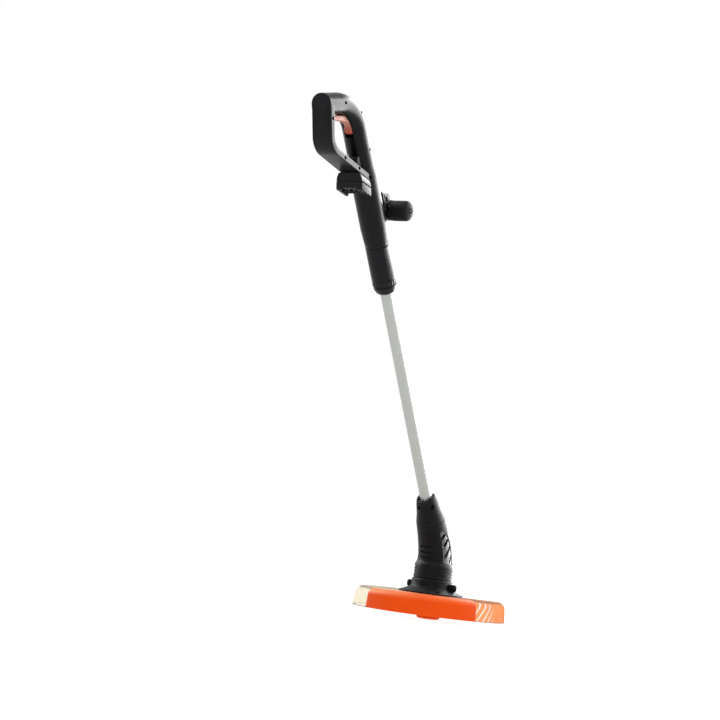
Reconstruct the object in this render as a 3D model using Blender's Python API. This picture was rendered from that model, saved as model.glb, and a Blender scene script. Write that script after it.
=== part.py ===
"""Cordless string trimmer, bare tool.

Metres, +Z up. The origin is the middle of the bump cap's flat face, with +Z up
the motor's axis, the cutting plane level and the user's side at -Y. The shaft
leans back over the user from the point where its line meets the motor's axis.
Pieces of the shaft and the handle are drawn in the shaft's own space: X across,
Y to the front and Z up the shaft.
"""
import math

import bmesh
import bpy
from mathutils import Matrix, Vector

# General clearances and fineness
GAP = 0.0003
RUNNING_GAP = 0.0001
SPLIT_GAP = 0.0003
ROUND_SIDES = 20
SMALL_SIDES = 8
BORE_SIDES = 16
HEAD_SIDES = 24

# Line of the shaft
SHAFT_TILT = math.radians(33.0)
CORNER_HEIGHT = 0.128

# Telescopic tube
TUBE_RADIUS = 0.0110
TUBE_WALL = 0.0013
TUBE_SHOWN = 0.403
TUBE_TRAVEL = 0.120
STOP_RING_LENGTH = 0.009
STOP_RING_WALL = 0.0025

# Neck that holds the tube's foot
NECK_SEAM = 0.058
NECK_LENGTH = 0.049
NECK_TOP_RADIUS = 0.0192
NECK_SEAM_RADIUS = 0.0264
NECK_WAIST_RADIUS = 0.0212
NECK_RIM_RADIUS = 0.0140
NECK_MOUTH_DEPTH = 0.004
NECK_MOUTH_RADIUS = 0.0118
NECK_NOTCH_RADIUS = 0.0125
NECK_NOTCH_LIFT = 0.0040
SPIGOT_RADIUS = 0.0150
SPIGOT_HEIGHT = 0.020
NECK_SCREW_ANGLES = (math.radians(-25.0), math.radians(55.0))
NECK_SCREW_DROP = 0.013
NECK_WELL_RADIUS = 0.0036
NECK_WELL_DEPTH = 0.0052

# Twist collar, collet and fixed sleeve under the handle
COLLAR_LENGTH = 0.026
COLLAR_RADIUS = 0.0210
COLLAR_NOSE_RADIUS = 0.0122
COLLAR_NOSE_LENGTH = 0.0150
FLUTES = 18
FLUTE_DEPTH = 0.0011
COLLET_LENGTH = 0.034
COLLET_WALL = 0.0030
SLEEVE_LENGTH = 0.062
SLEEVE_SPIGOT = 0.016

# Handle barrel and bend, measured up the shaft from the housing's foot
BARREL_RADIUS = 0.0210
BULGE_RADIUS = 0.0230
BULGE_START = 0.018
BULGE_END = 0.122
BARREL_TOP_RADIUS = 0.0208
BEND_START = 0.210
BEND_RADIUS = 0.060
BEND_ANGLE = math.radians(72.0)
BEND_ARM = 0.037
BEND_HALF_HEIGHT = 0.0174

# Strap that closes the loop behind the hand
STRAP_HALF_WIDTH = 0.0184
STRAP_THICKNESS = 0.0100
STRAP_DROP = 0.0756
STRAP_SLOPE = math.radians(135.5)
STRAP_RETURN = 0.132
STRAP_CORNER_RADIUS = 0.026
STRAP_CHAMFER = 0.0022

# Battery foot, in its own slanted space: forward and up from its rear lower edge
FOOT_HEIGHT_UP_SHAFT = 0.119
FOOT_OFFSET = 0.050
FOOT_PITCH = math.radians(9.4)
FOOT_LENGTH = 0.031
FOOT_HEIGHT = 0.0230
FOOT_LEAN = 0.0100
FOOT_HALF_WIDTH = 0.0260
FOOT_SHOULDER = 0.0064
FOOT_SEAM_HEIGHT = 0.0160
SOCKET_HALF_WIDTH = 0.0200
SOCKET_DEPTH = 0.0110
SOCKET_END_WALL = 0.0045
RAIL_LIP = 0.0030
RAIL_LIP_HEIGHT = 0.0028
TERMINAL_HALF_WIDTH = 0.0135
TERMINAL_LENGTH = 0.0145
TERMINAL_SETBACK = 0.0015
TERMINAL_LIFT = 0.0012
TERMINAL_BAR = 0.0013
TERMINAL_SLOTS = 5
TERMINAL_CELL = 0.0034
TERMINAL_ROOF = 0.0016
CONTACT_THICKNESS = 0.0008

# Trigger, lock-off button and switch
TRIGGER_PIVOT_UP = 0.266
TRIGGER_PIVOT_BACK = 0.072
TRIGGER_HALF_WIDTH = 0.0070
TRIGGER_EYE_RADIUS = 0.0052
TRIGGER_EYE_HALF_WIDTH = 0.0042
TRIGGER_PIN_RADIUS = 0.0020
TRIGGER_TRAVEL = math.radians(7.0)
SPRING_WIRE = 0.0008
LOCK_BUTTON_UP = 0.196
LOCK_BUTTON_RADIUS = 0.0050
LOCK_BUTTON_PROUD = 0.0034
LOCK_BUTTON_TRAVEL = 0.0028
LOCK_BUTTON_LENGTH = 0.0090
SWITCH_ALONG_ARM = 0.0104
SWITCH_DROP = 0.0020
SWITCH_LENGTH = 0.0140
SWITCH_HEIGHT = 0.0084
SWITCH_HALF_WIDTH = 0.0050
PLUNGER_RADIUS = 0.0016
PLUNGER_REACH = 0.0024

# Housing screws: up the shaft from the housing's foot, and back from its line
HOUSING_SCREWS = (
    (0.2668, 0.0375),
    (0.2367, -0.0005),
    (0.2560, 0.0795),
    (0.1709, -0.0041),
    (0.1835, 0.0670),
    (0.1530, 0.0345),
    (0.1246, 0.0061),
)
SCREW_SHANK_RADIUS = 0.0015
SCREW_HEAD_RADIUS = 0.0028
SCREW_HEAD_HEIGHT = 0.0024
SCREW_SEAT = 0.0100
SCREW_REACH = 0.0100

# Auxiliary T-handle
AUX_PIVOT_UP = 0.070
AUX_PIVOT_FRONT = 0.0350
AUX_HUB_RADIUS = 0.0082
AUX_HUB_HALF_WIDTH = 0.0090
AUX_TEETH = 14
AUX_TOOTH_DEPTH = 0.0010
AUX_EAR_THICKNESS = 0.0050
AUX_EAR_RADIUS = 0.0088
AUX_BOLT_RADIUS = 0.0030
AUX_ARM_LENGTH = 0.0322
AUX_ARM_ANGLE = math.radians(29.7)
AUX_GRIP_RADIUS = 0.0175
AUX_GRIP_HALF_LENGTH = 0.0500
AUX_GRIP_DOME = 0.0105
AUX_GRIP_FULLNESS = 0.83
AUX_BOSS_HALF_WIDTH = 0.0125
AUX_CORE_RADIUS = 0.0090
AUX_SADDLE_THICKNESS = 0.0030
AUX_SADDLE_LENGTH = 0.0340

# Motor head
HEAD_FOOT = 0.0720
HEAD_RADIUS = 0.0352
HEAD_BAND_HEIGHT = 0.0280
HEAD_WAIST_RADIUS = 0.0312
MOTOR_RADIUS = 0.0178
MOTOR_LENGTH = 0.0440
FAN_RADIUS = 0.0270
FAN_HEIGHT = 0.0070
FAN_BLADES = 9
FAN_CHAMBER_HEIGHT = 0.0120
HEAD_WALL = 0.0034
WINDOW_DEPTH = 0.0040
WINDOW_FLOOR = 0.0026
GRILLE_THICKNESS = 0.0022
GRILLE_BARS = 4
VENT_SLOTS = 3
VENT_WIDTH = 0.0270
VENT_HEIGHT = 0.0022
VENT_SPACING = 0.0096
GRIP_RIBS = 3
GRIP_RIB_DEPTH = 0.0014
HEAD_SCREWS = ((0.0860, HEAD_RADIUS - 0.0031), (0.1600, -0.0370))

# Ring that carries the guard
RING_RADIUS = 0.0360
RING_HEIGHT = 0.0160
FLANGE_RADIUS = 0.0585
FLANGE_EDGE = 0.0022
LUG_REACH = 0.0495
LUG_HALF_WIDTH = 0.0040
LUG_HEIGHT = 0.0090
LUG_SLOT = 0.0026
BEARING_RADIUS = 0.0080
BEARING_HEIGHT = 0.0060
SPINDLE_RADIUS = 0.0040

# Guard
GUARD_RADIUS = 0.1390
GUARD_TOP = 0.0440
GUARD_RIM = 0.0100
GUARD_WALL = 0.0024
GUARD_SHOULDER = 0.0130
GUARD_DRAFT = 0.0022
GUARD_LAP = 0.0110
GUARD_END = math.radians(125.0)
SHIELD_LEFT = math.radians(-24.0)
SHIELD_RIGHT = math.radians(67.0)
GUARD_STEP = math.radians(7.5)
GUARD_SCREW_CIRCLE = 0.0470
GUARD_SCREW_ANGLES = (math.radians(30.0), math.radians(150.0), math.radians(270.0))
CUTTER_ANGLE = math.radians(96.0)
CUTTER_LENGTH = 0.0200
CUTTER_HEIGHT = 0.0090
CUTTER_REACH = 0.0080
CUTTER_THICKNESS = 0.0014

# Spool head
SPOOL_CASE_RADIUS = 0.0410
SPOOL_CASE_TOP = 0.0400
SPOOL_CASE_FOOT = 0.0120
SPOOL_CASE_WALL = 0.0024
COVER_THICKNESS = 0.0022
BUMP_CAP_RADIUS = 0.0220
BUMP_CAP_CHAMFER = 0.0030
BUMP_TRAVEL = 0.0040
SPOOL_SIDE_ROOM = 0.0031
SPOOL_CORE_RADIUS = 0.0150
SPOOL_FLANGE = 0.0020
SPOOL_FOOT = 0.0160
SPOOL_HEIGHT = 0.0150
LINE_FREE_DEPTH = 0.0055
EYELET_HEIGHT = 0.0235
EYELET_RADIUS = 0.0040
EYELET_BORE = 0.0016
PUSH_SPRING_RADIUS = 0.0072
PUSH_SPRING_TURNS = 4

# Places that follow from the sizes above
NECK_TOP = NECK_SEAM + NECK_LENGTH
TUBE_FOOT = NECK_SEAM + SPIGOT_HEIGHT + 0.006
COLLAR_FOOT = NECK_TOP + TUBE_SHOWN
COLLAR_TOP = COLLAR_FOOT + COLLAR_LENGTH
SLEEVE_FOOT = COLLAR_TOP + GAP
HOUSING_FOOT = SLEEVE_FOOT + SLEEVE_LENGTH + GAP
COLLET_FOOT = COLLAR_FOOT + 0.0050
COLLET_TOP = COLLET_FOOT + COLLET_LENGTH
STOP_RING_FOOT = COLLET_TOP + GAP
TUBE_TOP = STOP_RING_FOOT + STOP_RING_LENGTH
STOP_RING_RADIUS = TUBE_RADIUS + STOP_RING_WALL
TUBE_WELL_RADIUS = STOP_RING_RADIUS + 0.0009
TUBE_WELL_TOP = TUBE_TOP + TUBE_TRAVEL + 0.002
COLLET_RADIUS = TUBE_RADIUS + RUNNING_GAP + COLLET_WALL
SLEEVE_BORE = TUBE_WELL_RADIUS
SLEEVE_SPIGOT_RADIUS = SLEEVE_BORE + 0.0028
BEND_HALF_WIDTH = STRAP_HALF_WIDTH
POCKET_HALF_WIDTH = TRIGGER_HALF_WIDTH + 0.0012
RING_FOOT = 0.0460
SPOOL_RADIUS = SPOOL_CASE_RADIUS - SPOOL_CASE_WALL - SPOOL_SIDE_ROOM
SPOOL_HUB_RADIUS = SPINDLE_RADIUS * 2.0

WORLD_SPACE = Matrix.Identity(4)
SHAFT_SPACE = Matrix.Translation((0.0, 0.0, CORNER_HEIGHT)) @ Matrix.Rotation(SHAFT_TILT, 4, "X")


def clear_scene():
    """Removes what the start-up file holds."""
    for item in list(bpy.data.objects):
        bpy.data.objects.remove(item, do_unlink=True)


def make_material(name, colour, roughness, metallic=0.0, transmission=0.0):
    """A Principled material with the plain values that the photo suggests."""
    material = bpy.data.materials.new(name)
    material.use_nodes = True
    shader = material.node_tree.nodes["Principled BSDF"]
    shader.inputs["Base Color"].default_value = (*colour, 1.0)
    shader.inputs["Roughness"].default_value = roughness
    shader.inputs["Metallic"].default_value = metallic
    shader.inputs["Transmission Weight"].default_value = transmission
    material.diffuse_color = (*colour, 1.0)
    return material


def make_object(name, mesh, space=WORLD_SPACE):
    """Links a mesh to the scene as an object drawn in the given space."""
    item = bpy.data.objects.new(name, mesh)
    bpy.context.scene.collection.objects.link(item)
    item.matrix_world = space
    return item


def finish_mesh(name, shape, space):
    """Turns a closed bmesh into an object whose faces point out."""
    bmesh.ops.remove_doubles(shape, verts=shape.verts, dist=1e-7)
    bmesh.ops.recalc_face_normals(shape, faces=shape.faces)
    if shape.calc_volume(signed=True) < 0.0:
        bmesh.ops.reverse_faces(shape, faces=shape.faces)
    mesh = bpy.data.meshes.new(name)
    shape.to_mesh(mesh)
    shape.free()
    return make_object(name, mesh, space)


def apply_modifiers(item):
    """Replaces an object's mesh by the mesh that its modifiers give."""
    bpy.context.view_layer.update()
    graph = bpy.context.evaluated_depsgraph_get()
    mesh = bpy.data.meshes.new_from_object(item.evaluated_get(graph))
    item.modifiers.clear()
    old_mesh = item.data
    item.data = mesh
    bpy.data.meshes.remove(old_mesh)


def combine(target, tools, operation):
    """Runs one Boolean for each tool and removes the tools."""
    for tool in tools:
        modifier = target.modifiers.new(operation.title(), "BOOLEAN")
        modifier.operation = operation
        modifier.solver = "EXACT"
        modifier.object = tool
        apply_modifiers(target)
        bpy.data.objects.remove(tool, do_unlink=True)
    return target


def cut(target, *tools):
    """Takes the tools' volume out of the target."""
    return combine(target, tools, "DIFFERENCE")


def join(target, *tools):
    """Adds the tools' volume to the target."""
    return combine(target, tools, "UNION")


def keep(target, *tools):
    """Keeps only what the target shares with the tools."""
    return combine(target, tools, "INTERSECT")


def copy_of(item, name):
    """A second object with its own copy of the mesh."""
    return make_object(name, item.data.copy(), item.matrix_world.copy())


def round_edges(item, width, segments=2, angle=math.radians(35.0)):
    """Bevels the sharp edges of an object."""
    modifier = item.modifiers.new("Edge", "BEVEL")
    modifier.width = width
    modifier.segments = segments
    modifier.limit_method = "ANGLE"
    modifier.angle_limit = angle
    modifier.use_clamp_overlap = True
    apply_modifiers(item)
    return item


def turned(name, outline, sides=ROUND_SIDES, space=WORLD_SPACE, phase=0.0):
    """Turns a closed outline of (radius, height) points about the space's Z axis."""
    shape = bmesh.new()
    rings = []
    for radius, height in outline:
        if radius < 1e-9:
            rings.append([shape.verts.new((0.0, 0.0, height))] * sides)
            continue
        ring = []
        for index in range(sides):
            angle = phase + 2.0 * math.pi * index / sides
            ring.append(shape.verts.new((radius * math.cos(angle), radius * math.sin(angle), height)))
        rings.append(ring)
    for number, ring in enumerate(rings):
        following = rings[(number + 1) % len(rings)]
        for index in range(sides):
            after = (index + 1) % sides
            corners = []
            for vert in (ring[index], ring[after], following[after], following[index]):
                if vert not in corners:
                    corners.append(vert)
            if len(corners) > 2:
                shape.faces.new(corners)
    return finish_mesh(name, shape, space)


def swept_sector(name, outline, start, end, step=GUARD_STEP, space=WORLD_SPACE):
    """Sweeps a closed outline of (radius, height) points from one bearing to another.

    Bearings are measured from the rear, -Y, towards +X.
    """
    count = max(2, math.ceil((end - start) / step))
    rings = []
    for index in range(count + 1):
        bearing = start + (end - start) * index / count
        across = math.sin(bearing)
        along = -math.cos(bearing)
        rings.append([(radius * across, radius * along, height) for radius, height in outline])
    return lofted(name, rings, space)


def lofted(name, rings, space=WORLD_SPACE):
    """Skins closed rings that all have the same number of points, with flat ends."""
    shape = bmesh.new()
    loops = [[shape.verts.new(point) for point in ring] for ring in rings]
    count = len(loops[0])
    for lower, upper in zip(loops, loops[1:]):
        for index in range(count):
            after = (index + 1) % count
            shape.faces.new((lower[index], lower[after], upper[after], upper[index]))
    shape.faces.new(loops[0])
    shape.faces.new(loops[-1])
    return finish_mesh(name, shape, space)


def side_prism(name, outline, low, high, space=SHAFT_SPACE):
    """Extrudes an outline of (front, up) points along X."""
    rings = [[(across, front, up) for front, up in outline] for across in (low, high)]
    return lofted(name, rings, space)


def top_prism(name, outline, low, high, space=WORLD_SPACE):
    """Extrudes an outline of (x, y) points along Z."""
    rings = [[(across, along, height) for across, along in outline] for height in (low, high)]
    return lofted(name, rings, space)


def block(name, low, high, space=WORLD_SPACE):
    """A box between two opposite corners."""
    outline = ((low[0], low[1]), (high[0], low[1]), (high[0], high[1]), (low[0], high[1]))
    return top_prism(name, outline, low[2], high[2], space)


def rod(name, start, end, radius, sides=SMALL_SIDES, space=WORLD_SPACE, end_radius=None):
    """A round bar between two points, tapered when a second radius is given."""
    start = Vector(start)
    end = Vector(end)
    axis = (end - start).normalized()
    across = axis.orthogonal().normalized()
    other = axis.cross(across)
    rings = []
    for centre, size in ((start, radius), (end, radius if end_radius is None else end_radius)):
        ring = []
        for index in range(sides):
            angle = 2.0 * math.pi * index / sides
            ring.append(centre + across * size * math.cos(angle) + other * size * math.sin(angle))
        rings.append(ring)
    return lofted(name, rings, space)


def coil(name, radius, wire, pitch, turns, space=WORLD_SPACE, points=10, sides=6):
    """A helical spring about the space's Z axis, starting at height zero, as one closed tube."""
    rings = []
    for index in range(turns * points + 1):
        angle = 2.0 * math.pi * index / points
        height = pitch * index / points
        outward = Vector((math.cos(angle), math.sin(angle), 0.0))
        ring = []
        for side in range(sides):
            turn = 2.0 * math.pi * side / sides
            offset = outward * wire * math.cos(turn) + Vector((0.0, 0.0, wire * math.sin(turn)))
            ring.append(outward * radius + Vector((0.0, 0.0, height)) + offset)
        rings.append(ring)
    return lofted(name, rings, space)


def arc_points(centre, radius, start, end, count):
    """Points along an arc in a plane, both ends included."""
    points = []
    for index in range(count + 1):
        angle = start + (end - start) * index / count
        points.append((centre[0] + radius * math.cos(angle), centre[1] + radius * math.sin(angle)))
    return points


def filleted(points, radius, count=6):
    """Rounds the inner corners of an open polyline of 2-D points."""
    rounded = [points[0]]
    for before, corner, after in zip(points, points[1:], points[2:]):
        corner = Vector(corner)
        back = (Vector(before) - corner).normalized()
        ahead = (Vector(after) - corner).normalized()
        half = back.angle(ahead) / 2.0
        reach = radius / math.tan(half)
        centre = corner + (back + ahead).normalized() * radius / math.sin(half)
        first = corner + back * reach - centre
        last = corner + ahead * reach - centre
        turn = first.angle_signed(last)
        for index in range(count + 1):
            spoke = first.copy()
            spoke.rotate(Matrix.Rotation(-turn * index / count, 2))
            rounded.append(tuple(centre + spoke))
    rounded.append(points[-1])
    return rounded


def hang_on(item, empty):
    """Parents an object to an empty and moves its mesh into the empty's space."""
    bpy.context.view_layer.update()
    item.data.transform(empty.matrix_world.inverted() @ item.matrix_world)
    item.parent = empty
    item.matrix_parent_inverse = Matrix.Identity(4)
    item.matrix_basis = Matrix.Identity(4)


def make_empty(name, matrix):
    """An axis marker that carries the pieces of one body."""
    empty = bpy.data.objects.new(name, None)
    bpy.context.scene.collection.objects.link(empty)
    empty.empty_display_size = 0.02
    empty.matrix_world = matrix
    return empty


def dress(items, material, empty, smooth=math.radians(35.0)):
    """Gives pieces their material, shading and parent."""
    for item in items:
        item.data.materials.clear()
        item.data.materials.append(material)
        item.data.shade_smooth()
        item.data.set_sharp_from_angle(angle=smooth)
        hang_on(item, empty)
    return items


# Points on the handle, in the shaft's space as (front, up)

def on_handle(back, up):
    """A point given back from the shaft's line and up from the housing's foot."""
    return (-back, HOUSING_FOOT + up)


def bend_station(distance):
    """Centre and lean of the bend's centre line at a distance past its start."""
    arc_length = BEND_RADIUS * BEND_ANGLE
    angle = min(distance, arc_length) / BEND_RADIUS
    beyond = max(distance - arc_length, 0.0)
    back = BEND_RADIUS * (1.0 - math.cos(angle)) + beyond * math.sin(angle)
    up = BEND_START + BEND_RADIUS * math.sin(angle) + beyond * math.cos(angle)
    return on_handle(back, up), angle


def bend_end():
    """Centre of the flat face where the bend meets the strap's outer plane."""
    return bend_station(BEND_RADIUS * BEND_ANGLE + BEND_ARM)[0]


def oval_ring(centre, lean, half_width, half_height, inner_power, count=ROUND_SIDES):
    """A ring across the handle's centre line: round outside, squarer inside."""
    ring = []
    for index in range(count):
        angle = 2.0 * math.pi * index / count
        power = 2.0 if math.sin(angle) >= 0.0 else inner_power
        across = half_width * math.copysign(abs(math.cos(angle)) ** (2.0 / power), math.cos(angle))
        out = half_height * math.copysign(abs(math.sin(angle)) ** (2.0 / power), math.sin(angle))
        front = centre[0] + out * math.cos(lean)
        up = centre[1] + out * math.sin(lean)
        ring.append((across, front, up))
    return ring


def strap_path():
    """Outer face of the strap from the top bend down to the battery foot, as (front, up)."""
    end = Vector(bend_end())
    down = Vector((-math.cos(BEND_ANGLE), -math.sin(BEND_ANGLE)))
    corner = end + down * STRAP_DROP
    back_in = Vector((-math.cos(STRAP_SLOPE), -math.sin(STRAP_SLOPE)))
    return [end, corner, corner + back_in * STRAP_RETURN]


def foot_point(forward, up):
    """A point of the battery foot's own space, as (front, up) in the shaft's space."""
    turn = SHAFT_TILT + FOOT_PITCH
    base = Vector(on_handle(FOOT_OFFSET, FOOT_HEIGHT_UP_SHAFT))
    ahead = Vector((math.cos(turn), -math.sin(turn)))
    above = Vector((math.sin(turn), math.cos(turn)))
    return tuple(base + ahead * forward + above * up)


def foot_space():
    """The battery foot's space: X across, Y forward along its underside, Z up."""
    base = on_handle(FOOT_OFFSET, FOOT_HEIGHT_UP_SHAFT)
    place = Matrix.Translation((0.0, base[0], base[1]))
    return SHAFT_SPACE @ place @ Matrix.Rotation(-(SHAFT_TILT + FOOT_PITCH), 4, "X")


def foot_outline(low, high):
    """Side outline of the foot between two heights, with its forward lean."""
    lean = FOOT_LEAN / FOOT_HEIGHT
    return (
        (-lean * low, low),
        (FOOT_LENGTH - lean * low, low),
        (FOOT_LENGTH - lean * high, high),
        (-lean * high, high),
    )


def trigger_pivot():
    """Centre of the trigger's pin, as (front, up)."""
    return on_handle(TRIGGER_PIVOT_BACK, TRIGGER_PIVOT_UP)


def aux_pivot():
    """Centre of the auxiliary handle's bolt, as (front, up)."""
    return on_handle(-AUX_PIVOT_FRONT, AUX_PIVOT_UP)


# Handle

def handle_body():
    """Barrel and top bend, lofted along the handle's centre line."""
    rings = []
    stations = (
        (0.0, BARREL_RADIUS - 0.0006),
        (0.0012, BARREL_RADIUS),
        (BULGE_START, BARREL_RADIUS + 0.0012),
        (BULGE_START + 0.016, BULGE_RADIUS),
        (BULGE_END, BULGE_RADIUS),
        (BULGE_END + 0.020, BULGE_RADIUS - 0.0014),
        (BEND_START - 0.028, BARREL_TOP_RADIUS),
    )
    for up, radius in stations:
        rings.append(oval_ring(on_handle(0.0, up), 0.0, radius, radius, 2.0))
    total = BEND_RADIUS * BEND_ANGLE + BEND_ARM
    steps = 9
    for index in range(steps + 1):
        share = index / steps
        centre, lean = bend_station(total * share)
        blend = min(1.0, share * 1.6)
        half_width = BARREL_TOP_RADIUS + (BEND_HALF_WIDTH - BARREL_TOP_RADIUS) * blend
        half_height = BARREL_TOP_RADIUS + (BEND_HALF_HEIGHT - BARREL_TOP_RADIUS) * blend
        rings.append(oval_ring(centre, lean, half_width, half_height, 2.0 + 2.0 * blend))
    return lofted("handle_body", rings, SHAFT_SPACE)


def strap_body():
    """Flat strap from the top bend down and back in to the barrel."""
    outer = strap_path()
    first = (outer[1] - outer[0]).normalized()
    second = (outer[2] - outer[1]).normalized()
    first_in = Vector((-first.y, first.x))
    second_in = Vector((-second.y, second.x))
    share = STRAP_THICKNESS / (1.0 + first_in.dot(second_in))
    inner = [
        outer[0] + first_in * STRAP_THICKNESS,
        outer[1] + (first_in + second_in) * share,
        outer[2] + second_in * STRAP_THICKNESS,
    ]
    outline = filleted(outer, STRAP_CORNER_RADIUS)
    outline += reversed(filleted(inner, STRAP_CORNER_RADIUS - STRAP_THICKNESS))
    strap = side_prism("strap_body", outline, -STRAP_HALF_WIDTH, STRAP_HALF_WIDTH)
    return round_edges(strap, STRAP_CHAMFER, 1, math.radians(60.0))


def gusset_body():
    """Small web between the strap's upper face and the barrel."""
    outline = (on_handle(0.030, 0.159), on_handle(0.025, 0.165), on_handle(0.015, 0.170), on_handle(0.012, 0.140))
    half_width = STRAP_HALF_WIDTH - 0.008
    return side_prism("gusset_body", outline, -half_width, half_width)


def foot_shell():
    """Upper part of the battery foot with rounded shoulders, blended into the barrel."""
    lean = FOOT_LEAN / FOOT_HEIGHT
    rings = []
    for forward, inset in ((0.0, 0.0), (FOOT_LENGTH, 0.0), (FOOT_LENGTH + 0.010, 0.012)):
        half = FOOT_HALF_WIDTH - inset
        low = FOOT_SEAM_HEIGHT
        high = FOOT_HEIGHT
        right = arc_points((half - FOOT_SHOULDER, high - FOOT_SHOULDER), FOOT_SHOULDER, 0.0, math.pi / 2.0, 5)
        left = [(-across, height) for across, height in reversed(right)]
        outline = [(-half, low), (half, low)] + right + left
        rings.append([(across, forward - lean * height, height) for across, height in outline])
    return lofted("foot_shell", rings, foot_space())


def trigger_pocket():
    """Space inside the bend where the trigger swings."""
    outline = (
        on_handle(0.0778, 0.2744),
        on_handle(0.0660, 0.2744),
        on_handle(0.0580, 0.2639),
        on_handle(0.0340, 0.2594),
        on_handle(0.0070, 0.2494),
        on_handle(0.0044, 0.2300),
        on_handle(0.0044, 0.2150),
        on_handle(0.0085, 0.2085),
        on_handle(0.0150, 0.2010),
        on_handle(0.0215, 0.1985),
        on_handle(0.0400, 0.1985),
        on_handle(0.0675, 0.2444),
        on_handle(0.0756, 0.2594),
        on_handle(0.0778, 0.2629),
    )
    return side_prism("trigger_pocket", outline, -POCKET_HALF_WIDTH, POCKET_HALF_WIDTH)


def switch_place():
    """Centre of the trigger switch in the bend's straight arm, with its two directions."""
    along = Vector((-math.sin(BEND_ANGLE), math.cos(BEND_ANGLE)))
    out = Vector((math.cos(BEND_ANGLE), math.sin(BEND_ANGLE)))
    on_line = Vector(bend_station(BEND_RADIUS * BEND_ANGLE + SWITCH_ALONG_ARM)[0])
    return on_line - out * SWITCH_DROP, along, out


def switch_outline(margin):
    """Side outline of the trigger switch in the bend, grown by a margin."""
    centre, along, out = switch_place()
    half_length = SWITCH_LENGTH / 2.0 + margin
    half_height = SWITCH_HEIGHT / 2.0 + margin
    corners = ((-1.0, -1.0), (1.0, -1.0), (1.0, 1.0), (-1.0, 1.0))
    return [tuple(centre + along * half_length * a + out * half_height * b) for a, b in corners]


def plunger_solid(clear, beyond):
    """The switch's plunger, or the hole that it needs with a clearance and an extra reach."""
    centre, _, out = switch_place()
    root = centre - out * (SWITCH_HEIGHT / 2.0 - 0.0012)
    tip = centre - out * (SWITCH_HEIGHT / 2.0 + PLUNGER_REACH + beyond)
    start = (0.0, root.x, root.y)
    end = (0.0, tip.x, tip.y)
    return rod("plunger", start, end, PLUNGER_RADIUS + clear, SMALL_SIDES, SHAFT_SPACE)


def handle_screw_holes(clear):
    """Cutters for the housing screws: head well on the right side and shank hole."""
    cutters = []
    for up, back in HOUSING_SCREWS:
        front, height = on_handle(back, up)
        outline = (
            (0.0, -SCREW_REACH - clear),
            (SCREW_SHANK_RADIUS + clear, -SCREW_REACH - clear),
            (SCREW_SHANK_RADIUS + clear, SCREW_SEAT - clear),
            (SCREW_HEAD_RADIUS + clear, SCREW_SEAT - clear),
            (SCREW_HEAD_RADIUS + clear, 0.030),
            (0.0, 0.030),
        )
        cutters.append(turned("screw_hole", outline, SMALL_SIDES, across_space(front, height)))
    return cutters


def across_space(front, height):
    """A space whose Z axis runs along X through a point of the shaft's side view."""
    return SHAFT_SPACE @ Matrix.Translation((0.0, front, height)) @ Matrix.Rotation(math.pi / 2.0, 4, "Y")


def sleeve_screw_solid(clear):
    """The short screw that ties the housing to the sleeve's spigot, or its hole."""
    front, height = on_handle(-0.0046, 0.0052)
    outline = (
        (0.0, SLEEVE_BORE + 0.0012 - clear),
        (SCREW_SHANK_RADIUS + clear, SLEEVE_BORE + 0.0012 - clear),
        (SCREW_SHANK_RADIUS + clear, BARREL_RADIUS - 0.0030 - clear),
        (SCREW_HEAD_RADIUS + clear, BARREL_RADIUS - 0.0030 - clear),
        (SCREW_HEAD_RADIUS + clear, 0.030 if clear else BARREL_RADIUS - 0.0014),
        (0.0, 0.030 if clear else BARREL_RADIUS - 0.0014),
    )
    return turned("sleeve_screw", outline, SMALL_SIDES, across_space(front, height))


def split_in_halves(whole, left_name, right_name, space):
    """Cuts a shell along its middle plane into a left and a right half."""
    right = copy_of(whole, right_name)
    left = whole
    left.name = left_name
    left.data.name = left_name
    reach = 0.6
    half_gap = SPLIT_GAP / 2.0
    keep(left, block("left_half", (-reach, -reach, -reach), (-half_gap, reach, 1.0), space))
    keep(right, block("right_half", (half_gap, -reach, -reach), (reach, reach, 1.0), space))
    return left, right


def make_housing():
    """The two halves of the handle's housing."""
    body = handle_body()
    join(body, strap_body(), gusset_body(), foot_shell())
    well = turned(
        "tube_well",
        (
            (0.0, HOUSING_FOOT - 0.010),
            (SLEEVE_SPIGOT_RADIUS + GAP, HOUSING_FOOT - 0.010),
            (SLEEVE_SPIGOT_RADIUS + GAP, HOUSING_FOOT + SLEEVE_SPIGOT + GAP),
            (TUBE_WELL_RADIUS, HOUSING_FOOT + SLEEVE_SPIGOT + GAP),
            (TUBE_WELL_RADIUS, TUBE_WELL_TOP),
            (0.0, TUBE_WELL_TOP),
        ),
        ROUND_SIDES,
        SHAFT_SPACE,
    )
    switch_nook = side_prism(
        "switch_nook",
        switch_outline(GAP),
        -SWITCH_HALF_WIDTH - GAP,
        SWITCH_HALF_WIDTH + GAP,
    )
    cut(body, well, trigger_pocket(), switch_nook, plunger_solid(GAP, 0.0040))
    front, height = trigger_pivot()
    pin_reach = POCKET_HALF_WIDTH + 0.0040
    pin_hole = rod(
        "pin_hole",
        (-pin_reach - GAP, front, height),
        (pin_reach + GAP, front, height),
        TRIGGER_PIN_RADIUS + GAP / 2.0,
        SMALL_SIDES,
        SHAFT_SPACE,
    )
    button_front, button_height = on_handle(-0.003, LOCK_BUTTON_UP)
    floor = BARREL_TOP_RADIUS + LOCK_BUTTON_PROUD - LOCK_BUTTON_LENGTH - LOCK_BUTTON_TRAVEL - 0.0006
    button_hole = rod(
        "button_hole",
        (-0.030, button_front, button_height),
        (-floor, button_front, button_height),
        LOCK_BUTTON_RADIUS + RUNNING_GAP,
        24,
        SHAFT_SPACE,
    )
    cut(body, pin_hole, button_hole, *handle_screw_holes(GAP), sleeve_screw_solid(GAP))
    return split_in_halves(body, "housing_left", "housing_right", SHAFT_SPACE)


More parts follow.
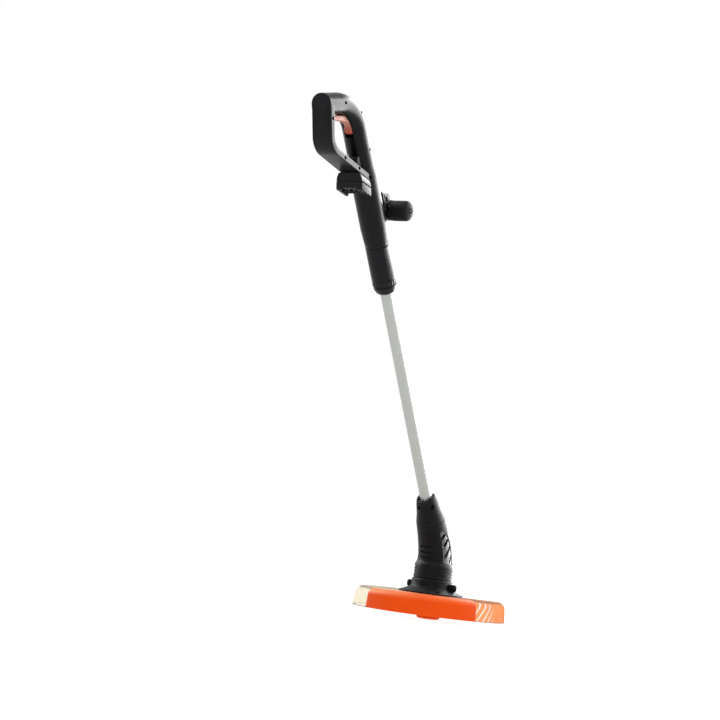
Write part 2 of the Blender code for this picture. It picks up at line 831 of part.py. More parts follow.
def make_housing_screws():
    """Seven long screws across the housing and the short one at the sleeve."""
    screws = [renamed(sleeve_screw_solid(0.0), "sleeve_screw")]
    for number, (up, back) in enumerate(HOUSING_SCREWS):
        front, height = on_handle(back, up)
        screw = screw_solid(across_space(front, height), SCREW_SEAT, SCREW_SEAT + SCREW_REACH)
        screws.append(renamed(screw, f"housing_screw_{number + 1}"))
    return screws


def renamed(item, name):
    """Names an object and its mesh."""
    item.name = name
    item.data.name = name
    return item


def screw_solid(space, seat, length):
    """A pan-head screw along the space's Z axis with its seat at a given height."""
    outline = (
        (0.0, seat - length),
        (SCREW_SHANK_RADIUS * 0.6, seat - length),
        (SCREW_SHANK_RADIUS, seat - length + 0.0015),
        (SCREW_SHANK_RADIUS, seat),
        (SCREW_HEAD_RADIUS, seat),
        (SCREW_HEAD_RADIUS, seat + SCREW_HEAD_HEIGHT * 0.6),
        (SCREW_HEAD_RADIUS * 0.7, seat + SCREW_HEAD_HEIGHT),
        (0.0, seat + SCREW_HEAD_HEIGHT),
    )
    return turned("screw", outline, SMALL_SIDES, space)


def make_barrel_sleeve():
    """Fixed sleeve under the housing with its spigot and the label place left bare."""
    foot = SLEEVE_FOOT
    top = SLEEVE_FOOT + SLEEVE_LENGTH
    outline = (
        (SLEEVE_BORE, foot),
        (BARREL_RADIUS - 0.0008, foot),
        (BARREL_RADIUS, foot + 0.0008),
        (BARREL_RADIUS, top - 0.0008),
        (BARREL_RADIUS - 0.0008, top),
        (SLEEVE_SPIGOT_RADIUS, top),
        (SLEEVE_SPIGOT_RADIUS, top + GAP + SLEEVE_SPIGOT - 0.001),
        (SLEEVE_SPIGOT_RADIUS - 0.001, top + GAP + SLEEVE_SPIGOT),
        (SLEEVE_BORE, top + GAP + SLEEVE_SPIGOT),
    )
    sleeve = turned("barrel_sleeve", outline, HEAD_SIDES, SHAFT_SPACE)
    return cut(sleeve, sleeve_screw_solid(GAP))


def make_lock_collar():
    """Domed twist collar with a fluted band."""
    foot = COLLAR_FOOT
    band = foot + COLLAR_NOSE_LENGTH
    inner = COLLET_RADIUS + RUNNING_GAP
    outline = (
        (TUBE_RADIUS + GAP, foot),
        (COLLAR_NOSE_RADIUS, foot),
        (COLLAR_NOSE_RADIUS + 0.0030, foot + 0.0014),
        (COLLAR_RADIUS - 0.0042, foot + 0.0042),
        (COLLAR_RADIUS - 0.0016, foot + 0.0080),
        (COLLAR_RADIUS, foot + 0.0132),
        (COLLAR_RADIUS, band - 0.0006),
        (COLLAR_RADIUS - 0.0008, band),
        (COLLAR_RADIUS, band + 0.0008),
        (COLLAR_RADIUS, COLLAR_TOP - 0.0014),
        (COLLAR_RADIUS - 0.0008, COLLAR_TOP),
        (inner, COLLAR_TOP),
        (inner, COLLET_FOOT - GAP),
        (TUBE_RADIUS + GAP, COLLET_FOOT - GAP),
    )
    sides = FLUTES * 2
    collar = turned("lock_collar", outline, sides, SHAFT_SPACE)
    low = band + 0.0004
    high = COLLAR_TOP - 0.0010
    step = 2.0 * math.pi / sides
    for vert in collar.data.vertices:
        radius = math.hypot(vert.co.x, vert.co.y)
        number = round(math.atan2(vert.co.y, vert.co.x) / step) % 2
        if low < vert.co.z < high and radius > COLLAR_RADIUS - 1e-5 and number == 1:
            share = (COLLAR_RADIUS - FLUTE_DEPTH) / radius
            vert.co.x *= share
            vert.co.y *= share
    return collar


def make_collet():
    """Slotted collet that the collar squeezes on the tube."""
    bore = TUBE_RADIUS + RUNNING_GAP
    outline = (
        (bore, COLLET_FOOT),
        (COLLET_RADIUS - 0.0010, COLLET_FOOT),
        (COLLET_RADIUS, COLLET_FOOT + 0.0030),
        (COLLET_RADIUS, COLLET_TOP),
        (bore, COLLET_TOP),
    )
    collet = turned("collet", outline, ROUND_SIDES, SHAFT_SPACE)
    slots = []
    for index in range(2):
        turn = Matrix.Rotation(math.pi / 2.0 * index + math.pi / 4.0, 4, "Z")
        half = 0.0008
        slots.append(
            block(
                "slot",
                (-0.020, -half, COLLET_FOOT - 0.001),
                (0.020, half, COLLET_FOOT + 0.014),
                SHAFT_SPACE @ turn,
            )
        )
    return cut(collet, *slots)


def make_battery_foot():
    """Lower part of the battery foot with its socket, rails and lips."""
    space = foot_space()
    top = FOOT_SEAM_HEIGHT - GAP
    rings = [
        [(across, forward, height) for forward, height in foot_outline(0.0, top)]
        for across in (-FOOT_HALF_WIDTH, FOOT_HALF_WIDTH)
    ]
    foot = lofted("battery_foot", rings, space)
    round_edges(foot, 0.0012, 2, math.radians(60.0))
    socket = block(
        "socket",
        (-SOCKET_HALF_WIDTH, SOCKET_END_WALL - 0.001, -0.002),
        (SOCKET_HALF_WIDTH, FOOT_LENGTH + 0.010, SOCKET_DEPTH),
        space,
    )
    barrel = turned(
        "barrel_room",
        (
            (0.0, HOUSING_FOOT + 0.05),
            (BULGE_RADIUS + GAP, HOUSING_FOOT + 0.05),
            (BULGE_RADIUS + GAP, HOUSING_FOOT + 0.16),
            (0.0, HOUSING_FOOT + 0.16),
        ),
        ROUND_SIDES,
        SHAFT_SPACE,
    )
    cut(foot, socket, barrel)
    for side in (-1.0, 1.0):
        wall = SOCKET_HALF_WIDTH + 0.001
        lip = block(
            "lip",
            (min(side * wall, side * (SOCKET_HALF_WIDTH - RAIL_LIP)), SOCKET_END_WALL + 0.008, 0.0016),
            (max(side * wall, side * (SOCKET_HALF_WIDTH - RAIL_LIP)), FOOT_LENGTH - 0.0052, 0.0016 + RAIL_LIP_HEIGHT),
            space,
        )
        join(foot, lip)
    return foot


def terminal_start():
    """Where the terminal block begins behind the socket's rear wall, in the foot's space."""
    return SOCKET_END_WALL + TERMINAL_SETBACK


def make_terminal_block():
    """Grid of walls round the battery contacts, hung from the socket's ceiling."""
    space = foot_space()
    start = terminal_start()
    end = start + TERMINAL_LENGTH
    top = SOCKET_DEPTH - GAP
    low = TERMINAL_LIFT
    grid = block(
        "terminal_block",
        (-TERMINAL_HALF_WIDTH, start, low),
        (TERMINAL_HALF_WIDTH, end, top),
        space,
    )
    slots = []
    for centre in terminal_centres():
        slots.append(
            block(
                "slot",
                (centre - TERMINAL_CELL / 2.0, start - 0.001, low - 0.001),
                (centre + TERMINAL_CELL / 2.0, end - 0.0020, top - TERMINAL_ROOF),
                space,
            )
        )
    cut(grid, *slots)
    middle = (start + end) / 2.0
    bar = block(
        "bar",
        (-TERMINAL_HALF_WIDTH + 0.0005, middle - 0.0008, low),
        (TERMINAL_HALF_WIDTH - 0.0005, middle + 0.0008, low + TERMINAL_BAR),
        space,
    )
    return join(grid, bar)


def terminal_centres():
    """Places of the terminal cells across the block."""
    pitch = TERMINAL_HALF_WIDTH * 2.0 / TERMINAL_SLOTS
    return [(index - (TERMINAL_SLOTS - 1) / 2.0) * pitch for index in range(TERMINAL_SLOTS)]


def make_battery_contacts():
    """Flat blades in the terminal cells, joined by the strip that carries them."""
    space = foot_space()
    start = terminal_start()
    top = SOCKET_DEPTH - GAP - TERMINAL_ROOF - GAP
    low = TERMINAL_LIFT + TERMINAL_BAR + GAP
    rear = start - GAP
    half_strip = TERMINAL_HALF_WIDTH - 0.0010
    strip = block(
        "battery_contacts",
        (-half_strip, rear - CONTACT_THICKNESS, top - 0.0030),
        (half_strip, rear, top),
        space,
    )
    for number, centre in enumerate(terminal_centres()):
        if number == TERMINAL_SLOTS // 2:
            continue
        half = CONTACT_THICKNESS / 2.0
        blade = block(
            "blade",
            (centre - half, rear - CONTACT_THICKNESS, low),
            (centre + half, start + TERMINAL_LENGTH - 0.0020 - GAP, top),
            space,
        )
        join(strip, blade)
    return strip


def make_switch():
    """Micro switch above the trigger, with its plunger."""
    body = side_prism("trigger_switch", switch_outline(0.0), -SWITCH_HALF_WIDTH, SWITCH_HALF_WIDTH)
    return join(body, plunger_solid(0.0, 0.0))


def make_trigger_pin():
    """Steel pin that the trigger turns on."""
    front, height = trigger_pivot()
    reach = POCKET_HALF_WIDTH + 0.0040
    pin = rod(
        "trigger_pin",
        (-reach, front, height),
        (reach, front, height),
        TRIGGER_PIN_RADIUS,
        SMALL_SIDES,
        SHAFT_SPACE,
    )
    return pin


def make_trigger_spring():
    """Torsion coil beside the trigger's eye, round its pin."""
    front, height = trigger_pivot()
    start = TRIGGER_EYE_HALF_WIDTH + GAP + SPRING_WIRE / 2.0
    turns = 3
    pitch = (POCKET_HALF_WIDTH - GAP - SPRING_WIRE / 2.0 - start) / turns
    place = across_space(front, height) @ Matrix.Translation((0.0, 0.0, start))
    return coil("trigger_spring", 0.0032, SPRING_WIRE / 2.0, pitch, turns, place, 10, 5)


def make_trigger():
    """Curved trigger with its arm and the eye round the pin."""
    blade = (
        on_handle(0.0630, 0.2455),
        on_handle(0.0445, 0.2375),
        on_handle(0.0285, 0.2305),
        on_handle(0.0218, 0.2250),
        on_handle(0.0200, 0.2190),
        on_handle(0.0214, 0.2120),
        on_handle(0.0204, 0.2072),
        on_handle(0.0166, 0.2050),
        on_handle(0.0122, 0.2090),
        on_handle(0.0110, 0.2170),
        on_handle(0.0130, 0.2270),
        on_handle(0.0172, 0.2345),
        on_handle(0.0240, 0.2405),
        on_handle(0.0334, 0.2450),
        on_handle(0.0614, 0.2532),
    )
    trigger = side_prism("trigger", blade, -TRIGGER_HALF_WIDTH, TRIGGER_HALF_WIDTH)
    round_edges(trigger, 0.0012, 2, math.radians(50.0))
    front, height = trigger_pivot()
    eye_half = TRIGGER_EYE_HALF_WIDTH
    arm = (
        on_handle(0.0500, 0.2470),
        on_handle(0.0500, 0.2570),
        on_handle(0.0530, 0.2592),
        on_handle(0.0590, 0.2594),
        on_handle(0.0690, 0.2690),
        on_handle(0.0740, 0.2612),
        on_handle(0.0640, 0.2465),
    )
    join(trigger, side_prism("arm", arm, -eye_half, eye_half))
    eye = rod("eye", (-eye_half, front, height), (eye_half, front, height), TRIGGER_EYE_RADIUS, 24, SHAFT_SPACE)
    join(trigger, eye)
    hole = rod(
        "hole",
        (-0.02, front, height),
        (0.02, front, height),
        TRIGGER_PIN_RADIUS + RUNNING_GAP,
        BORE_SIDES,
        SHAFT_SPACE,
    )
    return cut(trigger, hole)


def make_lock_button():
    """Round lock-off button on the left side of the barrel."""
    front, height = on_handle(-0.003, LOCK_BUTTON_UP)
    face = BARREL_TOP_RADIUS + LOCK_BUTTON_PROUD
    outline = (
        (0.0, face - LOCK_BUTTON_LENGTH),
        (LOCK_BUTTON_RADIUS, face - LOCK_BUTTON_LENGTH),
        (LOCK_BUTTON_RADIUS, face - 0.0008),
        (LOCK_BUTTON_RADIUS - 0.0008, face),
        (0.0, face - 0.0005),
    )
    turn = across_space(front, height) @ Matrix.Rotation(math.pi, 4, "Y")
    return turned("lock_button", outline, 24, turn)


# Auxiliary handle

def aux_grip_centre():
    """Middle of the cross grip, as (front, up)."""
    front, height = aux_pivot()
    return (
        front + AUX_ARM_LENGTH * math.sin(AUX_ARM_ANGLE),
        height - AUX_ARM_LENGTH * math.cos(AUX_ARM_ANGLE),
    )


def make_aux_bracket():
    """Saddle on the housing's front with two ears for the pivot bolt."""
    front, height = aux_pivot()
    inner = BULGE_RADIUS + GAP
    outer = inner + AUX_SADDLE_THICKNESS
    spread = math.radians(52.0)
    outside = arc_points((0.0, 0.0), outer, math.pi / 2.0 - spread, math.pi / 2.0 + spread, 10)
    inside = arc_points((0.0, 0.0), inner, math.pi / 2.0 + spread, math.pi / 2.0 - spread, 10)
    saddle = top_prism(
        "aux_bracket",
        outside + inside,
        height - AUX_SADDLE_LENGTH * 0.45,
        height + AUX_SADDLE_LENGTH * 0.55,
        SHAFT_SPACE,
    )
    for side in (-1.0, 1.0):
        near = side * (AUX_HUB_HALF_WIDTH + GAP)
        far = side * (AUX_HUB_HALF_WIDTH + GAP + AUX_EAR_THICKNESS)
        outline = arc_points((front, height), AUX_EAR_RADIUS, math.radians(-62.0), math.radians(62.0), 8)
        outline += [(outer - 0.0060, height + 0.0165), (outer - 0.0060, height - 0.0130)]
        ear = side_prism("ear", outline, min(near, far), max(near, far))
        join(saddle, ear)
    trim = turned(
        "trim",
        (
            (0.0, height - 0.05),
            (inner, height - 0.05),
            (inner, height + 0.05),
            (0.0, height + 0.05),
        ),
        36,
        SHAFT_SPACE,
    )
    hole = rod(
        "hole",
        (-0.03, front, height),
        (0.03, front, height),
        AUX_BOLT_RADIUS + GAP,
        12,
        SHAFT_SPACE,
    )
    return cut(saddle, trim, hole)


def make_aux_bolt():
    """Bolt with a round head on the right and a nut on the left."""
    front, height = aux_pivot()
    face = AUX_HUB_HALF_WIDTH + GAP + AUX_EAR_THICKNESS + GAP
    outline = (
        (0.0, -face - 0.0050),
        (AUX_BOLT_RADIUS, -face - 0.0050),
        (AUX_BOLT_RADIUS, face),
        (AUX_BOLT_RADIUS * 1.9, face),
        (AUX_BOLT_RADIUS * 1.9, face + 0.0016),
        (AUX_BOLT_RADIUS * 1.4, face + 0.0026),
        (0.0, face + 0.0026),
    )
    space = across_space(front, height)
    bolt = turned("aux_bolt", outline, 12, space)
    nut = turned(
        "nut",
        (
            (AUX_BOLT_RADIUS * 0.8, -face - 0.0040),
            (AUX_BOLT_RADIUS * 1.8, -face - 0.0040),
            (AUX_BOLT_RADIUS * 1.8, -face),
            (AUX_BOLT_RADIUS * 0.8, -face),
        ),
        6,
        space,
    )
    return join(bolt, nut)


def make_aux_stem():
    """T-shaped core: toothed hub, waisted arm and the bar inside the grips."""
    front, height = aux_pivot()
    grip = Vector(aux_grip_centre())
    hub_space = across_space(front, height)
    sides = AUX_TEETH * 3
    hub = turned(
        "aux_stem",
        (
            (0.0, -AUX_HUB_HALF_WIDTH),
            (AUX_HUB_RADIUS, -AUX_HUB_HALF_WIDTH),
            (AUX_HUB_RADIUS, AUX_HUB_HALF_WIDTH),
            (0.0, AUX_HUB_HALF_WIDTH),
        ),
        sides,
        hub_space,
    )
    for vert in hub.data.vertices:
        radius = math.hypot(vert.co.x, vert.co.y)
        number = round(math.atan2(vert.co.y, vert.co.x) * sides / (2.0 * math.pi)) % 3
        if radius > AUX_HUB_RADIUS * 0.9 and number == 1:
            share = (AUX_HUB_RADIUS - AUX_TOOTH_DEPTH) / radius
            vert.co.x *= share
            vert.co.y *= share
    pivot = Vector((front, height))
    along = (grip - pivot).normalized()
    across = Vector((-along.y, along.x))
    reach = AUX_ARM_LENGTH
    half = AUX_HUB_RADIUS - AUX_TOOTH_DEPTH - 0.0006
    profile = (
        (0.0, half),
        (reach * 0.30, half * 0.80),
        (reach * 0.60, half * 1.05),
        (reach * 0.85, half * 1.75),
        (reach, half * 2.0),
    )
    outline = [tuple(pivot + along * d + across * w) for d, w in profile]
    outline += [tuple(pivot + along * d - across * w) for d, w in reversed(profile)]
    arm = side_prism("arm", outline, -AUX_HUB_HALF_WIDTH + 0.0006, AUX_HUB_HALF_WIDTH - 0.0006)
    bar_space = across_space(grip.x, grip.y)
    inner = AUX_GRIP_HALF_LENGTH - 0.0060
    boss = AUX_BOSS_HALF_WIDTH
    bar = turned(
        "bar",
        (
            (0.0, -inner),
            (AUX_CORE_RADIUS, -inner),
            (AUX_CORE_RADIUS, -boss),
            (AUX_GRIP_RADIUS - 0.0012, -boss),
            (AUX_GRIP_RADIUS - 0.0004, -boss + 0.0015),
            (AUX_GRIP_RADIUS - 0.0004, boss - 0.0015),
            (AUX_GRIP_RADIUS - 0.0012, boss),
            (AUX_CORE_RADIUS, boss),
            (AUX_CORE_RADIUS, inner),
            (0.0, inner),
        ),
        BORE_SIDES,
        bar_space,
    )
    join(hub, arm, bar)
    bolt_hole = turned(
        "bolt_hole",
        (
            (0.0, -0.02),
            (AUX_BOLT_RADIUS + RUNNING_GAP, -0.02),
            (AUX_BOLT_RADIUS + RUNNING_GAP, 0.02),
            (0.0, 0.02),
        ),
        BORE_SIDES,
        hub_space,
        0.1,
    )
    through_hole = turned(
        "through_hole",
        (
            (0.0, -inner - 0.01),
            (SCREW_SHANK_RADIUS + GAP, -inner - 0.01),
            (SCREW_SHANK_RADIUS + GAP, inner + 0.01),
            (0.0, inner + 0.01),
        ),
        SMALL_SIDES,
        bar_space,
    )
    return cut(hub, bolt_hole, through_hole)


def make_aux_grip(name, side):
    """Soft sleeve on one side of the cross bar with a domed end round the bolt."""
    grip = aux_grip_centre()
    turn = Matrix.Rotation(0.0 if side > 0.0 else math.pi, 4, "Y")
    space = across_space(grip[0], grip[1]) @ turn
    start = AUX_BOSS_HALF_WIDTH + GAP
    end = AUX_GRIP_HALF_LENGTH
    bore = AUX_CORE_RADIUS + GAP
    floor = end - 0.0060 + GAP
    outline = [(bore, start), (AUX_GRIP_RADIUS - 0.0008, start), (AUX_GRIP_RADIUS, start + 0.0010)]
    for step in range(5):
        angle = math.radians(18.0) * step
        across = AUX_GRIP_RADIUS * math.cos(angle) ** AUX_GRIP_FULLNESS
        along = AUX_GRIP_DOME * math.sin(angle) ** AUX_GRIP_FULLNESS
        outline.append((across, end - AUX_GRIP_DOME + along))
    outline += [
        (SCREW_HEAD_RADIUS + 0.0016, end),
        (SCREW_HEAD_RADIUS + GAP, end),
        (SCREW_HEAD_RADIUS + GAP, end - 0.0030),
        (SCREW_SHANK_RADIUS + GAP, end - 0.0030),
        (SCREW_SHANK_RADIUS + GAP, floor),
        (bore, floor),
    ]
    return turned(name, outline, BORE_SIDES, space)


def make_grip_bolt():
    """Long bolt through the cross bar, with its head on the right and a nut on the left."""
    grip = aux_grip_centre()
    seat = AUX_GRIP_HALF_LENGTH - 0.0030 + GAP
    outline = (
        (0.0, -seat - 0.0020),
        (SCREW_SHANK_RADIUS, -seat - 0.0020),
        (SCREW_HEAD_RADIUS, -seat - 0.0018),
        (SCREW_HEAD_RADIUS, -seat),
        (SCREW_SHANK_RADIUS, -seat),
        (SCREW_SHANK_RADIUS, seat),
        (SCREW_HEAD_RADIUS, seat),
        (SCREW_HEAD_RADIUS, seat + 0.0014),
        (SCREW_HEAD_RADIUS * 0.7, seat + 0.0022),
        (0.0, seat + 0.0022),
    )
    return turned("grip_bolt", outline, SMALL_SIDES, across_space(grip[0], grip[1]))


# Tube and neck

def make_shaft_tube():
    """Plain drawn tube."""
    outline = (
        (TUBE_RADIUS - TUBE_WALL, TUBE_FOOT),
        (TUBE_RADIUS, TUBE_FOOT),
        (TUBE_RADIUS, TUBE_TOP),
        (TUBE_RADIUS - TUBE_WALL, TUBE_TOP),
    )
    return turned("shaft_tube", outline, ROUND_SIDES, SHAFT_SPACE)


def make_tube_stop():
    """Ring on the tube's upper end that stops it at the collet."""
    bore = TUBE_RADIUS + GAP / 2.0
    top = TUBE_TOP - 0.0005
    outline = (
        (bore, STOP_RING_FOOT),
        (STOP_RING_RADIUS, STOP_RING_FOOT),
        (STOP_RING_RADIUS, top - 0.0010),
        (STOP_RING_RADIUS - 0.0010, top),
        (bore, top),
    )
    return turned("tube_stop", outline, ROUND_SIDES, SHAFT_SPACE)


def neck_screw_space(bearing):
    """A space whose Z axis points out of the neck at a bearing from the rear."""
    height = NECK_TOP - NECK_SCREW_DROP
    turn = Matrix.Rotation(bearing, 4, "Z") @ Matrix.Rotation(math.pi / 2.0, 4, "X")
    return SHAFT_SPACE @ Matrix.Translation((0.0, 0.0, height)) @ turn


def make_neck():
    """Flared neck with a notched mouth, which holds the tube and turns on the head's spigot."""
    bore = TUBE_RADIUS + GAP / 2.0
    seam = NECK_SEAM + GAP
    spigot_room = NECK_SEAM + SPIGOT_HEIGHT + GAP
    outline = (
        (SPIGOT_RADIUS + RUNNING_GAP, seam),
        (NECK_SEAM_RADIUS - 0.0010, seam),
        (NECK_SEAM_RADIUS, seam + 0.0012),
        (NECK_SEAM_RADIUS - 0.0008, NECK_SEAM + 0.0050),
        (NECK_WAIST_RADIUS + 0.0026, NECK_SEAM + 0.0110),
        (NECK_WAIST_RADIUS + 0.0010, NECK_SEAM + 0.0180),
        (NECK_WAIST_RADIUS - 0.0004, NECK_SEAM + 0.0280),
        (NECK_TOP_RADIUS + 0.0002, NECK_TOP - 0.0100),
        (NECK_TOP_RADIUS, NECK_TOP - 0.0060),
        (NECK_RIM_RADIUS + 0.0025, NECK_TOP - 0.0015),
        (NECK_RIM_RADIUS, NECK_TOP),
        (NECK_MOUTH_RADIUS + 0.0006, NECK_TOP),
        (NECK_MOUTH_RADIUS, NECK_TOP - 0.0008),
        (bore, NECK_TOP - NECK_MOUTH_DEPTH),
        (bore, TUBE_FOOT - GAP),
        (TUBE_RADIUS - TUBE_WALL - 0.0010, TUBE_FOOT - GAP),
        (TUBE_RADIUS - TUBE_WALL - 0.0010, spigot_room),
        (SPIGOT_RADIUS + RUNNING_GAP, spigot_room),
    )
    neck = turned("neck", outline, 28, SHAFT_SPACE)
    holes = []
    for bearing in NECK_SCREW_ANGLES:
        holes.append(
            turned(
                "hole",
                (
                    (0.0, TUBE_RADIUS + 0.0008),
                    (SCREW_SHANK_RADIUS + GAP, TUBE_RADIUS + 0.0008),
                    (SCREW_SHANK_RADIUS + GAP, NECK_TOP_RADIUS - NECK_WELL_DEPTH),
                    (NECK_WELL_RADIUS, NECK_TOP_RADIUS - NECK_WELL_DEPTH),
                    (NECK_WELL_RADIUS, 0.030),
                    (0.0, 0.030),
                ),
                SMALL_SIDES,
                neck_screw_space(bearing),
            )
        )
    height = NECK_TOP + NECK_NOTCH_LIFT
    notch = rod("notch", (0.0, -0.03, height), (0.0, 0.03, height), NECK_NOTCH_RADIUS, ROUND_SIDES, SHAFT_SPACE)
    return cut(neck, notch, *holes)


def make_neck_screws():
    """Two screws in the neck's sunk wells."""
    screws = []
    seat = NECK_TOP_RADIUS - NECK_WELL_DEPTH + GAP
    for number, bearing in enumerate(NECK_SCREW_ANGLES):
        screw = screw_solid(neck_screw_space(bearing), seat, seat - TUBE_RADIUS - 0.0011)
        screws.append(renamed(screw, f"neck_screw_{number + 1}"))
    return screws


# Motor head

def head_station(share):
    """Centre (y, z) and lean of the head's centre line from its foot to the neck seam."""
    low = Vector((0.0, HEAD_FOOT + HEAD_BAND_HEIGHT))
    seam = Vector((-math.sin(SHAFT_TILT) * NECK_SEAM, CORNER_HEIGHT + math.cos(SHAFT_TILT) * NECK_SEAM))
    uphill = Vector((-math.sin(SHAFT_TILT), math.cos(SHAFT_TILT)))
    first = low + Vector((0.0, 0.026))
    second = seam - uphill * 0.030
    rest = 1.0 - share
    point = (
        low * rest**3
        + first * 3.0 * rest**2 * share
        + second * 3.0 * rest * share**2
        + seam * share**3
    )
    tangent = (
        (first - low) * rest**2
        + (second - first) * 2.0 * rest * share
        + (seam - second) * share**2
    )
    return point, math.atan2(-tangent.x, tangent.y)


def head_ring(share, radius, count=HEAD_SIDES, pinch=0.0):
    """A round section across the head's centre line, drawn in at both sides by a pinch."""
    centre, lean = head_station(share)
    ring = []
    for index in range(count):
        angle = 2.0 * math.pi * index / count
        across = (radius - pinch) * math.cos(angle)
        along = radius * math.sin(angle)
        ring.append((across, centre.x + along * math.cos(lean), centre.y + along * math.sin(lean)))
    return ring


def flat_ring(radius, height, count=HEAD_SIDES):
    """A level round section on the motor's axis."""
    ring = []
    for index in range(count):
        angle = 2.0 * math.pi * index / count
        ring.append((radius * math.cos(angle), radius * math.sin(angle), height))
    return ring


def head_radius(share):
    """Radius of the head's shell along its centre line."""
    return HEAD_WAIST_RADIUS + (NECK_SEAM_RADIUS - HEAD_WAIST_RADIUS) * share ** 1.2


def head_form(name, inset):
    """The head's outer form with all its radii reduced by an inset."""
    band = HEAD_FOOT + HEAD_BAND_HEIGHT
    rings = [
        flat_ring(HEAD_RADIUS - 0.0012 - inset, HEAD_FOOT),
        flat_ring(HEAD_RADIUS - inset, HEAD_FOOT + 0.0014),
        flat_ring(HEAD_RADIUS - inset, band - 0.0050),
        flat_ring(HEAD_RADIUS - 0.0005 - inset, band - 0.0020),
    ]
    shares = (0.0, 0.05, 0.12, 0.28, 0.45, 0.62, 0.80, 0.95)
    swell = (0.0026, 0.0013, 0.0003)
    for number, share in enumerate(shares):
        extra = swell[number] if number < len(swell) else 0.0
        rings.append(head_ring(share, head_radius(share) + extra - inset))
    rings.append(head_ring(0.985, NECK_SEAM_RADIUS - inset))
    rings.append(head_ring(1.0, NECK_SEAM_RADIUS - 0.0010 - inset))
    return lofted(name, rings)


def make_motor_housing():
    """Two halves of the motor's shell, with vents, side windows and a spigot."""
    band = HEAD_FOOT + HEAD_BAND_HEIGHT
    shell = head_form("motor_housing", 0.0)
    spigot = turned(
        "spigot",
        (
            (0.0, NECK_SEAM - 0.004),
            (SPIGOT_RADIUS, NECK_SEAM - 0.004),
            (SPIGOT_RADIUS, NECK_SEAM + SPIGOT_HEIGHT - 0.001),
            (SPIGOT_RADIUS - 0.001, NECK_SEAM + SPIGOT_HEIGHT),
            (0.0, NECK_SEAM + SPIGOT_HEIGHT),
        ),
        ROUND_SIDES,
        SHAFT_SPACE,
    )
    join(shell, spigot)
    shelf = HEAD_FOOT + FAN_CHAMBER_HEIGHT + 0.004
    inside = [
        flat_ring(HEAD_RADIUS - HEAD_WALL, shelf + 0.003, BORE_SIDES),
        flat_ring(HEAD_RADIUS - HEAD_WALL, band - 0.003, BORE_SIDES),
    ]
    side_wall = WINDOW_DEPTH + WINDOW_FLOOR
    for share in (0.06, 0.25, 0.45, 0.62, 0.78):
        inside.append(head_ring(share, head_radius(share) - HEAD_WALL, BORE_SIDES, side_wall - HEAD_WALL))
    chamber = turned(
        "chamber",
        (
            (0.0, HEAD_FOOT - 0.002),
            (FAN_RADIUS + 0.0025, HEAD_FOOT - 0.002),
            (FAN_RADIUS + 0.0025, shelf),
            (0.0, shelf),
        ),
        ROUND_SIDES,
    )
    shelf_hole = rod("shelf_hole", (0.0, 0.0, shelf - 0.001), (0.0, 0.0, shelf + 0.005), 0.0095, 20)
    duct = turned(
        "duct",
        (
            (0.0, NECK_SEAM - 0.030),
            (0.0060, NECK_SEAM - 0.030),
            (0.0060, NECK_SEAM + SPIGOT_HEIGHT + 0.002),
            (0.0, NECK_SEAM + SPIGOT_HEIGHT + 0.002),
        ),
        SMALL_SIDES,
        SHAFT_SPACE,
        0.1,
    )
    cut(shell, lofted("inside", inside), chamber, shelf_hole, duct)
    cutters = []
    for number in range(VENT_SLOTS):
        height = CORNER_HEIGHT + 0.0040 - VENT_SPACING * number
        slot = block(
            "vent",
            (-VENT_WIDTH / 2.0, -0.060, height - VENT_HEIGHT / 2.0),
            (VENT_WIDTH / 2.0, -0.016, height + VENT_HEIGHT / 2.0),
        )
        cutters.append(slot)
    for side in (-1.0, 1.0):
        recess = window_prism("recess", side, 0.0)
        cutters.append(cut(recess, head_form("floor", WINDOW_DEPTH)))
        cutters.append(window_prism("window", side, -0.0030))
        for rib in range(GRIP_RIBS):
            height = HEAD_FOOT + 0.0090 + 0.0056 * rib
            cutters.append(rib_groove(side, height))
    cutters += head_screw_cutters()
    cut(shell, *cutters)
    return split_in_halves(shell, "motor_housing_left", "motor_housing_right", WORLD_SPACE)


def window_outline(grow):
    """Side outline of the louvred window as (y, z), grown by a margin."""
    points = (
        (-0.0150, 0.1030),
        (-0.0175, 0.1180),
        (-0.0250, 0.1400),
        (-0.0340, 0.1560),
        (-0.0300, 0.1620),
        (-0.0180, 0.1590),
        (-0.0020, 0.1450),
        (0.0110, 0.1250),
        (0.0155, 0.1080),
        (0.0120, 0.1020),
    )
    centre = Vector((-0.0110, 0.1300))
    grown = []
    for point in points:
        spoke = Vector(point) - centre
        grown.append(tuple(centre + spoke * (1.0 + grow / spoke.length)))
    return grown


def window_prism(name, side, grow):
    """A bar with the window's outline, from inside the shell to beyond one of its sides."""
    near = HEAD_RADIUS * 0.35
    far = HEAD_RADIUS * 1.6
    return side_prism(name, window_outline(grow), min(side * near, side * far), max(side * near, side * far), WORLD_SPACE)


def rib_groove(side, height):
    """A shallow level groove between the grip ribs on one side of the head."""
    outline = (
        (HEAD_RADIUS - GRIP_RIB_DEPTH, height - 0.0009),
        (HEAD_RADIUS + 0.003, height - 0.0019),
        (HEAD_RADIUS + 0.003, height + 0.0019),
        (HEAD_RADIUS - GRIP_RIB_DEPTH, height + 0.0009),
    )
    middle = math.pi / 2.0 * side
    half = math.radians(45.0)
    return swept_sector("groove", outline, middle - half, middle + half, math.radians(9.0))


def head_screw_cutters():
    """Wells for the screws that tie the head's halves together."""
    wells = []
    for height, along in HEAD_SCREWS:
        space = Matrix.Translation((0.0, along, height)) @ Matrix.Rotation(math.pi / 2.0, 4, "Y")
        wells.append(
            turned(
                "well",
                (
                    (0.0, -0.0070 - GAP),
                    (0.0012 + GAP, -0.0070 - GAP),
                    (0.0012 + GAP, 0.0040 - GAP),
                    (0.0022 + GAP, 0.0040 - GAP),
                    (0.0022 + GAP, 0.040),
                    (0.0, 0.040),
                ),
                12,
                space,
            )
        )
    return wells


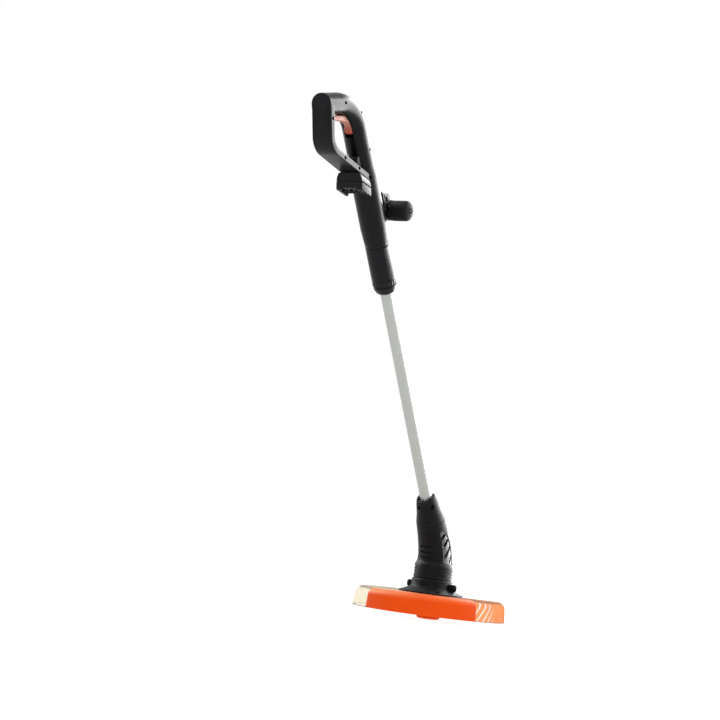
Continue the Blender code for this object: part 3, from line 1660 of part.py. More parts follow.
def make_head_screws():
    """Screws that tie the head's halves together."""
    screws = []
    for number, (height, along) in enumerate(HEAD_SCREWS):
        space = Matrix.Translation((0.0, along, height)) @ Matrix.Rotation(math.pi / 2.0, 4, "Y")
        outline = (
            (0.0, -0.0070),
            (0.0012, -0.0070),
            (0.0012, 0.0040),
            (0.0022, 0.0040),
            (0.0022, 0.0054),
            (0.0015, 0.0060),
            (0.0, 0.0060),
        )
        screws.append(turned(f"head_screw_{number + 1}", outline, 12, space))
    return screws


def make_side_grille(name, side):
    """Louvred panel in one of the head's side windows."""
    panel = window_prism(name, side, -GAP * 1.6)
    keep(panel, head_form("face", WINDOW_DEPTH - GAP - GRILLE_THICKNESS))
    cut(panel, head_form("back", WINDOW_DEPTH - GAP))
    slots = []
    for bar in range(GRILLE_BARS):
        height = 0.1100 + 0.0110 * bar
        back = -0.0050 - 0.0040 * bar
        outline = (
            (back - 0.0080, height - 0.0052),
            (back - 0.0080, height - 0.0012),
            (back + 0.0080, height + 0.0058),
            (back + 0.0080, height + 0.0018),
        )
        slots.append(side_prism("slot", outline, min(0.0, side * 0.06), max(0.0, side * 0.06), WORLD_SPACE))
    return cut(panel, *slots)


def make_motor_can():
    """Motor with a stepped nose, brush cap and the bore for its shaft."""
    low = HEAD_FOOT + FAN_CHAMBER_HEIGHT + 0.007 + GAP
    high = low + MOTOR_LENGTH
    bore = SPINDLE_RADIUS * 0.6 + RUNNING_GAP
    outline = (
        (bore, low - 0.0035),
        (0.0070, low - 0.0035),
        (0.0070, low),
        (MOTOR_RADIUS - 0.0015, low),
        (MOTOR_RADIUS, low + 0.0015),
        (MOTOR_RADIUS, high - 0.0070),
        (MOTOR_RADIUS - 0.0012, high - 0.0064),
        (MOTOR_RADIUS - 0.0012, high - 0.0010),
        (MOTOR_RADIUS - 0.0030, high),
        (0.0070, high),
        (0.0070, high + 0.0030),
        (0.0, high + 0.0030),
        (0.0, low + 0.0200),
        (bore, low + 0.0200),
    )
    return turned("motor_can", outline, BORE_SIDES)


def make_lower_bearing():
    """Ball bearing in the guard ring's web."""
    foot = RING_FOOT + 0.0045
    bore = SPINDLE_RADIUS + RUNNING_GAP
    outline = (
        (bore, foot),
        (BEARING_RADIUS, foot),
        (BEARING_RADIUS, foot + BEARING_HEIGHT),
        (BEARING_RADIUS - 0.0010, foot + BEARING_HEIGHT),
        (BEARING_RADIUS - 0.0012, foot + BEARING_HEIGHT - 0.0005),
        (bore + 0.0012, foot + BEARING_HEIGHT - 0.0005),
        (bore + 0.0010, foot + BEARING_HEIGHT),
        (bore, foot + BEARING_HEIGHT),
    )
    return turned("lower_bearing", outline, 16)


def make_motor_shaft():
    """Stepped spindle from the motor down to the spool head."""
    shelf = HEAD_FOOT + FAN_CHAMBER_HEIGHT + 0.007
    outline = (
        (0.0, SPOOL_FOOT + 0.0100),
        (SPINDLE_RADIUS - 0.0005, SPOOL_FOOT + 0.0100),
        (SPINDLE_RADIUS, SPOOL_FOOT + 0.0105),
        (SPINDLE_RADIUS, shelf - 0.0050),
        (SPINDLE_RADIUS * 0.6, shelf - 0.0045),
        (SPINDLE_RADIUS * 0.6, shelf + 0.0170),
        (0.0, shelf + 0.0170),
    )
    return turned("motor_shaft", outline, 16)


def make_cooling_fan():
    """Fan on the spindle under the motor, with curved blades on a disc."""
    foot = HEAD_FOOT + 0.0030
    bore = SPINDLE_RADIUS + GAP / 2.0
    fan = turned(
        "cooling_fan",
        (
            (bore, foot),
            (FAN_RADIUS, foot),
            (FAN_RADIUS, foot + 0.0014),
            (0.0075, foot + 0.0018),
            (0.0075, foot + FAN_HEIGHT),
            (bore, foot + FAN_HEIGHT),
        ),
        ROUND_SIDES,
    )
    for number in range(FAN_BLADES):
        turn = Matrix.Rotation(2.0 * math.pi * number / FAN_BLADES, 4, "Z")
        outer_side = []
        inner_side = []
        for step in range(5):
            radius = 0.0066 + (FAN_RADIUS - 0.0012 - 0.0066) * step / 4
            bend = math.radians(26.0) * step / 4
            half = 0.0007 / radius
            outer_side.append((radius * math.cos(bend + half), radius * math.sin(bend + half)))
            inner_side.append((radius * math.cos(bend - half), radius * math.sin(bend - half)))
        blade = top_prism("blade", outer_side + inner_side[::-1], foot + 0.0008, foot + FAN_HEIGHT - 0.0008, turn)
        join(fan, blade)
    return fan


# Guard

def make_guard_ring():
    """Ring under the head with its flange, lugs and bearing web."""
    foot = RING_FOOT
    top = HEAD_FOOT - GAP
    bearing_seat = foot + 0.0045 - GAP
    outline = (
        (SPINDLE_RADIUS + 0.0022, foot + 0.0030),
        (RING_RADIUS - 0.0080, foot + 0.0030),
        (RING_RADIUS - 0.0080, foot),
        (FLANGE_RADIUS, foot),
        (FLANGE_RADIUS, foot + FLANGE_EDGE),
        (FLANGE_RADIUS - 0.0085, foot + 0.0052),
        (RING_RADIUS + 0.0060, foot + 0.0088),
        (RING_RADIUS + 0.0012, foot + 0.0112),
        (RING_RADIUS, foot + 0.0140),
        (RING_RADIUS, top - 0.0010),
        (RING_RADIUS - 0.0010, top),
        (RING_RADIUS - 0.0050, top),
        (RING_RADIUS - 0.0050, foot + 0.0120),
        (BEARING_RADIUS + GAP, foot + 0.0120),
        (BEARING_RADIUS + GAP, bearing_seat),
        (SPINDLE_RADIUS + 0.0022, bearing_seat),
    )
    ring = turned("guard_ring", outline, HEAD_SIDES)
    for side in (-1.0, 1.0):
        low = foot + 0.0104
        lug_outline = (
            (RING_RADIUS - 0.0030, low - 0.0050),
            (LUG_REACH - 0.0060, low - 0.0040),
            (LUG_REACH, low),
            (LUG_REACH, low + LUG_HEIGHT - 0.0030),
            (LUG_REACH - 0.0030, low + LUG_HEIGHT),
            (RING_RADIUS - 0.0030, low + LUG_HEIGHT),
        )
        rings = [
            [(side * across, along, height) for across, height in lug_outline]
            for along in (-LUG_HALF_WIDTH, LUG_HALF_WIDTH)
        ]
        lug = lofted("lug", rings)
        if side > 0.0:
            slot = block(
                "slot",
                (RING_RADIUS + 0.0040, -LUG_SLOT / 2.0, low - 0.010),
                (LUG_REACH + 0.005, LUG_SLOT / 2.0, low + 0.020),
            )
            cut(lug, slot)
        round_edges(lug, 0.0008, 1, math.radians(50.0))
        join(ring, lug)
    mark = swept_sector(
        "mark",
        (
            (FLANGE_RADIUS - 0.0105, foot + 0.0046),
            (FLANGE_RADIUS - 0.0055, foot + 0.0028),
            (FLANGE_RADIUS - 0.0025, foot + 0.0080),
            (FLANGE_RADIUS - 0.0085, foot + 0.0100),
        ),
        math.radians(38.0),
        math.radians(48.0),
    )
    return cut(ring, mark, *guard_screw_cutters())


def guard_screw_cutters():
    """Holes for the guard's screws in the ring's flange and the guard's hub."""
    holes = []
    for bearing in GUARD_SCREW_ANGLES:
        place = Matrix.Rotation(bearing, 4, "Z") @ Matrix.Translation((0.0, -GUARD_SCREW_CIRCLE, 0.0))
        holes.append(
            turned(
                "hole",
                (
                    (0.0, GUARD_TOP - 0.010),
                    (SCREW_SHANK_RADIUS + GAP, GUARD_TOP - 0.010),
                    (SCREW_SHANK_RADIUS + GAP, RING_FOOT + 0.0042),
                    (0.0, RING_FOOT + 0.0042),
                ),
                12,
                place,
            )
        )
    return holes


def make_guard_screws():
    """Three screws from below through the guard's hub into the ring."""
    screws = []
    under = RING_FOOT - GAP - GUARD_WALL - GAP
    for number, bearing in enumerate(GUARD_SCREW_ANGLES):
        place = Matrix.Rotation(bearing, 4, "Z") @ Matrix.Translation((0.0, -GUARD_SCREW_CIRCLE, 0.0))
        outline = (
            (0.0, under - 0.0020),
            (SCREW_HEAD_RADIUS * 0.75, under - 0.0020),
            (SCREW_HEAD_RADIUS, under - 0.0012),
            (SCREW_HEAD_RADIUS, under),
            (SCREW_SHANK_RADIUS, under),
            (SCREW_SHANK_RADIUS, RING_FOOT + 0.0030),
            (0.0, RING_FOOT + 0.0038),
        )
        screws.append(turned(f"guard_screw_{number + 1}", outline, 12, place))
    return screws


def guard_outline(inner_radius, outer_drop, inner_drop):
    """Section of the guard's skin between two depths under its outer surface."""
    top = RING_FOOT - GAP
    wall_top = GUARD_RADIUS - GUARD_DRAFT
    outer = [(inner_radius, top - outer_drop)]
    inner = [(inner_radius, top - inner_drop)]
    centre = (wall_top - GUARD_SHOULDER, top - GUARD_SHOULDER)
    outer += arc_points(centre, GUARD_SHOULDER - outer_drop, math.pi / 2.0, 0.0, 5)
    inner += arc_points(centre, GUARD_SHOULDER - inner_drop, math.pi / 2.0, 0.0, 5)
    outer.append((GUARD_RADIUS - outer_drop - 0.0006, GUARD_RIM + 0.0040))
    outer.append((GUARD_RADIUS - outer_drop, GUARD_RIM))
    inner.append((GUARD_RADIUS - inner_drop - 0.0006, GUARD_RIM + 0.0040))
    inner.append((GUARD_RADIUS - inner_drop, GUARD_RIM))
    return outer + inner[::-1]


def make_guard_shield():
    """Opaque middle of the guard with its mounting disc."""
    hub_radius = FLANGE_RADIUS - 0.0016
    top = RING_FOOT - GAP
    shield = swept_sector(
        "guard_shield",
        guard_outline(hub_radius - 0.006, 0.0, GUARD_WALL),
        SHIELD_LEFT,
        SHIELD_RIGHT,
    )
    hub = turned(
        "hub",
        (
            (RING_RADIUS - 0.0045, top - GUARD_WALL),
            (hub_radius, top - GUARD_WALL),
            (hub_radius, top),
            (RING_RADIUS - 0.0045, top),
        ),
        HEAD_SIDES,
    )
    join(shield, hub)
    for bearing in (math.radians(-8.0), math.radians(14.0), math.radians(36.0), math.radians(56.0)):
        rib = swept_sector(
            "rib",
            (
                (0.0600, top - GUARD_WALL + 0.0004),
                (GUARD_RADIUS - GUARD_SHOULDER, top - GUARD_WALL + 0.0004),
                (GUARD_RADIUS - GUARD_SHOULDER - 0.004, top - GUARD_WALL - 0.0024),
                (0.0640, top - GUARD_WALL - 0.0024),
            ),
            bearing - math.radians(0.5),
            bearing + math.radians(0.5),
        )
        join(shield, rib)
    return cut(shield, *guard_screw_cutters())


def guard_wing(name, edge, end):
    """A clear side of the guard that laps under the shield's edge."""
    direction = math.copysign(1.0, end - edge)
    hub = FLANGE_RADIUS - 0.0016 + GAP
    tab_hub = FLANGE_RADIUS + 0.0040
    thick = GUARD_WALL * 2.0 + GAP
    gap_angle = GAP / GUARD_RADIUS * 1.6
    lap = GUARD_LAP / GUARD_RADIUS
    joggle = math.radians(1.0)
    steep = math.radians(0.15)
    main = guard_outline(hub, 0.0, GUARD_WALL)
    joint = guard_outline(hub, 0.0, thick)
    tab = guard_outline(tab_hub, GUARD_WALL + GAP, thick)
    stations = [
        (edge - direction * lap, tab),
        (edge + direction * (gap_angle - steep * 0.2), tab),
        (edge + direction * gap_angle, joint),
        (edge + direction * (gap_angle + joggle), joint),
        (edge + direction * (gap_angle + joggle + steep), main),
    ]
    start = gap_angle + joggle + steep
    span = abs(end - edge) - start
    count = math.ceil(span / GUARD_STEP)
    for index in range(1, count + 1):
        stations.append((edge + direction * (start + span * index / count), main))
    rings = []
    for bearing, outline in stations:
        across = math.sin(bearing)
        along = -math.cos(bearing)
        rings.append([(radius * across, radius * along, height) for radius, height in outline])
    return lofted(name, rings)


def make_line_cutter():
    """Steel blade on the inside of the right wing's skirt."""
    half = CUTTER_LENGTH / 2.0
    wall = GUARD_RADIUS - GUARD_DRAFT - GUARD_WALL - GAP
    low = 0.0140
    place = Matrix.Rotation(CUTTER_ANGLE, 4, "Z")
    base = (
        (-half, -wall + 0.0005),
        (half, -wall + 0.0005),
        (half, -wall + 0.0005 + CUTTER_THICKNESS),
        (-half, -wall + 0.0005 + CUTTER_THICKNESS),
    )
    blade = top_prism("line_cutter", base, low, low + CUTTER_HEIGHT, place)
    lip = block(
        "lip",
        (-half, -wall + 0.0005, low),
        (half, -wall + CUTTER_REACH, low + CUTTER_THICKNESS),
        place,
    )
    teeth = []
    for number in range(4):
        centre = (number - 1.5) * 0.0048
        outline = (
            (centre - 0.0018, -wall + CUTTER_REACH + 0.0005),
            (centre, -wall + CUTTER_REACH - 0.0026),
            (centre + 0.0018, -wall + CUTTER_REACH + 0.0005),
        )
        teeth.append(top_prism("tooth", outline, low - 0.001, low + 0.004, place))
    join(blade, lip)
    cut(blade, *teeth)
    return cut(blade, cutter_screw_solid(GAP))


def cutter_screw_solid(clear):
    """The small screw of the line cutter, or its hole."""
    wall = GUARD_RADIUS - GUARD_DRAFT - GUARD_WALL - GAP
    place = (
        Matrix.Rotation(CUTTER_ANGLE, 4, "Z")
        @ Matrix.Translation((0.0, -wall, 0.0190))
        @ Matrix.Rotation(math.pi / 2.0, 4, "X")
    )
    face = -0.0005 - CUTTER_THICKNESS - GAP
    outline = (
        (0.0, face - 0.0012 - clear),
        (0.0022 + clear, face - 0.0012 - clear),
        (0.0022 + clear, face),
        (0.0012 + clear, face),
        (0.0012 + clear, 0.0015 + clear),
        (0.0, 0.0015 + clear),
    )
    return turned("cutter_screw", outline, 12, place)


def make_guard_wings():
    """The left and right clear wings, the right one drilled for the cutter."""
    left = guard_wing("guard_wing_left", SHIELD_LEFT, -GUARD_END)
    right = guard_wing("guard_wing_right", SHIELD_RIGHT, GUARD_END)
    cut(right, cutter_screw_solid(GAP))
    return left, right


# Spool head

def make_spool_housing():
    """Cup over the spool with its hub, ribs and line holes."""
    top = SPOOL_CASE_TOP
    inner = SPOOL_CASE_RADIUS - SPOOL_CASE_WALL
    bore = SPINDLE_RADIUS + GAP / 2.0
    foot = SPOOL_CASE_FOOT + COVER_THICKNESS + GAP
    outline = (
        (bore, top - SPOOL_CASE_WALL),
        (inner, top - SPOOL_CASE_WALL),
        (inner, foot),
        (SPOOL_CASE_RADIUS, foot),
        (SPOOL_CASE_RADIUS, top - 0.0060),
        (SPOOL_CASE_RADIUS - 0.0020, top - 0.0020),
        (SPOOL_CASE_RADIUS - 0.0060, top),
        (SPOOL_HUB_RADIUS + 0.0010, top),
        (SPOOL_HUB_RADIUS, RING_FOOT + 0.0010),
        (bore, RING_FOOT + 0.0010),
    )
    case = turned("spool_housing", outline, HEAD_SIDES)
    bores = []
    for side in (-1.0, 1.0):
        bores.append(
            rod(
                "bore",
                (side * (inner - 0.004), 0.0, EYELET_HEIGHT),
                (side * 0.060, 0.0, EYELET_HEIGHT),
                EYELET_RADIUS - 0.0010 + GAP,
                SMALL_SIDES,
            )
        )
    return cut(case, *bores)


def make_spool_cover():
    """Snap-on ring under the spool with the opening for the bump cap."""
    foot = SPOOL_CASE_FOOT
    hole = BUMP_CAP_RADIUS + 0.0006
    inner = SPOOL_CASE_RADIUS - SPOOL_CASE_WALL - GAP
    outline = (
        (hole, foot),
        (SPOOL_CASE_RADIUS - 0.0010, foot),
        (SPOOL_CASE_RADIUS, foot + 0.0010),
        (SPOOL_CASE_RADIUS, foot + COVER_THICKNESS),
        (inner, foot + COVER_THICKNESS),
        (inner, foot + COVER_THICKNESS + 0.0016),
        (inner - 0.0016, foot + COVER_THICKNESS + 0.0016),
        (inner - 0.0016, foot + COVER_THICKNESS),
        (hole, foot + COVER_THICKNESS),
    )
    return turned("spool_cover", outline, HEAD_SIDES)


def make_line_eyelets():
    """Two metal eyelets that the cutting line leaves through."""
    inner = SPOOL_CASE_RADIUS - SPOOL_CASE_WALL
    eyelets = []
    for side in (-1.0, 1.0):
        turn = Matrix.Rotation(side * math.pi / 2.0, 4, "Y")
        space = Matrix.Translation((0.0, 0.0, EYELET_HEIGHT)) @ turn
        outline = (
            (EYELET_BORE, inner - 0.0004),
            (EYELET_RADIUS - 0.0010, inner - 0.0004),
            (EYELET_RADIUS - 0.0010, SPOOL_CASE_RADIUS + GAP),
            (EYELET_RADIUS, SPOOL_CASE_RADIUS + GAP),
            (EYELET_RADIUS, SPOOL_CASE_RADIUS + 0.0012),
            (EYELET_RADIUS - 0.0008, SPOOL_CASE_RADIUS + 0.0020),
            (EYELET_BORE + 0.0006, SPOOL_CASE_RADIUS + 0.0020),
            (EYELET_BORE, SPOOL_CASE_RADIUS + 0.0014),
        )
        name = "line_eyelet_left" if side < 0.0 else "line_eyelet_right"
        eyelets.append(turned(name, outline, 12, space))
    return eyelets


def make_spool():
    """Spool with two flanges, a divider and the pocket for the push spring."""
    foot = SPOOL_FOOT
    top = foot + SPOOL_HEIGHT
    pocket = PUSH_SPRING_RADIUS + SPRING_WIRE + 0.0006
    floor = foot + 0.0040
    outline = (
        (0.0, foot),
        (SPOOL_RADIUS, foot),
        (SPOOL_RADIUS, foot + SPOOL_FLANGE),
        (SPOOL_CORE_RADIUS, foot + SPOOL_FLANGE),
        (SPOOL_CORE_RADIUS, top - SPOOL_FLANGE),
        (SPOOL_RADIUS, top - SPOOL_FLANGE),
        (SPOOL_RADIUS, top),
        (pocket, top),
        (pocket, floor),
        (0.0, floor),
    )
    return turned("spool", outline, HEAD_SIDES)


def make_spool_line():
    """Wound line, drawn as one ring whose outside shows its layers."""
    low = SPOOL_FOOT + SPOOL_FLANGE + GAP
    high = SPOOL_FOOT + SPOOL_HEIGHT - SPOOL_FLANGE - GAP
    inner = SPOOL_CORE_RADIUS + GAP
    outer = SPOOL_RADIUS - LINE_FREE_DEPTH
    turns = 4
    pitch = (high - low) / turns
    outline = [(inner, low)]
    for number in range(turns):
        start = low + pitch * number
        outline.append((outer - 0.0008, start))
        outline.append((outer, start + pitch * 0.25))
        outline.append((outer, start + pitch * 0.75))
    outline.append((outer - 0.0008, high))
    outline.append((inner, high))
    return turned("spool_line", outline, ROUND_SIDES)


def make_bump_cap():
    """Orange cap that is knocked on the ground to feed line."""
    top = SPOOL_FOOT - GAP
    outline = (
        (0.0, 0.0),
        (BUMP_CAP_RADIUS - 0.0060, 0.0),
        (BUMP_CAP_RADIUS - 0.0022, 0.0012),
        (BUMP_CAP_RADIUS - 0.0004, 0.0040),
        (BUMP_CAP_RADIUS, 0.0075),
        (BUMP_CAP_RADIUS, top),
        (BUMP_CAP_RADIUS - 0.0026, top),
        (BUMP_CAP_RADIUS - 0.0026, 0.0052),
        (0.0110, 0.0040),
        (0.0110, top),
        (0.0, top),
    )
    return turned("bump_cap", outline, HEAD_SIDES)


def make_spool_spring():
    """Push spring between the spool housing and the spool's floor."""
    low = SPOOL_FOOT + 0.0040 + SPRING_WIRE + GAP
    high = SPOOL_CASE_TOP - SPOOL_CASE_WALL - SPRING_WIRE - GAP
    pitch = (high - low) / PUSH_SPRING_TURNS
    space = Matrix.Translation((0.0, 0.0, low))
    return coil("spool_spring", PUSH_SPRING_RADIUS, SPRING_WIRE, pitch, PUSH_SPRING_TURNS, space, 12, 5)


def build():
    """Makes every piece and hangs it on the marker of its body."""
    clear_scene()
    black = make_material("black_plastic", (0.020, 0.022, 0.026), 0.42)
    grey = make_material("dark_grey_plastic", (0.034, 0.035, 0.037), 0.50)
    grip = make_material("soft_grip", (0.012, 0.012, 0.014), 0.80)
    orange = make_material("orange_plastic", (0.850, 0.110, 0.020), 0.36)
    trigger_orange = make_material("trigger_plastic", (0.720, 0.160, 0.080), 0.45)
    clear = make_material("clear_plastic", (0.930, 0.480, 0.240), 0.12, 0.0, 0.75)
    silver = make_material("satin_tube", (0.560, 0.570, 0.560), 0.34, 0.85)
    steel = make_material("steel", (0.480, 0.490, 0.500), 0.30, 1.0)
    brass = make_material("brass", (0.780, 0.570, 0.250), 0.30, 1.0)
    line = make_material("line_plastic", (0.620, 0.080, 0.020), 0.40)

    trigger_front, trigger_height = trigger_pivot()
    button_front, button_height = on_handle(-0.003, LOCK_BUTTON_UP)
    aux_front, aux_height = aux_pivot()
    bodies = {
        "handle": SHAFT_SPACE @ Matrix.Translation((0.0, 0.0, HOUSING_FOOT)),
        "trigger_axis": SHAFT_SPACE @ Matrix.Translation((0.0, trigger_front, trigger_height)),
        "lock_axis": SHAFT_SPACE @ Matrix.Translation((0.0, button_front, button_height)),
        "collar_axis": SHAFT_SPACE @ Matrix.Translation((0.0, 0.0, COLLAR_FOOT)),
        "tube_axis": SHAFT_SPACE @ Matrix.Translation((0.0, 0.0, NECK_TOP)),
        "head_axis": SHAFT_SPACE @ Matrix.Translation((0.0, 0.0, NECK_SEAM)),
        "rotor_axis": Matrix.Translation((0.0, 0.0, RING_FOOT)),
        "spool_axis": Matrix.Translation((0.0, 0.0, SPOOL_FOOT)),
        "aux_axis": SHAFT_SPACE @ Matrix.Translation((0.0, aux_front, aux_height)),
    }
    empties = {name: make_empty(name, matrix) for name, matrix in bodies.items()}

    dress(list(make_housing()) + [make_barrel_sleeve(), make_aux_bracket()], black, empties["handle"])
    dress([make_battery_foot(), make_switch()], grey, empties["handle"])
    dress(make_housing_screws(), steel, empties["handle"])
    dress([make_trigger_pin(), make_trigger_spring(), make_aux_bolt()], steel, empties["handle"])
    dress([make_collet(), make_terminal_block()], grip, empties["handle"])
    dress([make_battery_contacts()], brass, empties["handle"])
    dress([make_trigger()], trigger_orange, empties["trigger_axis"])
    dress([make_lock_button()], trigger_orange, empties["lock_axis"])
    dress([make_lock_collar()], grey, empties["collar_axis"])
    dress([make_shaft_tube()], silver, empties["tube_axis"])
    dress([make_tube_stop(), make_neck()], grey, empties["tube_axis"])
    dress(make_neck_screws(), steel, empties["tube_axis"])
    dress(list(make_motor_housing()) + [make_guard_ring()], black, empties["head_axis"])
    grilles = [make_side_grille("side_grille_left", -1.0), make_side_grille("side_grille_right", 1.0)]
    dress(grilles, grey, empties["head_axis"])
    dress(make_head_screws() + make_guard_screws(), steel, empties["head_axis"])
    dress([make_motor_can(), make_lower_bearing(), make_line_cutter()], steel, empties["head_axis"])
    dress([cutter_screw_solid(0.0)], steel, empties["head_axis"])
    dress([make_guard_shield()], orange, empties["head_axis"])
    dress(list(make_guard_wings()), clear, empties["head_axis"])
    dress([make_motor_shaft(), make_spool_spring()], steel, empties["rotor_axis"])
    dress([make_cooling_fan(), make_spool_housing(), make_spool_cover()], black, empties["rotor_axis"])
    dress(make_line_eyelets(), steel, empties["rotor_axis"])
    dress([make_spool()], grey, empties["spool_axis"])
    dress([make_spool_line()], line, empties["spool_axis"])
    dress([make_bump_cap()], orange, empties["spool_axis"])
    dress([make_aux_stem()], black, empties["aux_axis"])
    dress([make_aux_grip("aux_grip_left", -1.0), make_aux_grip("aux_grip_right", 1.0)], grip, empties["aux_axis"])
    dress([make_grip_bolt()], steel, empties["aux_axis"])


build()
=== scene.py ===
"""Looks of the cordless string trimmer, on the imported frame. Metres, +Z up."""
import math

import bmesh
import bpy
from mathutils import Matrix, Vector


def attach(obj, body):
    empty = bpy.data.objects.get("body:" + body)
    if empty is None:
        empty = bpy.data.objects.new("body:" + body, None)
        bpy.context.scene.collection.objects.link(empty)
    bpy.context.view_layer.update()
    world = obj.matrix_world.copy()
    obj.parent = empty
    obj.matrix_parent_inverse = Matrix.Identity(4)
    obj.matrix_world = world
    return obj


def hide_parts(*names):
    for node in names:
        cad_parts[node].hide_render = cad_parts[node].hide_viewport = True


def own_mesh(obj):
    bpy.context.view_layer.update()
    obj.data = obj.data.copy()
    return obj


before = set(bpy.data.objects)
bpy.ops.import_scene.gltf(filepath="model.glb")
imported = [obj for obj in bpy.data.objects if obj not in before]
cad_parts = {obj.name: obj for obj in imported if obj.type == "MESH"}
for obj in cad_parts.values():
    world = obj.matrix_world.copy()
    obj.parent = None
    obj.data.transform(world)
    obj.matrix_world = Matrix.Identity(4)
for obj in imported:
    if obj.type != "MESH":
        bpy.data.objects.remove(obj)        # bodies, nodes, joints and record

# General clearances and fineness
GAP = 0.0003
RUNNING_GAP = 0.0001
SPLIT_GAP = 0.0003
ROUND_SIDES = 96
SMALL_SIDES = 32
BORE_SIDES = 64
HEAD_SIDES = 120
NEARLY_STRAIGHT = math.radians(86.0)
CORNER_SHARE = 0.42

# Line of the shaft
SHAFT_TILT = math.radians(33.0)
CORNER_HEIGHT = 0.128

# Telescopic tube
TUBE_RADIUS = 0.0110
TUBE_WALL = 0.0013
TUBE_SHOWN = 0.401
TUBE_TRAVEL = 0.120
STOP_RING_LENGTH = 0.009
STOP_RING_WALL = 0.0025

# Neck that holds the tube's foot
NECK_SEAM = 0.058
NECK_LENGTH = 0.051
NECK_TOP_RADIUS = 0.0192
NECK_SEAM_RADIUS = 0.0264
NECK_WAIST_RADIUS = 0.0212
NECK_MOUTH_DEPTH = 0.004
NECK_MOUTH_RADIUS = 0.0118
NECK_NOTCH_RADIUS = 0.0125
NECK_NOTCH_DEPTH = 0.0034
SPIGOT_RADIUS = 0.0150
SPIGOT_HEIGHT = 0.020
NECK_SCREW_ANGLES = (math.radians(-25.0), math.radians(55.0))
NECK_SCREW_DROP = 0.015
NECK_WELL_RADIUS = 0.0036
NECK_WELL_DEPTH = 0.0052

# Twist collar, collet and fixed sleeve under the handle
COLLAR_LENGTH = 0.026
COLLAR_RADIUS = 0.0210
COLLAR_NOSE_RADIUS = 0.0122
COLLAR_NOSE_LENGTH = 0.0150
FLUTES = 18
FLUTE_DEPTH = 0.0008
FLUTE_FADE = 0.0012
COLLET_LENGTH = 0.034
COLLET_WALL = 0.0030
SLEEVE_LENGTH = 0.062
SLEEVE_SPIGOT = 0.016
PAD_RAISED = 0.00018
PAD_EDGE = 0.0009

# Handle barrel and bend, measured up the shaft from the housing's foot
BARREL_RADIUS = 0.0210
BULGE_RADIUS = 0.0230
BULGE_START = 0.018
BULGE_END = 0.122
BARREL_TOP_RADIUS = 0.0208
BEND_START = 0.210
BEND_RADIUS = 0.060
BEND_ANGLE = math.radians(72.0)
BEND_ARM = 0.0398
BEND_HALF_HEIGHT = 0.0180
BARREL_STEP = 0.004
BEND_STEPS = 36

# Strap that closes the loop behind the hand
STRAP_HALF_WIDTH = 0.0192
STRAP_THICKNESS = 0.0100
STRAP_DROP = 0.0742
STRAP_SLOPE = math.radians(135.5)
STRAP_RETURN = 0.135
STRAP_CORNER_RADIUS = 0.036
STRAP_CHAMFER = 0.0010

# Battery foot, in its own slanted space: forward and up from its rear lower edge
FOOT_HEIGHT_UP_SHAFT = 0.119
FOOT_OFFSET = 0.050
FOOT_PITCH = math.radians(9.4)
FOOT_LENGTH = 0.031
FOOT_HEIGHT = 0.0270
FOOT_LEAN = 0.0117
FOOT_HALF_WIDTH = 0.0260
FOOT_SEAM_HEIGHT = 0.0130
SOCKET_HALF_WIDTH = 0.0200
SOCKET_DEPTH = 0.0110
SOCKET_END_WALL = 0.0045
RAIL_LIP = 0.0030
RAIL_LIP_HEIGHT = 0.0028
RAIL_LIP_FOOT = 0.0016
TERMINAL_HALF_WIDTH = 0.0135
TERMINAL_LENGTH = 0.0145
TERMINAL_SETBACK = 0.0015
TERMINAL_LIFT = 0.0012
TERMINAL_BAR = 0.0013
TERMINAL_SLOTS = 5
TERMINAL_CELL = 0.0034
TERMINAL_ROOF = 0.0016

# Trigger, lock-off button and switch
TRIGGER_PIVOT_UP = 0.266
TRIGGER_PIVOT_BACK = 0.072
TRIGGER_HALF_WIDTH = 0.0070
TRIGGER_EYE_RADIUS = 0.0052
TRIGGER_EYE_HALF_WIDTH = 0.0042
TRIGGER_PIN_RADIUS = 0.0020
SPRING_WIRE = 0.0008
LOCK_BUTTON_UP = 0.196
LOCK_BUTTON_RADIUS = 0.0050
LOCK_BUTTON_PROUD = 0.0034
LOCK_BUTTON_TRAVEL = 0.0028
LOCK_BUTTON_LENGTH = 0.0090
SWITCH_ALONG_ARM = 0.0104
SWITCH_DROP = 0.0020
SWITCH_LENGTH = 0.0140
SWITCH_HEIGHT = 0.0084
SWITCH_HALF_WIDTH = 0.0050
PLUNGER_RADIUS = 0.0016
PLUNGER_REACH = 0.0024

# Housing screws: up the shaft from the housing's foot, and back from its line
HOUSING_SCREWS = (
    (0.2668, 0.0375), (0.2362, -0.0025), (0.2555, 0.0818), (0.1709, -0.0041), (0.1830, 0.0692),
    (0.1520, 0.0352), (0.1268, 0.0110),
)
SCREW_SHANK_RADIUS = 0.0015
SCREW_HEAD_RADIUS = 0.0028
SCREW_HEAD_HEIGHT = 0.0024
SCREW_SEAT = 0.0100
SCREW_REACH = 0.0100

# Auxiliary T-handle
AUX_PIVOT_UP = 0.070
AUX_PIVOT_FRONT = 0.0350
AUX_HUB_RADIUS = 0.0082
AUX_HUB_HALF_WIDTH = 0.0090
AUX_TEETH = 14
AUX_TOOTH_DEPTH = 0.0010
AUX_EAR_THICKNESS = 0.0050
AUX_EAR_RADIUS = 0.0088
AUX_BOLT_RADIUS = 0.0030
AUX_ARM_LENGTH = 0.0322
AUX_ARM_ANGLE = math.radians(29.7)
AUX_GRIP_RADIUS = 0.0175
AUX_GRIP_HALF_LENGTH = 0.0470
AUX_GRIP_DOME = 0.0095
AUX_GRIP_FULLNESS = 0.95
AUX_BOSS_HALF_WIDTH = 0.0125
AUX_CORE_RADIUS = 0.0090
AUX_SADDLE_THICKNESS = 0.0030
AUX_SADDLE_LENGTH = 0.0340
AUX_SADDLE_SPREAD = math.radians(52.0)
AUX_EAR_STEPS = 72
AUX_EAR_NOTCH = 0.0009
FLARE_POWER = 2.6

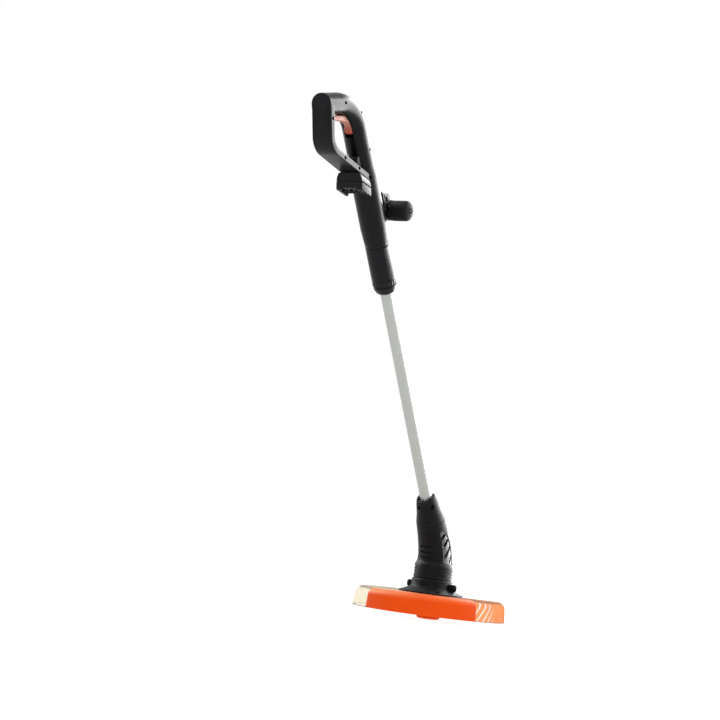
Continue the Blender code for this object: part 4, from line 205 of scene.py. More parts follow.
# Sections of the arm from the hub to the grip: distance, half width across, half thickness
FLARE_STATIONS = (
    (0.0000, 0.0084, 0.0052), (0.0060, 0.0084, 0.0054), (0.0090, 0.0088, 0.0060),
    (0.0115, 0.0100, 0.0070), (0.0135, 0.0122, 0.0084), (0.0155, 0.0156, 0.0102),
    (0.0175, 0.0198, 0.0122), (0.0200, 0.0236, 0.0140), (0.0230, 0.0258, 0.0150),
)

# Motor head
HEAD_FOOT = 0.0720
HEAD_RADIUS = 0.0352
HEAD_BAND_HEIGHT = 0.0280
HEAD_WAIST_RADIUS = 0.0312
FAN_RADIUS = 0.0270
FAN_CHAMBER_HEIGHT = 0.0120
HEAD_WALL = 0.0034
WINDOW_DEPTH = 0.0040
WINDOW_FLOOR = 0.0026
GRILLE_THICKNESS = 0.0022
VENT_SLOTS = 3
VENT_WIDTH = 0.0270
VENT_HEIGHT = 0.0034
VENT_SPACING = 0.0096
GRIP_RIBS = 3
GRIP_RIB_DEPTH = 0.0014
GRIP_RIB_SPACING = 0.0056
HEAD_SCREWS = ((0.0860, HEAD_RADIUS - 0.0031), (0.1600, -0.0370))
GRILLE_SLOPE = math.radians(58.0)

# Slots of the side panels: place along Y, height and half length
GRILLE_SLOTS = (
    (-0.0235, 0.1500, 0.0080), (-0.0150, 0.1370, 0.0120), (-0.0045, 0.1250, 0.0150),
    (0.0075, 0.1150, 0.0120),
)

# Sections up the head's centre line: share of its length, and how far it swells
HEAD_STATIONS = (
    (0.0, 0.0026), (0.05, 0.0013), (0.12, 0.0003), (0.28, 0.0), (0.45, 0.0), (0.62, 0.0), (0.80, 0.0),
    (0.95, 0.0),
)

# Ring that carries the guard
RING_RADIUS = 0.0372
FLANGE_RADIUS = 0.0585
FLANGE_EDGE = 0.0022
LUG_REACH = 0.0510
LUG_HALF_WIDTH = 0.0032
LUG_HEIGHT = 0.0105
LUG_SLOT = 0.0026
BEARING_RADIUS = 0.0080
SPINDLE_RADIUS = 0.0040

# Guard
GUARD_RADIUS = 0.1390
GUARD_TOP = 0.0440
GUARD_RIM = 0.0100
GUARD_WALL = 0.0024
GUARD_SHOULDER = 0.0130
GUARD_DRAFT = 0.0022
GUARD_LAP = 0.0110
GUARD_END = math.radians(125.0)
SHIELD_LEFT = math.radians(-24.0)
SHIELD_RIGHT = math.radians(67.0)
GUARD_STEP = math.radians(1.5)
GUARD_SCREW_CIRCLE = 0.0470
GUARD_SCREW_ANGLES = (math.radians(30.0), math.radians(150.0), math.radians(270.0))
CUTTER_ANGLE = math.radians(96.0)
CUTTER_LENGTH = 0.0200
CUTTER_HEIGHT = 0.0090
CUTTER_REACH = 0.0080
CUTTER_THICKNESS = 0.0014

# Spool head
SPOOL_CASE_RADIUS = 0.0410
SPOOL_CASE_TOP = 0.0400
SPOOL_CASE_FOOT = 0.0120
SPOOL_CASE_WALL = 0.0024
COVER_THICKNESS = 0.0022
BUMP_CAP_RADIUS = 0.0220
SPOOL_FOOT = 0.0160
EYELET_HEIGHT = 0.0235
EYELET_RADIUS = 0.0040
EYELET_BORE = 0.0016
PUSH_SPRING_RADIUS = 0.0072
PUSH_SPRING_TURNS = 4
SPRING_POINTS = 32

# The photograph's view: a point on the motor's axis, and where in the picture it is seen
PHOTO_WIDTH = 720.0
FOCAL_PIXELS = 2000.0
PIXELS_PER_METRE = 550.0
VIEW_AZIMUTH = math.radians(32.83)
VIEW_ELEVATION = math.radians(-4.65)
VIEW_ROLL = math.radians(7.23)
ANCHOR_HEIGHT = 0.027
ANCHOR_SEEN = (429.3, 604.0)

# Places that follow from the sizes above
NECK_TOP = NECK_SEAM + NECK_LENGTH
TUBE_FOOT = NECK_SEAM + SPIGOT_HEIGHT + 0.006
COLLAR_FOOT = NECK_TOP + TUBE_SHOWN
COLLAR_TOP = COLLAR_FOOT + COLLAR_LENGTH
SLEEVE_FOOT = COLLAR_TOP + GAP
HOUSING_FOOT = SLEEVE_FOOT + SLEEVE_LENGTH + GAP
COLLET_FOOT = COLLAR_FOOT + 0.0050
COLLET_TOP = COLLET_FOOT + COLLET_LENGTH
STOP_RING_FOOT = COLLET_TOP + GAP
TUBE_TOP = STOP_RING_FOOT + STOP_RING_LENGTH
STOP_RING_RADIUS = TUBE_RADIUS + STOP_RING_WALL
TUBE_WELL_RADIUS = STOP_RING_RADIUS + 0.0009
TUBE_WELL_TOP = TUBE_TOP + TUBE_TRAVEL + 0.002
COLLET_RADIUS = TUBE_RADIUS + RUNNING_GAP + COLLET_WALL
SLEEVE_BORE = TUBE_WELL_RADIUS
SLEEVE_SPIGOT_RADIUS = SLEEVE_BORE + 0.0028
BEND_HALF_WIDTH = STRAP_HALF_WIDTH
POCKET_HALF_WIDTH = TRIGGER_HALF_WIDTH + 0.0012
RING_FOOT = 0.0460
SPOOL_HUB_RADIUS = SPINDLE_RADIUS * 2.0

WORLD_SPACE = Matrix.Identity(4)
SHAFT_SPACE = Matrix.Translation((0.0, 0.0, CORNER_HEIGHT)) @ Matrix.Rotation(SHAFT_TILT, 4, "X")


def make_object(name, mesh, space=WORLD_SPACE):
    """Links a mesh to the scene as an object drawn in the given space."""
    item = bpy.data.objects.new(name, mesh)
    bpy.context.scene.collection.objects.link(item)
    item.matrix_world = space
    return item


def finish_mesh(name, shape, space):
    """Turns a closed bmesh into an object whose faces point out."""
    bmesh.ops.remove_doubles(shape, verts=shape.verts, dist=1e-7)
    bmesh.ops.recalc_face_normals(shape, faces=shape.faces)
    if shape.calc_volume(signed=True) < 0.0:
        bmesh.ops.reverse_faces(shape, faces=shape.faces)
    mesh = bpy.data.meshes.new(name)
    shape.to_mesh(mesh)
    shape.free()
    return make_object(name, mesh, space)


def apply_modifiers(item):
    """Replaces an object's mesh by the mesh that its modifiers give."""
    bpy.context.view_layer.update()
    graph = bpy.context.evaluated_depsgraph_get()
    mesh = bpy.data.meshes.new_from_object(item.evaluated_get(graph))
    item.modifiers.clear()
    old_mesh = item.data
    item.data = mesh
    bpy.data.meshes.remove(old_mesh)


def cut(target, *tools):
    """Takes the tools' volume out of the target."""
    return combine(target, tools, "DIFFERENCE")


def join(target, *tools):
    """Adds the tools' volume to the target."""
    return combine(target, tools, "UNION")


def keep(target, *tools):
    """Keeps only what the target shares with the tools."""
    return combine(target, tools, "INTERSECT")


def copy_of(item, name):
    """A second object with its own copy of the mesh."""
    return make_object(name, item.data.copy(), item.matrix_world.copy())


def cross_rod(name, place, half, radius, sides=48):
    """A round bar along X through a point of the shaft's side view."""
    return rod(name, (-half, *place), (half, *place), radius, sides, SHAFT_SPACE)


def round_edges(item, width, segments, degrees):
    """Bevels the edges of an object that are sharper than an angle."""
    modifier = item.modifiers.new("Edge", "BEVEL")
    modifier.width = width
    modifier.segments = segments
    modifier.limit_method = "ANGLE"
    modifier.angle_limit = math.radians(degrees)
    modifier.use_clamp_overlap = True
    apply_modifiers(item)
    return item


def circle(count, phase=0.0):
    """Angles evenly spaced round a full turn."""
    return [phase + 2.0 * math.pi * index / count for index in range(count)]


def turned(name, outline, sides=ROUND_SIDES, space=WORLD_SPACE, phase=0.0):
    """Turns a closed outline of (radius, height) points about the space's Z axis."""
    shape = bmesh.new()
    turns = circle(sides, phase)
    rings = []
    for radius, height in outline:
        if radius < 1e-9:
            rings.append([shape.verts.new((0.0, 0.0, height))] * sides)
            continue
        places = [(radius * math.cos(turn), radius * math.sin(turn), height) for turn in turns]
        rings.append([shape.verts.new(place) for place in places])
    for ring, following in zip(rings, rings[1:] + rings[:1]):
        for index in range(sides):
            after = (index + 1) % sides
            corners = []
            for vert in (ring[index], ring[after], following[after], following[index]):
                if vert not in corners:
                    corners.append(vert)
            if len(corners) > 2:
                shape.faces.new(corners)
    return finish_mesh(name, shape, space)


def stepped(start, *steps, bore=0.0):
    """Closed outline of a bar or ring: the height of its start, then each step's radius and end."""
    outline = [(bore, start)]
    for radius, end in steps:
        outline += [(radius, outline[-1][1]), (radius, end)]
    return [*outline, (bore, outline[-1][1])]


def swept_sector(name, outline, start, end, step=GUARD_STEP):
    """Sweeps a closed outline of (radius, height) points from one bearing to another."""
    count = max(2, math.ceil((end - start) / step))
    return lofted(
        name,
        [at_bearing(outline, start + (end - start) * index / count) for index in range(count + 1)],
    )


def lofted(name, rings, space=WORLD_SPACE):
    """Skins closed rings that all have the same number of points, with flat ends."""
    shape = bmesh.new()
    loops = [[shape.verts.new(point) for point in ring] for ring in rings]
    count = len(loops[0])
    for lower, upper in zip(loops, loops[1:]):
        for index in range(count):
            after = (index + 1) % count
            shape.faces.new((lower[index], lower[after], upper[after], upper[index]))
    shape.faces.new(loops[0])
    shape.faces.new(loops[-1])
    return finish_mesh(name, shape, space)


def at_bearing(outline, bearing):
    """Places (radius, height) points at a bearing, measured from the rear, -Y, towards +X."""
    across = math.sin(bearing)
    along = -math.cos(bearing)
    return [(radius * across, radius * along, height) for radius, height in outline]


def side_prism(name, outline, low, high, space=SHAFT_SPACE):
    """Extrudes an outline of (front, up) points along X."""
    rings = [[(across, front, up) for front, up in outline] for across in sorted((low, high))]
    return lofted(name, rings, space)


def top_prism(name, outline, low, high, space=WORLD_SPACE):
    """Extrudes an outline of (x, y) points along Z."""
    rings = [[(across, along, height) for across, along in outline] for height in (low, high)]
    return lofted(name, rings, space)


def front_prism(name, outline, low, high, space=WORLD_SPACE):
    """Extrudes an outline of (across, up) points along Y."""
    rings = [[(across, along, up) for across, up in outline] for along in (low, high)]
    return lofted(name, rings, space)


def block(name, low, high, space=WORLD_SPACE):
    """A box between two opposite corners."""
    (left, near, foot), (right, far, top) = zip(*map(sorted, zip(low, high)))
    outline = ((left, near), (right, near), (right, far), (left, far))
    return top_prism(name, outline, foot, top, space)


def rod(name, start, end, radius, sides=SMALL_SIDES, space=WORLD_SPACE):
    """A round bar between two points."""
    start = Vector(start)
    end = Vector(end)
    axis = (end - start).normalized()
    across = axis.orthogonal().normalized()
    other = axis.cross(across)
    rings = []
    for centre in (start, end):
        ring = []
        for turn in circle(sides):
            ring.append(centre + across * radius * math.cos(turn) + other * radius * math.sin(turn))
        rings.append(ring)
    return lofted(name, rings, space)


def arc_points(centre, radius, start, end, count):
    """Points along an arc in a plane, both ends included."""
    points = []
    for index in range(count + 1):
        angle = start + (end - start) * index / count
        points.append((centre[0] + radius * math.cos(angle), centre[1] + radius * math.sin(angle)))
    return points


def filleted(points, radius, count=6):
    """Rounds the inner corners of an open polyline of 2-D points."""
    rounded = [points[0]]
    for before, corner, after in zip(points, points[1:], points[2:]):
        corner = Vector(corner)
        back = (Vector(before) - corner).normalized()
        ahead = (Vector(after) - corner).normalized()
        half = back.angle(ahead) / 2.0
        reach = radius / math.tan(half)
        centre = corner + (back + ahead).normalized() * radius / math.sin(half)
        first = corner + back * reach - centre
        last = corner + ahead * reach - centre
        turn = first.angle_signed(last)
        for index in range(count + 1):
            spoke = first.copy()
            spoke.rotate(Matrix.Rotation(-turn * index / count, 2))
            rounded.append(tuple(centre + spoke))
    rounded.append(points[-1])
    return rounded


# Points on the handle, in the shaft's space as (front, up)

def on_handle(back, up):
    """A point given back from the shaft's line and up from the housing's foot."""
    return (-back, HOUSING_FOOT + up)


def bend_station(distance):
    """Centre and lean of the bend's centre line at a distance past its start."""
    arc_length = BEND_RADIUS * BEND_ANGLE
    angle = min(distance, arc_length) / BEND_RADIUS
    beyond = max(distance - arc_length, 0.0)
    back = BEND_RADIUS * (1.0 - math.cos(angle)) + beyond * math.sin(angle)
    up = BEND_START + BEND_RADIUS * math.sin(angle) + beyond * math.cos(angle)
    return on_handle(back, up), angle


def handle_points(*places):
    """Several points, each given back from the shaft's line and up from the housing's foot."""
    return [on_handle(back, up) for back, up in places]


def squarer(value, power):
    """A cosine or sine of a round section, drawn out towards a square one."""
    return math.copysign(abs(value) ** (2.0 / power), value)


def oval_ring(centre, lean, half_width, half_height, inner_power):
    """A ring across the handle's centre line: round outside, squarer inside."""
    ring = []
    for angle in circle(ROUND_SIDES):
        power = 2.0 if math.sin(angle) >= 0.0 else inner_power
        across = half_width * squarer(math.cos(angle), power)
        out = half_height * squarer(math.sin(angle), power)
        ring.append((across, centre[0] + out * math.cos(lean), centre[1] + out * math.sin(lean)))
    return ring


def strap_path():
    """Outer face of the strap from the top bend down to the battery foot, as (front, up)."""
    end = Vector(bend_station(BEND_RADIUS * BEND_ANGLE + BEND_ARM)[0])
    down = Vector((-math.cos(BEND_ANGLE), -math.sin(BEND_ANGLE)))
    corner = end + down * STRAP_DROP
    back_in = Vector((-math.cos(STRAP_SLOPE), -math.sin(STRAP_SLOPE)))
    return [end, corner, corner + back_in * STRAP_RETURN]


def foot_space():
    """The battery foot's space: X across, Y forward along its underside, Z up."""
    base = on_handle(FOOT_OFFSET, FOOT_HEIGHT_UP_SHAFT)
    place = Matrix.Translation((0.0, base[0], base[1]))
    return SHAFT_SPACE @ place @ Matrix.Rotation(-(SHAFT_TILT + FOOT_PITCH), 4, "X")


def trigger_pivot():
    """Centre of the trigger's pin, as (front, up)."""
    return on_handle(TRIGGER_PIVOT_BACK, TRIGGER_PIVOT_UP)


def aux_pivot():
    """Centre of the auxiliary handle's bolt, as (front, up)."""
    return on_handle(-AUX_PIVOT_FRONT, AUX_PIVOT_UP)


# Fine forms of the pieces

def mend(item):
    """Closes the pinholes that a Boolean leaves where surfaces nearly touch."""
    shape = bmesh.new()
    shape.from_mesh(item.data)
    if all(len(edge.link_faces) == 2 for edge in shape.edges):
        shape.free()
        return item
    bmesh.ops.dissolve_degenerate(shape, dist=1e-6, edges=shape.edges)
    bmesh.ops.remove_doubles(shape, verts=shape.verts, dist=2e-6)
    loose = [edge for edge in shape.edges if not edge.link_faces]
    bmesh.ops.delete(shape, geom=loose, context="EDGES")
    rims = [edge for edge in shape.edges if len(edge.link_faces) == 1]
    bmesh.ops.holes_fill(shape, edges=rims, sides=24)
    bmesh.ops.recalc_face_normals(shape, faces=shape.faces)
    shape.to_mesh(item.data)
    shape.free()
    return item


def combine(target, tools, operation):
    """Runs one Boolean for each tool and removes the tools."""
    for tool in tools:
        modifier = target.modifiers.new(operation.title(), "BOOLEAN")
        modifier.operation = operation
        modifier.solver = "EXACT"
        modifier.object = tool
        apply_modifiers(target)
        mend(target)
        bpy.data.objects.remove(tool, do_unlink=True)
    return target


def smoothed(share):
    """A share from nothing to one with a gentle start and end."""
    return share * share * (3.0 - 2.0 * share)


def eased(points, value):
    """Value of a smooth curve through (place, size) points."""
    for (low, first), (high, second) in zip(points, points[1:]):
        if value <= high:
            return first + (second - first) * smoothed(max(0.0, (value - low) / (high - low)))
    return points[-1][1]


def loop_curve(points, count):
    """A smooth closed outline through 2-D points."""
    smooth = []
    total = len(points)
    for index in range(total):
        before, start, end, after = (Vector(points[(index + step) % total]) for step in (-1, 0, 1, 2))
        bend = 2.0 * before - 5.0 * start + 4.0 * end - after
        turn = 3.0 * start - before - 3.0 * end + after
        for step in range(count):
            share = step / count
            point = 2.0 * start + (end - before) * share + bend * share**2 + turn * share**3
            smooth.append(tuple(0.5 * point))
    return smooth


def softened_outline(points, radius, count=4, keep_axis=False):
    """A closed outline with its corners rounded as far as their sides allow.

    With keep_axis, the points on the axis of a turned piece stay as they are.
    """
    rounded = []
    total = len(points)
    for index in range(total):
        before, corner, after = (Vector(points[(index + step) % total]) for step in (-1, 0, 1))
        if keep_axis and corner.x < 1e-9:
            rounded.append(tuple(corner))
            continue
        back = before - corner
        ahead = after - corner
        if back.length < 1e-7 or ahead.length < 1e-7:
            continue
        half = back.angle(ahead) / 2.0
        if half > NEARLY_STRAIGHT:
            rounded.append(tuple(corner))
            continue
        reach = min(radius / math.tan(half), back.length * CORNER_SHARE, ahead.length * CORNER_SHARE)
        first = corner + back.normalized() * reach
        last = corner + ahead.normalized() * reach
        for step in range(count + 1):
            share = step / count
            rest = 1.0 - share
            rounded.append(tuple(first * rest**2 + corner * 2.0 * rest * share + last * share**2))
    return rounded


def handle_body():
    """Barrel and top bend, lofted along the handle's centre line."""
    barrel = (
        (0.0, BARREL_RADIUS - 0.0006), (0.0012, BARREL_RADIUS), (BULGE_START, BARREL_RADIUS + 0.0012),
        (BULGE_START + 0.016, BULGE_RADIUS), (BULGE_END, BULGE_RADIUS),
        (BULGE_END + 0.020, BULGE_RADIUS - 0.0014), (BEND_START - 0.028, BARREL_TOP_RADIUS),
    )
    heights = [0.0, 0.0004, 0.0012, 0.006, 0.012, BULGE_START]
    while heights[-1] + BARREL_STEP < BEND_START - BARREL_STEP:
        heights.append(heights[-1] + BARREL_STEP)
    rings = []
    for up in heights:
        radius = eased(barrel, up)
        rings.append(oval_ring(on_handle(0.0, up), 0.0, radius, radius, 2.0))
    for index in range(BEND_STEPS + 1):
        share = index / BEND_STEPS
        centre, lean = bend_station((BEND_RADIUS * BEND_ANGLE + BEND_ARM) * share)
        blend = smoothed(min(1.0, share * 1.6))
        half_width = BARREL_TOP_RADIUS + (BEND_HALF_WIDTH - BARREL_TOP_RADIUS) * blend
        half_height = BARREL_TOP_RADIUS + (BEND_HALF_HEIGHT - BARREL_TOP_RADIUS) * blend
        rings.append(oval_ring(centre, lean, half_width, half_height, 2.0 + 0.7 * blend))
    return lofted("handle_body", rings, SHAFT_SPACE)


def strap_body():
    """Flat strap from the top bend down and back in to the barrel."""
    outer = strap_path()
    first = (outer[1] - outer[0]).normalized()
    second = (outer[2] - outer[1]).normalized()
    first_in = Vector((-first.y, first.x))
    second_in = Vector((-second.y, second.x))
    share = STRAP_THICKNESS / (1.0 + first_in.dot(second_in))
    inner = [
        outer[0] + first_in * STRAP_THICKNESS, outer[1] + (first_in + second_in) * share,
        outer[2] + second_in * STRAP_THICKNESS,
    ]
    outline = filleted(outer, STRAP_CORNER_RADIUS, 24)
    outline += reversed(filleted(inner, STRAP_CORNER_RADIUS - STRAP_THICKNESS, 24))
    strap = side_prism("strap_body", outline, -STRAP_HALF_WIDTH, STRAP_HALF_WIDTH)
    return round_edges(strap, STRAP_CHAMFER, 4, 60.0)


def gusset_body():
    """Small web between the strap's upper face and the barrel."""
    outline = handle_points((0.030, 0.159), (0.025, 0.165), (0.015, 0.170), (0.012, 0.140))
    half_width = STRAP_HALF_WIDTH - 0.008
    return round_edges(side_prism("gusset_body", outline, -half_width, half_width), 0.0010, 2, 30.0)


def foot_shell():
    """Upper part of the battery foot, narrower towards its top, blended into the barrel."""
    lean = FOOT_LEAN / FOOT_HEIGHT
    low = FOOT_SEAM_HEIGHT
    high = FOOT_HEIGHT
    rings = []
    for forward, inset in (
        (0.0, 0.0012), (0.0004, 0.0005), (0.0012, 0.0), (FOOT_LENGTH, 0.0),
        (FOOT_LENGTH + 0.010, 0.012),
    ):
        half = FOOT_HALF_WIDTH - inset
        side = (
            (half, low), (half - 0.0010, low + (high - low) * 0.40),
            (half - 0.0044, low + (high - low) * 0.90), (half - 0.0078, high - inset * 0.5),
        )
        right = softened_outline([(0.0, low), *side, (0.0, high - inset * 0.5)], 0.0022, 4)
        right = [point for point in right if point[0] > 1e-5]
        left = [(-across, height) for across, height in reversed(right)]
        rings.append([(across, forward - lean * height, height) for across, height in right + left])
    return lofted("foot_shell", rings, foot_space())


def make_battery_foot():
    """Lower part of the battery foot with its ledge, socket, glide rails and lips."""
    space = foot_space()
    lean = FOOT_LEAN / FOOT_HEIGHT
    top = FOOT_SEAM_HEIGHT - GAP
    outline = ((0.0, 0.0), (FOOT_LENGTH, 0.0), (FOOT_LENGTH - lean * top, top), (-lean * top, top))
    foot = side_prism("battery_foot", outline, -FOOT_HALF_WIDTH, FOOT_HALF_WIDTH, space)
    round_edges(foot, 0.0012, 3, 60.0)
    edge = (-lean * top + 0.0002, top - 0.0011)
    join(foot, rod("ledge", (-0.0165, *edge), (0.0215, *edge), 0.0010, 24, space))
    socket = block(
        "socket", (-SOCKET_HALF_WIDTH, SOCKET_END_WALL - 0.001, -0.002),
        (SOCKET_HALF_WIDTH, FOOT_LENGTH + 0.010, SOCKET_DEPTH), space,
    )
    mouth_half = TERMINAL_HALF_WIDTH + 0.0010
    mouth = block("mouth", (-mouth_half, -0.004, -0.002), (mouth_half, SOCKET_END_WALL, 0.0030), space)
    room = stepped(HOUSING_FOOT + 0.05, (BULGE_RADIUS + GAP, HOUSING_FOOT + 0.16))
    cut(foot, socket, mouth, turned("barrel_room", room, ROUND_SIDES, SHAFT_SPACE))
    for side in (-1.0, 1.0):
        lip = block(
            "lip", (side * (SOCKET_HALF_WIDTH + 0.001), SOCKET_END_WALL + 0.008, RAIL_LIP_FOOT),
            (
                side * (SOCKET_HALF_WIDTH - RAIL_LIP), FOOT_LENGTH - 0.0052,
                RAIL_LIP_FOOT + RAIL_LIP_HEIGHT,
            ),
            space,
        )
        join(foot, lip)
    return foot


def screw_solid(space, seat, length):
    """A pan-head screw along the space's Z axis with a six-lobed socket."""
    top = seat + SCREW_HEAD_HEIGHT
    outline = (
        (0.0, seat - length), (SCREW_SHANK_RADIUS * 0.6, seat - length),
        (SCREW_SHANK_RADIUS, seat - length + 0.0015), (SCREW_SHANK_RADIUS, seat),
        (SCREW_HEAD_RADIUS, seat), (SCREW_HEAD_RADIUS, seat + SCREW_HEAD_HEIGHT * 0.5),
        (SCREW_HEAD_RADIUS * 0.86, seat + SCREW_HEAD_HEIGHT * 0.85), (SCREW_HEAD_RADIUS * 0.6, top),
        (0.0, top),
    )
    screw = turned("screw", softened_outline(outline, 0.0004, 2, True), 32, space)
    lobes = []
    for angle in circle(24):
        radius = 0.00118 + 0.00018 * math.cos(6.0 * angle)
        lobes.append((radius * math.cos(angle), radius * math.sin(angle)))
    return cut(screw, top_prism("socket", lobes, top - 0.0011, top + 0.001, space))


def about(radius, height, *steps):
    """Points of an outline given by their distances from a base point."""
    return [(radius + out, height + up) for out, up in steps]


def make_barrel_sleeve():
    """Fixed sleeve under the housing with its spigot."""
    top = SLEEVE_FOOT + SLEEVE_LENGTH
    outline = stepped(
        SLEEVE_FOOT, (BARREL_RADIUS, top), (SLEEVE_SPIGOT_RADIUS, top + GAP + SLEEVE_SPIGOT),
        bore=SLEEVE_BORE,
    )
    sleeve = turned("barrel_sleeve", softened_outline(outline, 0.0003, 3), 128, SHAFT_SPACE)
    return cut(sleeve, sleeve_screw_solid(GAP))


def make_lock_collar():
    """Domed twist collar with a scalloped band."""
    foot = COLLAR_FOOT
    band = foot + COLLAR_NOSE_LENGTH
    inner = COLLET_RADIUS + RUNNING_GAP
    low = band + 0.0007
    high = band + 0.0096
    dome = about(
        COLLAR_NOSE_RADIUS, foot, (0.0, 0.0), (0.0014, 0.0003), (0.0030, 0.0014), (0.0046, 0.0027),
    )
    dome += about(
        COLLAR_RADIUS, foot, (-0.0030, 0.0052), (-0.0016, 0.0080), (-0.0005, 0.0108), (0.0, 0.0135),
    )
    dome += about(
        COLLAR_RADIUS, band, (0.0, -0.0007), (-0.0009, -0.0001), (-0.0009, 0.0001), (0.0, 0.0007),
    )
    steps = 12
    for step in range(steps + 1):
        height = band + 0.0008 + (COLLAR_TOP - 0.0014 - band - 0.0008) * step / steps
        dome.append((COLLAR_RADIUS, height))
    dome += about(COLLAR_RADIUS, COLLAR_TOP, (-0.0003, -0.0005), (-0.0010, 0.0))
    dome += [
        (inner, COLLAR_TOP), (inner, COLLET_FOOT - GAP), (TUBE_RADIUS + GAP, COLLET_FOOT - GAP),
        (TUBE_RADIUS + GAP, foot),
    ]
    collar = turned("lock_collar", dome, FLUTES * 12, SHAFT_SPACE)
    for vert in collar.data.vertices:
        radius = math.hypot(vert.co.x, vert.co.y)
        if low < vert.co.z < high and radius > COLLAR_RADIUS - 1e-5:
            wave = 0.5 - 0.5 * math.cos(FLUTES * math.atan2(vert.co.y, vert.co.x))
            ends = min(1.0, (vert.co.z - low) / FLUTE_FADE, (high - vert.co.z) / FLUTE_FADE)
            share = (COLLAR_RADIUS - FLUTE_DEPTH * wave**1.4 * max(0.0, ends)) / radius
            vert.co.x *= share
            vert.co.y *= share
    return collar


def make_trigger():
    """Curved trigger with rounded flanks, its arm and the eye round the pin."""
    blade = handle_points(
        (0.0630, 0.2455), (0.0445, 0.2375), (0.0285, 0.2305), (0.0218, 0.2250), (0.0200, 0.2190),
        (0.0214, 0.2120), (0.0204, 0.2072), (0.0166, 0.2050), (0.0122, 0.2090), (0.0110, 0.2170),
        (0.0130, 0.2270), (0.0172, 0.2345), (0.0240, 0.2398), (0.0334, 0.2436), (0.0614, 0.2518),
    )
    trigger = side_prism("trigger", loop_curve(blade, 5), -TRIGGER_HALF_WIDTH, TRIGGER_HALF_WIDTH)
    round_edges(trigger, 0.0030, 6, 50.0)
    arm = handle_points(
        (0.0500, 0.2470), (0.0500, 0.2570), (0.0530, 0.2592), (0.0590, 0.2594), (0.0690, 0.2690),
        (0.0740, 0.2612), (0.0640, 0.2465),
    )
    join(trigger, side_prism("arm", arm, -TRIGGER_EYE_HALF_WIDTH, TRIGGER_EYE_HALF_WIDTH))
    join(trigger, cross_rod("eye", trigger_pivot(), TRIGGER_EYE_HALF_WIDTH, TRIGGER_EYE_RADIUS, 64))
    return cut(trigger, cross_rod("hole", trigger_pivot(), 0.02, TRIGGER_PIN_RADIUS + RUNNING_GAP))


def make_neck():
    """Flared neck with a horn on each side of its mouth and countersunk screw wells."""
    bore = TUBE_RADIUS + GAP / 2.0
    seam = NECK_SEAM + GAP
    spigot_bore = SPIGOT_RADIUS + RUNNING_GAP
    spigot_room = NECK_SEAM + SPIGOT_HEIGHT + GAP
    duct = TUBE_RADIUS - TUBE_WALL - 0.0010
    outline = [
        (spigot_bore, seam), *about(NECK_SEAM_RADIUS, seam, (-0.0010, 0.0), (0.0, 0.0012)),
        (NECK_SEAM_RADIUS - 0.0010, NECK_SEAM + 0.0060),
        *about(NECK_WAIST_RADIUS, NECK_SEAM, (0.0030, 0.0120), (0.0012, 0.0190), (0.0, 0.0280)),
        *about(
            NECK_TOP_RADIUS, NECK_TOP, (0.0004, -0.0120), (-0.0006, -0.0070), (-0.0016, -0.0030),
            (-0.0032, -0.0006), (-0.0050, 0.0),
        ),
        *about(NECK_MOUTH_RADIUS, NECK_TOP, (0.0010, 0.0), (0.0, -0.0010)),
        (bore, NECK_TOP - NECK_MOUTH_DEPTH), (bore, TUBE_FOOT - GAP), (duct, TUBE_FOOT - GAP),
        (duct, spigot_room), (spigot_bore, spigot_room),
    ]
    neck = turned("neck", outline, 112, SHAFT_SPACE)
    well_floor = NECK_TOP_RADIUS - NECK_WELL_DEPTH
    well = (
        (0.0, TUBE_RADIUS + 0.0008), (SCREW_SHANK_RADIUS + GAP, TUBE_RADIUS + 0.0008),
        (SCREW_SHANK_RADIUS + GAP, well_floor), (NECK_WELL_RADIUS, well_floor),
        *about(NECK_WELL_RADIUS, NECK_TOP_RADIUS, (0.0, -0.0016), (0.0014, 0.0006)),
        (NECK_WELL_RADIUS + 0.0040, 0.030), (0.0, 0.030),
    )
    wells = [
        turned("hole", well, SMALL_SIDES, neck_screw_space(bearing))
        for bearing in NECK_SCREW_ANGLES
    ]
    half = NECK_NOTCH_RADIUS - 0.0003
    low = NECK_TOP - NECK_NOTCH_DEPTH
    high = NECK_TOP + 0.02
    notch = softened_outline([(-half, low), (half, low), (half, high), (-half, high)], 0.0050, 8)
    return cut(neck, front_prism("notch", notch, -0.03, 0.03, SHAFT_SPACE), *wells)


def make_side_grille(name, side):
    """Louvred panel in one of the head's side windows, with steep slots."""
    panel = window_prism(name, side, -GAP * 1.6)
    keep(panel, head_form("face", WINDOW_DEPTH - GAP - GRILLE_THICKNESS))
    cut(panel, head_form("back", WINDOW_DEPTH - GAP))
    run = Vector((math.cos(GRILLE_SLOPE), math.sin(GRILLE_SLOPE)))
    wide = Vector((-run.y, run.x)) * 0.0026
    slots = []
    for along, height, reach in GRILLE_SLOTS:
        middle = Vector((along, height))
        outline = [
            tuple(middle - run * reach - wide), tuple(middle - run * reach + wide),
            tuple(middle + run * reach + wide * 1.5), tuple(middle + run * reach - wide * 1.5),
        ]
        slots.append(
            side_prism("slot", softened_outline(outline, 0.0014), 0.0, side * 0.06, WORLD_SPACE),
        )
    return cut(panel, *slots)


def dust_screen():
    """Fine screen behind the head's vents."""
    screen = head_form("dust_screen", HEAD_WALL - 0.0009)
    cut(screen, head_form("inner", HEAD_WALL + 0.0008))
    return keep(screen, block("span", (-0.0152, -0.060, 0.1060), (0.0152, -0.010, 0.1336)))


def head_screw_space(height, along):
    """Across the head; the lower screw goes in from the right, the upper one from the left."""
    side = 1.0 if height < CORNER_HEIGHT else -1.0
    return Matrix.Translation((0.0, along, height)) @ Matrix.Rotation(side * math.pi / 2.0, 4, "Y")


